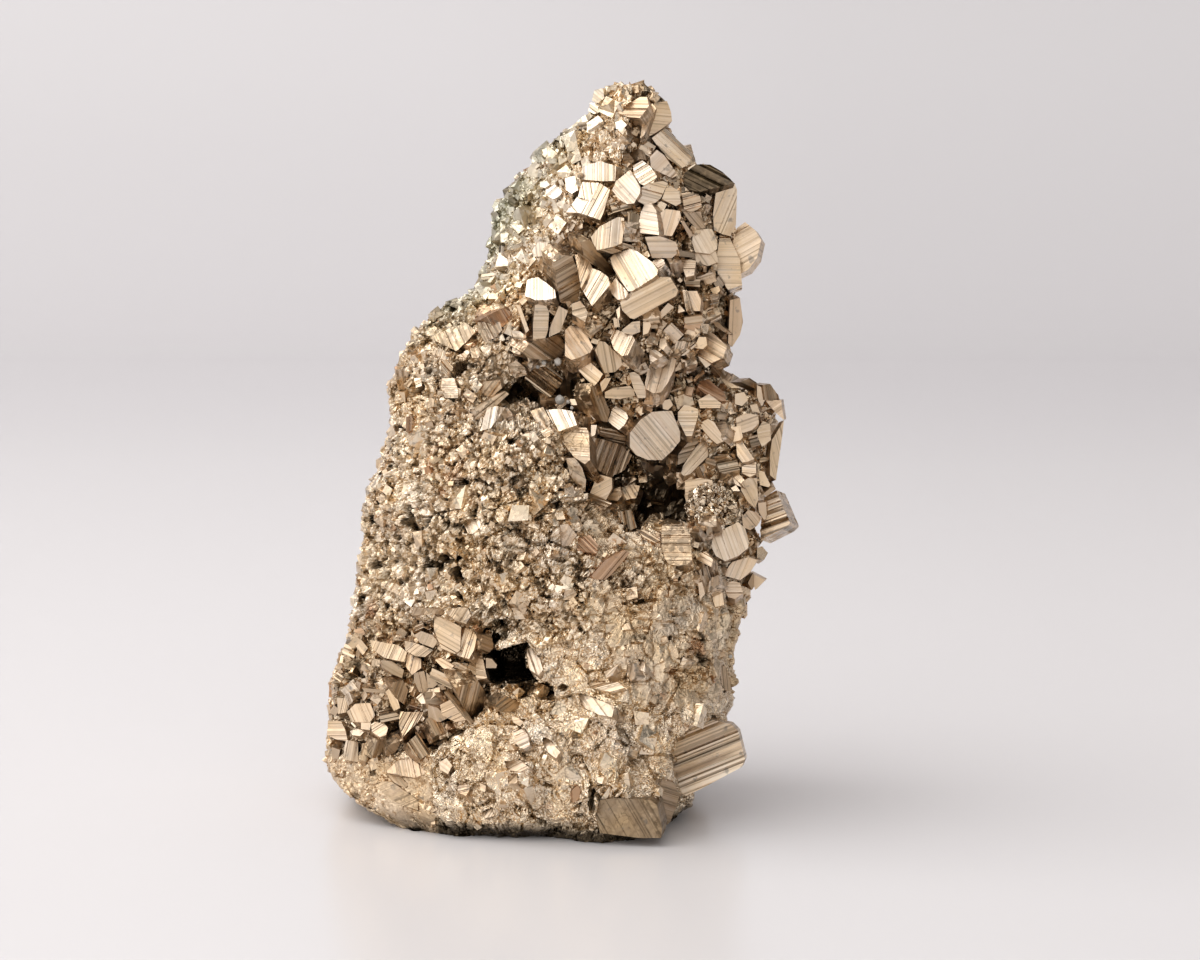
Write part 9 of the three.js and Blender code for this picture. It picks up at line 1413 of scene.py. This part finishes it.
# ---- prototypes of small bodies
def hull_proto(points):
    bm = bmesh.new()
    for p in points:
        bm.verts.new(p)
    r = bmesh.ops.convex_hull(bm, input=bm.verts)
    loose = [v for v in bm.verts if not v.link_faces]
    bmesh.ops.delete(bm, geom=loose, context="VERTS")
    bmesh.ops.recalc_face_normals(bm, faces=bm.faces)
    bmesh.ops.dissolve_limit(bm, angle_limit=math.radians(4), verts=bm.verts, edges=bm.edges)
    bm.verts.index_update()
    v = np.array([x.co[:] for x in bm.verts])
    f = [[x.index for x in face.verts] for face in bm.faces]
    bm.free()
    return v, np.concatenate([np.array(q) for q in f]), np.array([len(q) for q in f])


def protos(kind, n, seed):
    rng = np.random.default_rng(seed)
    out = []
    for _ in range(n):
        if kind == "cube":
            s = rng.uniform(0.75, 1.15, 3)
            c = np.array([[x, y, z] for x in (-1, 1) for y in (-1, 1) for z in (-1, 1)], float) * s
            pts = list(c)
            if rng.random() < 0.5:      # one corner cut off, as octahedron faces do
                k = rng.integers(0, 8)
                p = pts.pop(k)
                t = rng.uniform(0.25, 0.7)
                for ax in range(3):
                    q = p.copy(); q[ax] *= 1 - t * 1.2
                    pts.append(q)
            out.append(hull_proto(pts))
        elif kind == "chunk":
            c = np.array([[x, y, z] for x in (-1, 1) for y in (-1, 1) for z in (-1, 1)], float) * rng.uniform(0.7, 1.2, 3)
            c += rng.uniform(-0.3, 0.3, c.shape)
            extra = unit(rng.normal(size=(3, 3))) * rng.uniform(1.1, 1.45, (3, 1))
            out.append(hull_proto(list(c) + list(extra)))
        elif kind == "shard":
            pts = unit(rng.normal(size=(9, 3))) * np.array([1.3, 0.85, 0.6]) * rng.uniform(0.8, 1.15, (9, 1))
            out.append(hull_proto(list(pts)))
    return out


LIB = {k: protos(k, 14, s) for k, s in (("cube", 3), ("chunk", 5), ("shard", 8))}


def turn(n, rng, sigma):
    """Frames (k,3,3) whose Z lies near the directions n, tilted by about sigma degrees."""
    k = len(n)
    z = unit(n + np.tan(np.radians(sigma)) * rng.normal(size=(k, 3)) * 0.8)
    x = rng.normal(size=(k, 3))
    x = unit(x - z * (x * z).sum(1, keepdims=True))
    y = np.cross(z, x)
    return np.stack([x, y, z], 2)          # columns are the axes


def scatter(bag, pts, nrm, size, kinds, sigma, sink, rng, tint, rough, stretch=(0.8, 1.25), rust=None, dark=None):
    """Sets one body at each point."""
    if len(pts) == 0:
        return
    F = turn(nrm, rng, sigma)
    kind = rng.choice(len(kinds), size=len(pts), p=np.array([k[1] for k in kinds]) / sum(k[1] for k in kinds))
    var = rng.integers(0, 14, len(pts))
    sc = size[:, None] * rng.uniform(stretch[0], stretch[1], (len(pts), 3)) * 0.5
    pos = pts - nrm * (size * sink)[:, None]
    for ki, (kn, _) in enumerate(kinds):
        for vi in range(14):
            sel = np.where((kind == ki) & (var == vi))[0]
            if len(sel) == 0:
                continue
            v, fl, sz = LIB[kn][vi]
            w = np.einsum("kij,kvj->kvi", F[sel], v[None] * sc[sel][:, None, :]) + pos[sel][:, None, :]
            k, m = len(sel), len(v)
            loops = (fl[None] + (np.arange(k) * m)[:, None]).reshape(-1)
            sizes = np.tile(sz, k)
            nf = len(sz)
            bag.add(w.reshape(-1, 3), loops, sizes, np.repeat(tint[sel], nf), np.repeat(rough[sel], nf),
                    0.0 if rust is None else np.repeat(rust[sel], nf), 0.0 if dark is None else np.repeat(dark[sel], nf), facet=0.30)


# ---- places on the surface, in proportion to area
cell_a = np.linalg.norm(np.cross(P2[quads[:, 1]] - P2[quads[:, 0]], P2[quads[:, 3]] - P2[quads[:, 0]]), axis=1)
cell_a0 = np.linalg.norm(np.cross(P[quads[:, 1]] - P[quads[:, 0]], P[quads[:, 3]] - P[quads[:, 0]]), axis=1)
cell_r = REG[quads[:, 0]]
in_hole = push[quads].max(1) > 0.2
low = P2[quads].mean(1)[:, 2] < 0.25


def places(region, per_mm2, rng, min_z=0.4):
    m = np.isin(cell_r, [RID[r] for r in region]) & ~in_hole & ~low
    k = np.where(m)[0]
    w = cell_a0[k]
    n = int(per_mm2 * w.sum())
    pick = rng.choice(k, size=n, p=w / w.sum())
    s, t = rng.random((2, n))
    q = quads[pick]
    p = ((P2[q[:, 0]] * (1 - s)[:, None] + P2[q[:, 1]] * s[:, None]) * (1 - t)[:, None]
         + (P2[q[:, 3]] * (1 - s)[:, None] + P2[q[:, 2]] * s[:, None]) * t[:, None])
    nn = N[q[:, 0]]
    ok = (p[:, 2] > min_z)
    return p[ok], nn[ok]


def grains(name, regions, layers, seed, mat=None):
    rng = np.random.default_rng(seed)
    bag = Bag()
    for (per, lo, hi, kinds, sigma, sink, t0, t1, r0, r1, rustp) in layers:
        p, n = places(regions, per, rng)
        size = lo + (hi - lo) * rng.random(len(p)) ** 1.7
        seen = (n @ TO_CAM) > -0.15
        hide = face_mask(p, size * 0.42 - 0.35) & seen
        hide |= p[:, 2] < size * 0.5 + 0.35 + 0.5 * rng.random(len(p))
        hide |= (size > 1.0) & (p[:, 2] < size * 0.7 + 2.2)
        hide |= p[:, 2] + size * 0.6 > 100.2
        hide |= beyond_left(p - SIDE * (0.6 * size)[:, None], 0.5) & (size > 1.1)
        p, n, size = p[~hide], n[~hide], size[~hide]
        tint = rng.uniform(t0, t1, len(p))
        rough = rng.uniform(r0, r1, len(p))
        rust = np.where(rng.random(len(p)) < rustp, rng.uniform(0.25, 0.7, len(p)), 0.0)
        # the grains' dark: painted shade on grains at the rim that turn away from view, and darker grains at the right
        # of the peak
        shade = np.zeros(len(p))
        if "glitter" in regions:
            cut = (p[:, 0] > PEAK_RIGHT_DARK[0]) & (p[:, 2] > PEAK_RIGHT_DARK[1] - 0.6)
            rim_shade_g = np.clip(0.70 - n @ TO_CAM, 0, 0.6) / 0.6
            shade = np.where(cut, 0.88, 0.08 + rim_shade_g * 0.75 * rng.random(len(p)))
        scatter(bag, p, n, size, kinds, sigma, sink, rng, tint, rough, rust=rust, dark=shade)
    ob = bag.make(name, mat or MAT_GRAIN)
    pieces.append(ob)
    return ob


CUBE = [("cube", 1.0)]
MIX = [("cube", 0.35), ("chunk", 0.65)]
ROUGHMIX = [("chunk", 0.6), ("shard", 0.4)]
#           per_mm2 lo  hi   kinds    tilt sink tint      rough      rust
grains("grains_left", ["granular"], [
    (0.04, 0.9, 1.6, MIX, 32, 0.34, 0.45, 0.85, -0.05, 0.08, 0.03),
    (0.055, 1.2, 2.5, ROUGHMIX, 26, 0.40, 0.50, 1.0, -0.04, 0.06, 0.03),
    (0.36, 0.35, 0.85, ROUGHMIX, 50, 0.22, 0.30, 0.98, -0.03, 0.14, 0.03)], 101)
grains("grains_shoulder", ["granular2"], [
    (0.12, 1.0, 2.0, MIX, 32, 0.28, 0.35, 0.80, -0.05, 0.08, 0.05),
    (0.55, 0.40, 0.9, ROUGHMIX, 50, 0.14, 0.35, 0.90, 0.0, 0.14, 0.04)], 111)
grains("grains_upper", ["glitter"], [
    (0.22, 1.1, 2.7, MIX, 26, 0.31, 0.62, 1.0, -0.04, 0.08, 0.0),
    (0.60, 0.5, 1.1, MIX, 40, 0.16, 0.75, 1.0, -0.02, 0.12, 0.01)], 102)
grains("grains_crystal_side", ["crystals", "bump"], [
    (0.60, 0.5, 1.3, CUBE, 42, 0.10, 0.25, 0.70, -0.05, 0.05, 0.02)], 103)
grains("grains_lower_right", ["facets"], [
    (0.045, 1.2, 2.8, ROUGHMIX, 18, 0.41, 0.35, 0.85, -0.04, 0.08, 0.03),
    (0.16, 0.35, 0.9, ROUGHMIX, 44, 0.12, 0.20, 0.95, -0.04, 0.10, 0.03)], 104)
grains("grains_bottom", ["broken"], [
    (0.075, 1.4, 3.2, ROUGHMIX, 24, 0.41, 0.70, 1.0, -0.10, 0.02, 0.02),
    (0.10, 0.4, 0.9, ROUGHMIX, 46, 0.15, 0.40, 0.98, -0.02, 0.12, 0.05)], 105)
grains("grains_corner", ["corner"], [
    (0.05, 0.8, 1.5, ROUGHMIX, 12, 0.46, 0.40, 0.65, 0.06, 0.14, 0.0),
    (0.70, 0.3, 0.6, ROUGHMIX, 30, 0.25, 0.30, 0.70, 0.04, 0.14, 0.0)], 106)
grains("grains_cube_cluster", ["cubes"], [
    (0.45, 0.5, 1.1, MIX, 42, 0.12, 0.30, 0.75, -0.04, 0.08, 0.03)], 107)
grains("grains_back", ["back"], [
    (0.42, 0.5, 1.4, MIX, 40, 0.12, 0.30, 0.85, -0.02, 0.12, 0.03)], 108)


def cubelets(name, layers, seed):
    """Small striated crystals, each with its own lines."""
    rng = np.random.default_rng(seed)
    bag = Bag()
    for (regions, per, lo, hi, sigma, sink, t0, t1) in layers:
        p, n = places(regions, per, rng)
        size = lo + (hi - lo) * rng.random(len(p)) ** 1.5
        seen = (n @ TO_CAM) > -0.15
        hide = face_mask(p, size * 0.40 - 0.30) & seen
        hide |= (p[:, 2] < size * 0.75 + 0.6) | (p[:, 2] + size > 97.5)
        hide |= beyond_left(p - SIDE * (0.75 * size)[:, None], 0.35)
        p, n, size = p[~hide], n[~hide], size[~hide]
        F = turn(n, rng, sigma)
        for k in range(len(p)):
            h = size[k] / 2
            asp = rng.uniform(0.55, 1.0)
            w, d_ = h, h * asp
            pl = [(-w, -d_), (w, -d_), (w, d_), (-w, d_)]
            if rng.random() < 0.5:                  # one or two corners cut off
                c_ = rng.uniform(0.2, 0.6) * d_
                pl = [(-w + c_, -d_), (w, -d_), (w, d_ - c_), (w - c_, d_), (-w, d_), (-w, -d_ + c_)]
            top = p[k] + F[k][:, 2] * size[k] * (0.5 - sink)
            striated(bag, top, F[k][:, 2], F[k][:, 0], pl, size[k] * rng.uniform(0.8, 1.1), rng, rng.choice([0.12, 0.35, 0.9], p=[0.4, 0.3, 0.3]), True,
                     tint=rng.uniform(t0, t1), rough=rng.uniform(-0.04, 0.06), rust=0.4 if rng.random() < 0.02 else 0.0, dark=0.25 * rng.random() ** 3)
    ob = bag.make(name, MAT_CRYSTAL)
    pieces.append(ob)


cubelets("small_crystals_front", [
    (["crystals", "bump"], 0.30, 1.3, 3.0, 34, 0.12, 0.35, 0.75),
    (["cubes"], 0.22, 1.2, 2.8, 34, 0.16, 0.35, 0.70),
    (["glitter", "granular2"], 0.03, 1.2, 2.4, 26, 0.22, 0.5, 0.85)], 201)
cubelets("small_crystals_back", [
    (["back"], 0.075, 1.6, 3.6, 28, 0.18, 0.30, 0.75)], 202)

# ---- the small glittery ball in the right-hand pocket: one closed crinkled body
def ball_piece():
    bag = Bag()
    nu, nv = 150, 76
    th = np.linspace(0, 2 * math.pi, nu, endpoint=False)
    ph = np.linspace(0, math.pi, nv + 2)[1:-1]
    d = np.stack([np.outer(np.sin(ph), np.cos(th)), np.outer(np.sin(ph), np.sin(th)), np.outer(np.cos(ph), np.ones(nu))], 2).reshape(-1, 3)
    d = np.vstack([d, [[0, 0, 1.0]], [[0, 0, -1.0]]])
    c = np.array(BALL) - TO_CAM * 1.4
    q = c + d * 3.5
    g1, o1_, e1_, i1_ = cells(q, 1.5, 401)
    g2, o2_, e2_, i2_ = cells(q, 0.75, 402)
    r1_ = 1 - 2.8 * np.abs(value_noise(q, 1.1, 403))
    rad = 3.45 + 0.55 * g1 + 0.30 * g2 + 0.12 * r1_ - 0.25 * e2_ + 0.25 * value_noise(q, 3.0, 404)
    v = c + d * rad[:, None]
    ix = np.arange(nu * nv).reshape(nv, nu)
    qd = np.stack([ix[:-1], ix[1:], np.roll(ix, -1, 1)[1:], np.roll(ix, -1, 1)[:-1]], -1).reshape(-1, 4)
    jj = np.arange(nu); j2 = (jj + 1) % nu
    t1 = np.stack([np.full(nu, nu * nv), jj, j2], 1)
    t2 = np.stack([np.full(nu, nu * nv + 1), (nv - 1) * nu + j2, (nv - 1) * nu + jj], 1)
    col = np.concatenate([0.60 + 0.4 * i2_[qd[:, 0]], np.full(2 * nu, 0.5)])
    # darker along the creases between cells (painted shade) and on some cells at random
    dk = np.concatenate([np.clip(0.42 * e2_[qd[:, 0]] + 0.40 * (i2_[qd[:, 0]] < 0.2), 0, 0.8), np.full(2 * nu, 0.3)])
    bag.add(v, np.concatenate([qd.reshape(-1), t1.reshape(-1), t2.reshape(-1)]), np.concatenate([np.full(len(qd), 4), np.full(2 * nu, 3)]),
            col, -0.12, 0.0, dk, facet=0.6)
    return bag.make("glitter_ball", MAT_GRAIN)


pieces.append(ball_piece())

# ---- a few tiny clear to white quartz grains
mq = bpy.data.materials.new("quartz_specks")
mq.use_nodes = True
bq = mq.node_tree.nodes["Principled BSDF"]
nq = mq.node_tree.nodes.new("ShaderNodeTexNoise"); nq.inputs["Scale"].default_value = 1500.0
rq = mq.node_tree.nodes.new("ShaderNodeValToRGB")
rq.color_ramp.elements[0].color = (0.34, 0.31, 0.27, 1); rq.color_ramp.elements[1].color = (0.60, 0.57, 0.52, 1)
mq.node_tree.links.new(nq.outputs["Fac"], rq.inputs[0]); mq.node_tree.links.new(rq.outputs[0], bq.inputs["Base Color"])
bq.inputs["Roughness"].default_value = 0.38
rng = np.random.default_rng(77)
bag = Bag()
sizes_q = [1.35, 1.1, 0.7, 0.55, 0.6, 0.5, 0.6]
for c, d_ in zip(SPECKS, sizes_q):
    v_, f_, s_ = hull_proto(list(unit(rng.normal(size=(60, 3))) * rng.uniform(0.92, 1.05, (60, 1))))
    bag.add(np.array(c) + TO_CAM * 0.9 + v_ * d_ / 2, f_, s_, 0.5, 0.0)
specks = bag.make("quartz_specks", mq)
pieces.append(specks)

# ---------------------------------------------------------------- stage
def stage_material(name, rough):
    m = bpy.data.materials.new(name)
    m.use_nodes = True
    nt = m.node_tree
    b = nt.nodes["Principled BSDF"]
    # pale table, painted darker towards its far edge and in a band where it turns up (painted shade), then the pale
    # wall
    co = nt.nodes.new("ShaderNodeTexCoord")
    sp_ = nt.nodes.new("ShaderNodeSeparateXYZ")
    nt.links.new(co.outputs["Object"], sp_.inputs[0])
    mr = nt.nodes.new("ShaderNodeMapRange")
    mr.inputs[1].default_value = -0.3; mr.inputs[2].default_value = 0.95
    nt.links.new(sp_.outputs["Y"], mr.inputs[0])
    cr = nt.nodes.new("ShaderNodeValToRGB")
    r = cr.color_ramp
    r.interpolation = "B_SPLINE"
    stops = [(0.0, FLOOR_NEAR), (0.30, FLOOR_NEAR), (0.52, FLOOR_FAR_SHADE), (0.64, FLOOR_BAND_SHADE), (0.72, FLOOR_BAND_SHADE), (0.90, WALL)]
    r.elements[0].position, r.elements[0].color = stops[0][0], (*stops[0][1], 1)
    r.elements[1].position, r.elements[1].color = stops[-1][0], (*stops[-1][1], 1)
    for pos_, c_ in stops[1:-1]:
        r.elements.new(pos_).color = (*c_, 1)
    nt.links.new(mr.outputs[0], cr.inputs[0])
    # a touch darker towards the right: painted shade away from the key light
    right_shade = nt.nodes.new("ShaderNodeMapRange")
    right_shade.inputs[1].default_value = -0.05; right_shade.inputs[2].default_value = 0.09
    right_shade.inputs[3].default_value = 1.0; right_shade.inputs[4].default_value = 0.945
    nt.links.new(sp_.outputs["X"], right_shade.inputs[0])
    sc = nt.nodes.new("ShaderNodeVectorMath"); sc.operation = "SCALE"
    nt.links.new(cr.outputs[0], sc.inputs[0]); nt.links.new(right_shade.outputs[0], sc.inputs["Scale"])
    nt.links.new(sc.outputs[0], b.inputs["Base Color"])
    b.inputs["Roughness"].default_value = rough
    b.inputs["Specular IOR Level"].default_value = 0.45
    return m


KEY_W = 5.2
SKY_BASE = 0.19
SKY = [   # direction, cosine where it starts, cosine where it is full, gain
    ((-0.66, -0.10, 0.74), 0.45, 0.95, 0.95),     # broad soft light, upper left
    ((-1.0, -0.30, 0.10), 0.20, 0.95, 0.50),      # pale wall on the left
    ((0.0, -1.0, 0.12), 0.40, 0.95, 0.88),        # room behind the camera
    ((0.0, 0.35, 0.94), 0.3, 0.95, 0.55),         # light from above
]
WALL = (0.630, 0.608, 0.615)
# the floor colours are painted darker towards the back and in the band where it turns up: painted shade
FLOOR_NEAR, FLOOR_FAR_SHADE, FLOOR_BAND_SHADE = (0.722, 0.700, 0.703), (0.612, 0.591, 0.598), (0.568, 0.547, 0.559)
back_y, rise_r, top = 0.60, 0.30, 2.2
prof = [(-1.6, 0.0), (back_y, 0.0)]
for k in range(1, 17):
    t = math.pi / 2 * k / 16
    prof.append((back_y + rise_r * math.sin(t), rise_r * (1 - math.cos(t))))
prof.append((back_y + rise_r, top))
me = bpy.data.meshes.new("floor")
vs, fs = [], []
for (y, z) in prof:
    vs += [(-2.5, y, z), (2.5, y, z)]
for i in range(len(prof) - 1):
    fs.append((2 * i, 2 * i + 1, 2 * i + 3, 2 * i + 2))
me.from_pydata(vs, [], fs)
me.polygons.foreach_set("use_smooth", [True] * len(fs))
floor = bpy.data.objects.new("floor", me)
bpy.context.scene.collection.objects.link(floor)
me.materials.append(stage_material("floor", 0.25))

# ---------------------------------------------------------------- light
def area(name, loc, aim, size, power, col=(1, 1, 1)):
    d = bpy.data.lights.new(name, "AREA")
    d.shape = "RECTANGLE"
    d.size, d.size_y = size
    d.energy = power
    d.color = col
    o = bpy.data.objects.new(name, d)
    bpy.context.scene.collection.objects.link(o)
    o.location = loc
    o.rotation_mode = "QUATERNION"
    o.rotation_quaternion = (Vector(aim) - Vector(loc)).to_track_quat("-Z", "Y")
    return o


area("key", (-0.66, -0.02, 0.98), (0, 0, 0.05), (0.95, 0.95), KEY_W)

world = bpy.data.worlds.new("studio")
bpy.context.scene.world = world
world.use_nodes = True
wn = world.node_tree
wn.nodes.clear()
wo = wn.nodes.new("ShaderNodeOutputWorld")
bg = wn.nodes.new("ShaderNodeBackground")
bg.inputs[0].default_value = (1.0, 0.985, 0.975, 1)
wn.links.new(bg.outputs[0], wo.inputs[0])
tc = wn.nodes.new("ShaderNodeTexCoord")


def lobe(direction, c0, c1, gain):
    """Brightness that rises smoothly from 0 to gain as a direction turns towards
    `direction`; c0 and c1 are the cosines where it starts and is full."""
    dt = wn.nodes.new("ShaderNodeVectorMath"); dt.operation = "DOT_PRODUCT"
    wn.links.new(tc.outputs["Generated"], dt.inputs[0])
    dt.inputs[1].default_value = tuple(unit(direction))
    mr = wn.nodes.new("ShaderNodeMapRange")
    mr.interpolation_type = "SMOOTHERSTEP"
    mr.inputs[1].default_value = c0; mr.inputs[2].default_value = c1
    mr.inputs[3].default_value = 0.0; mr.inputs[4].default_value = gain
    wn.links.new(dt.outputs["Value"], mr.inputs[0])
    return mr.outputs[0]


total = None
for spec in SKY:
    o_ = lobe(*spec)
    if total is None:
        total = o_
    else:
        ad = wn.nodes.new("ShaderNodeMath"); ad.operation = "ADD"
        wn.links.new(total, ad.inputs[0]); wn.links.new(o_, ad.inputs[1])
        total = ad.outputs[0]
ad = wn.nodes.new("ShaderNodeMath"); ad.operation = "ADD"
wn.links.new(total, ad.inputs[0]); ad.inputs[1].default_value = SKY_BASE
wn.links.new(ad.outputs[0], bg.inputs[1])

bpy.context.scene.view_settings.view_transform = "Standard"
bpy.context.scene.view_settings.look = "None"
bpy.context.scene.view_settings.exposure = 0.0

# ---------------------------------------------------------------- hand over
for ob in pieces:
    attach(ob, "root")
for ob in (matrix_upper, matrix_middle, matrix_lower):
    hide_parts("pyrite_specimen")
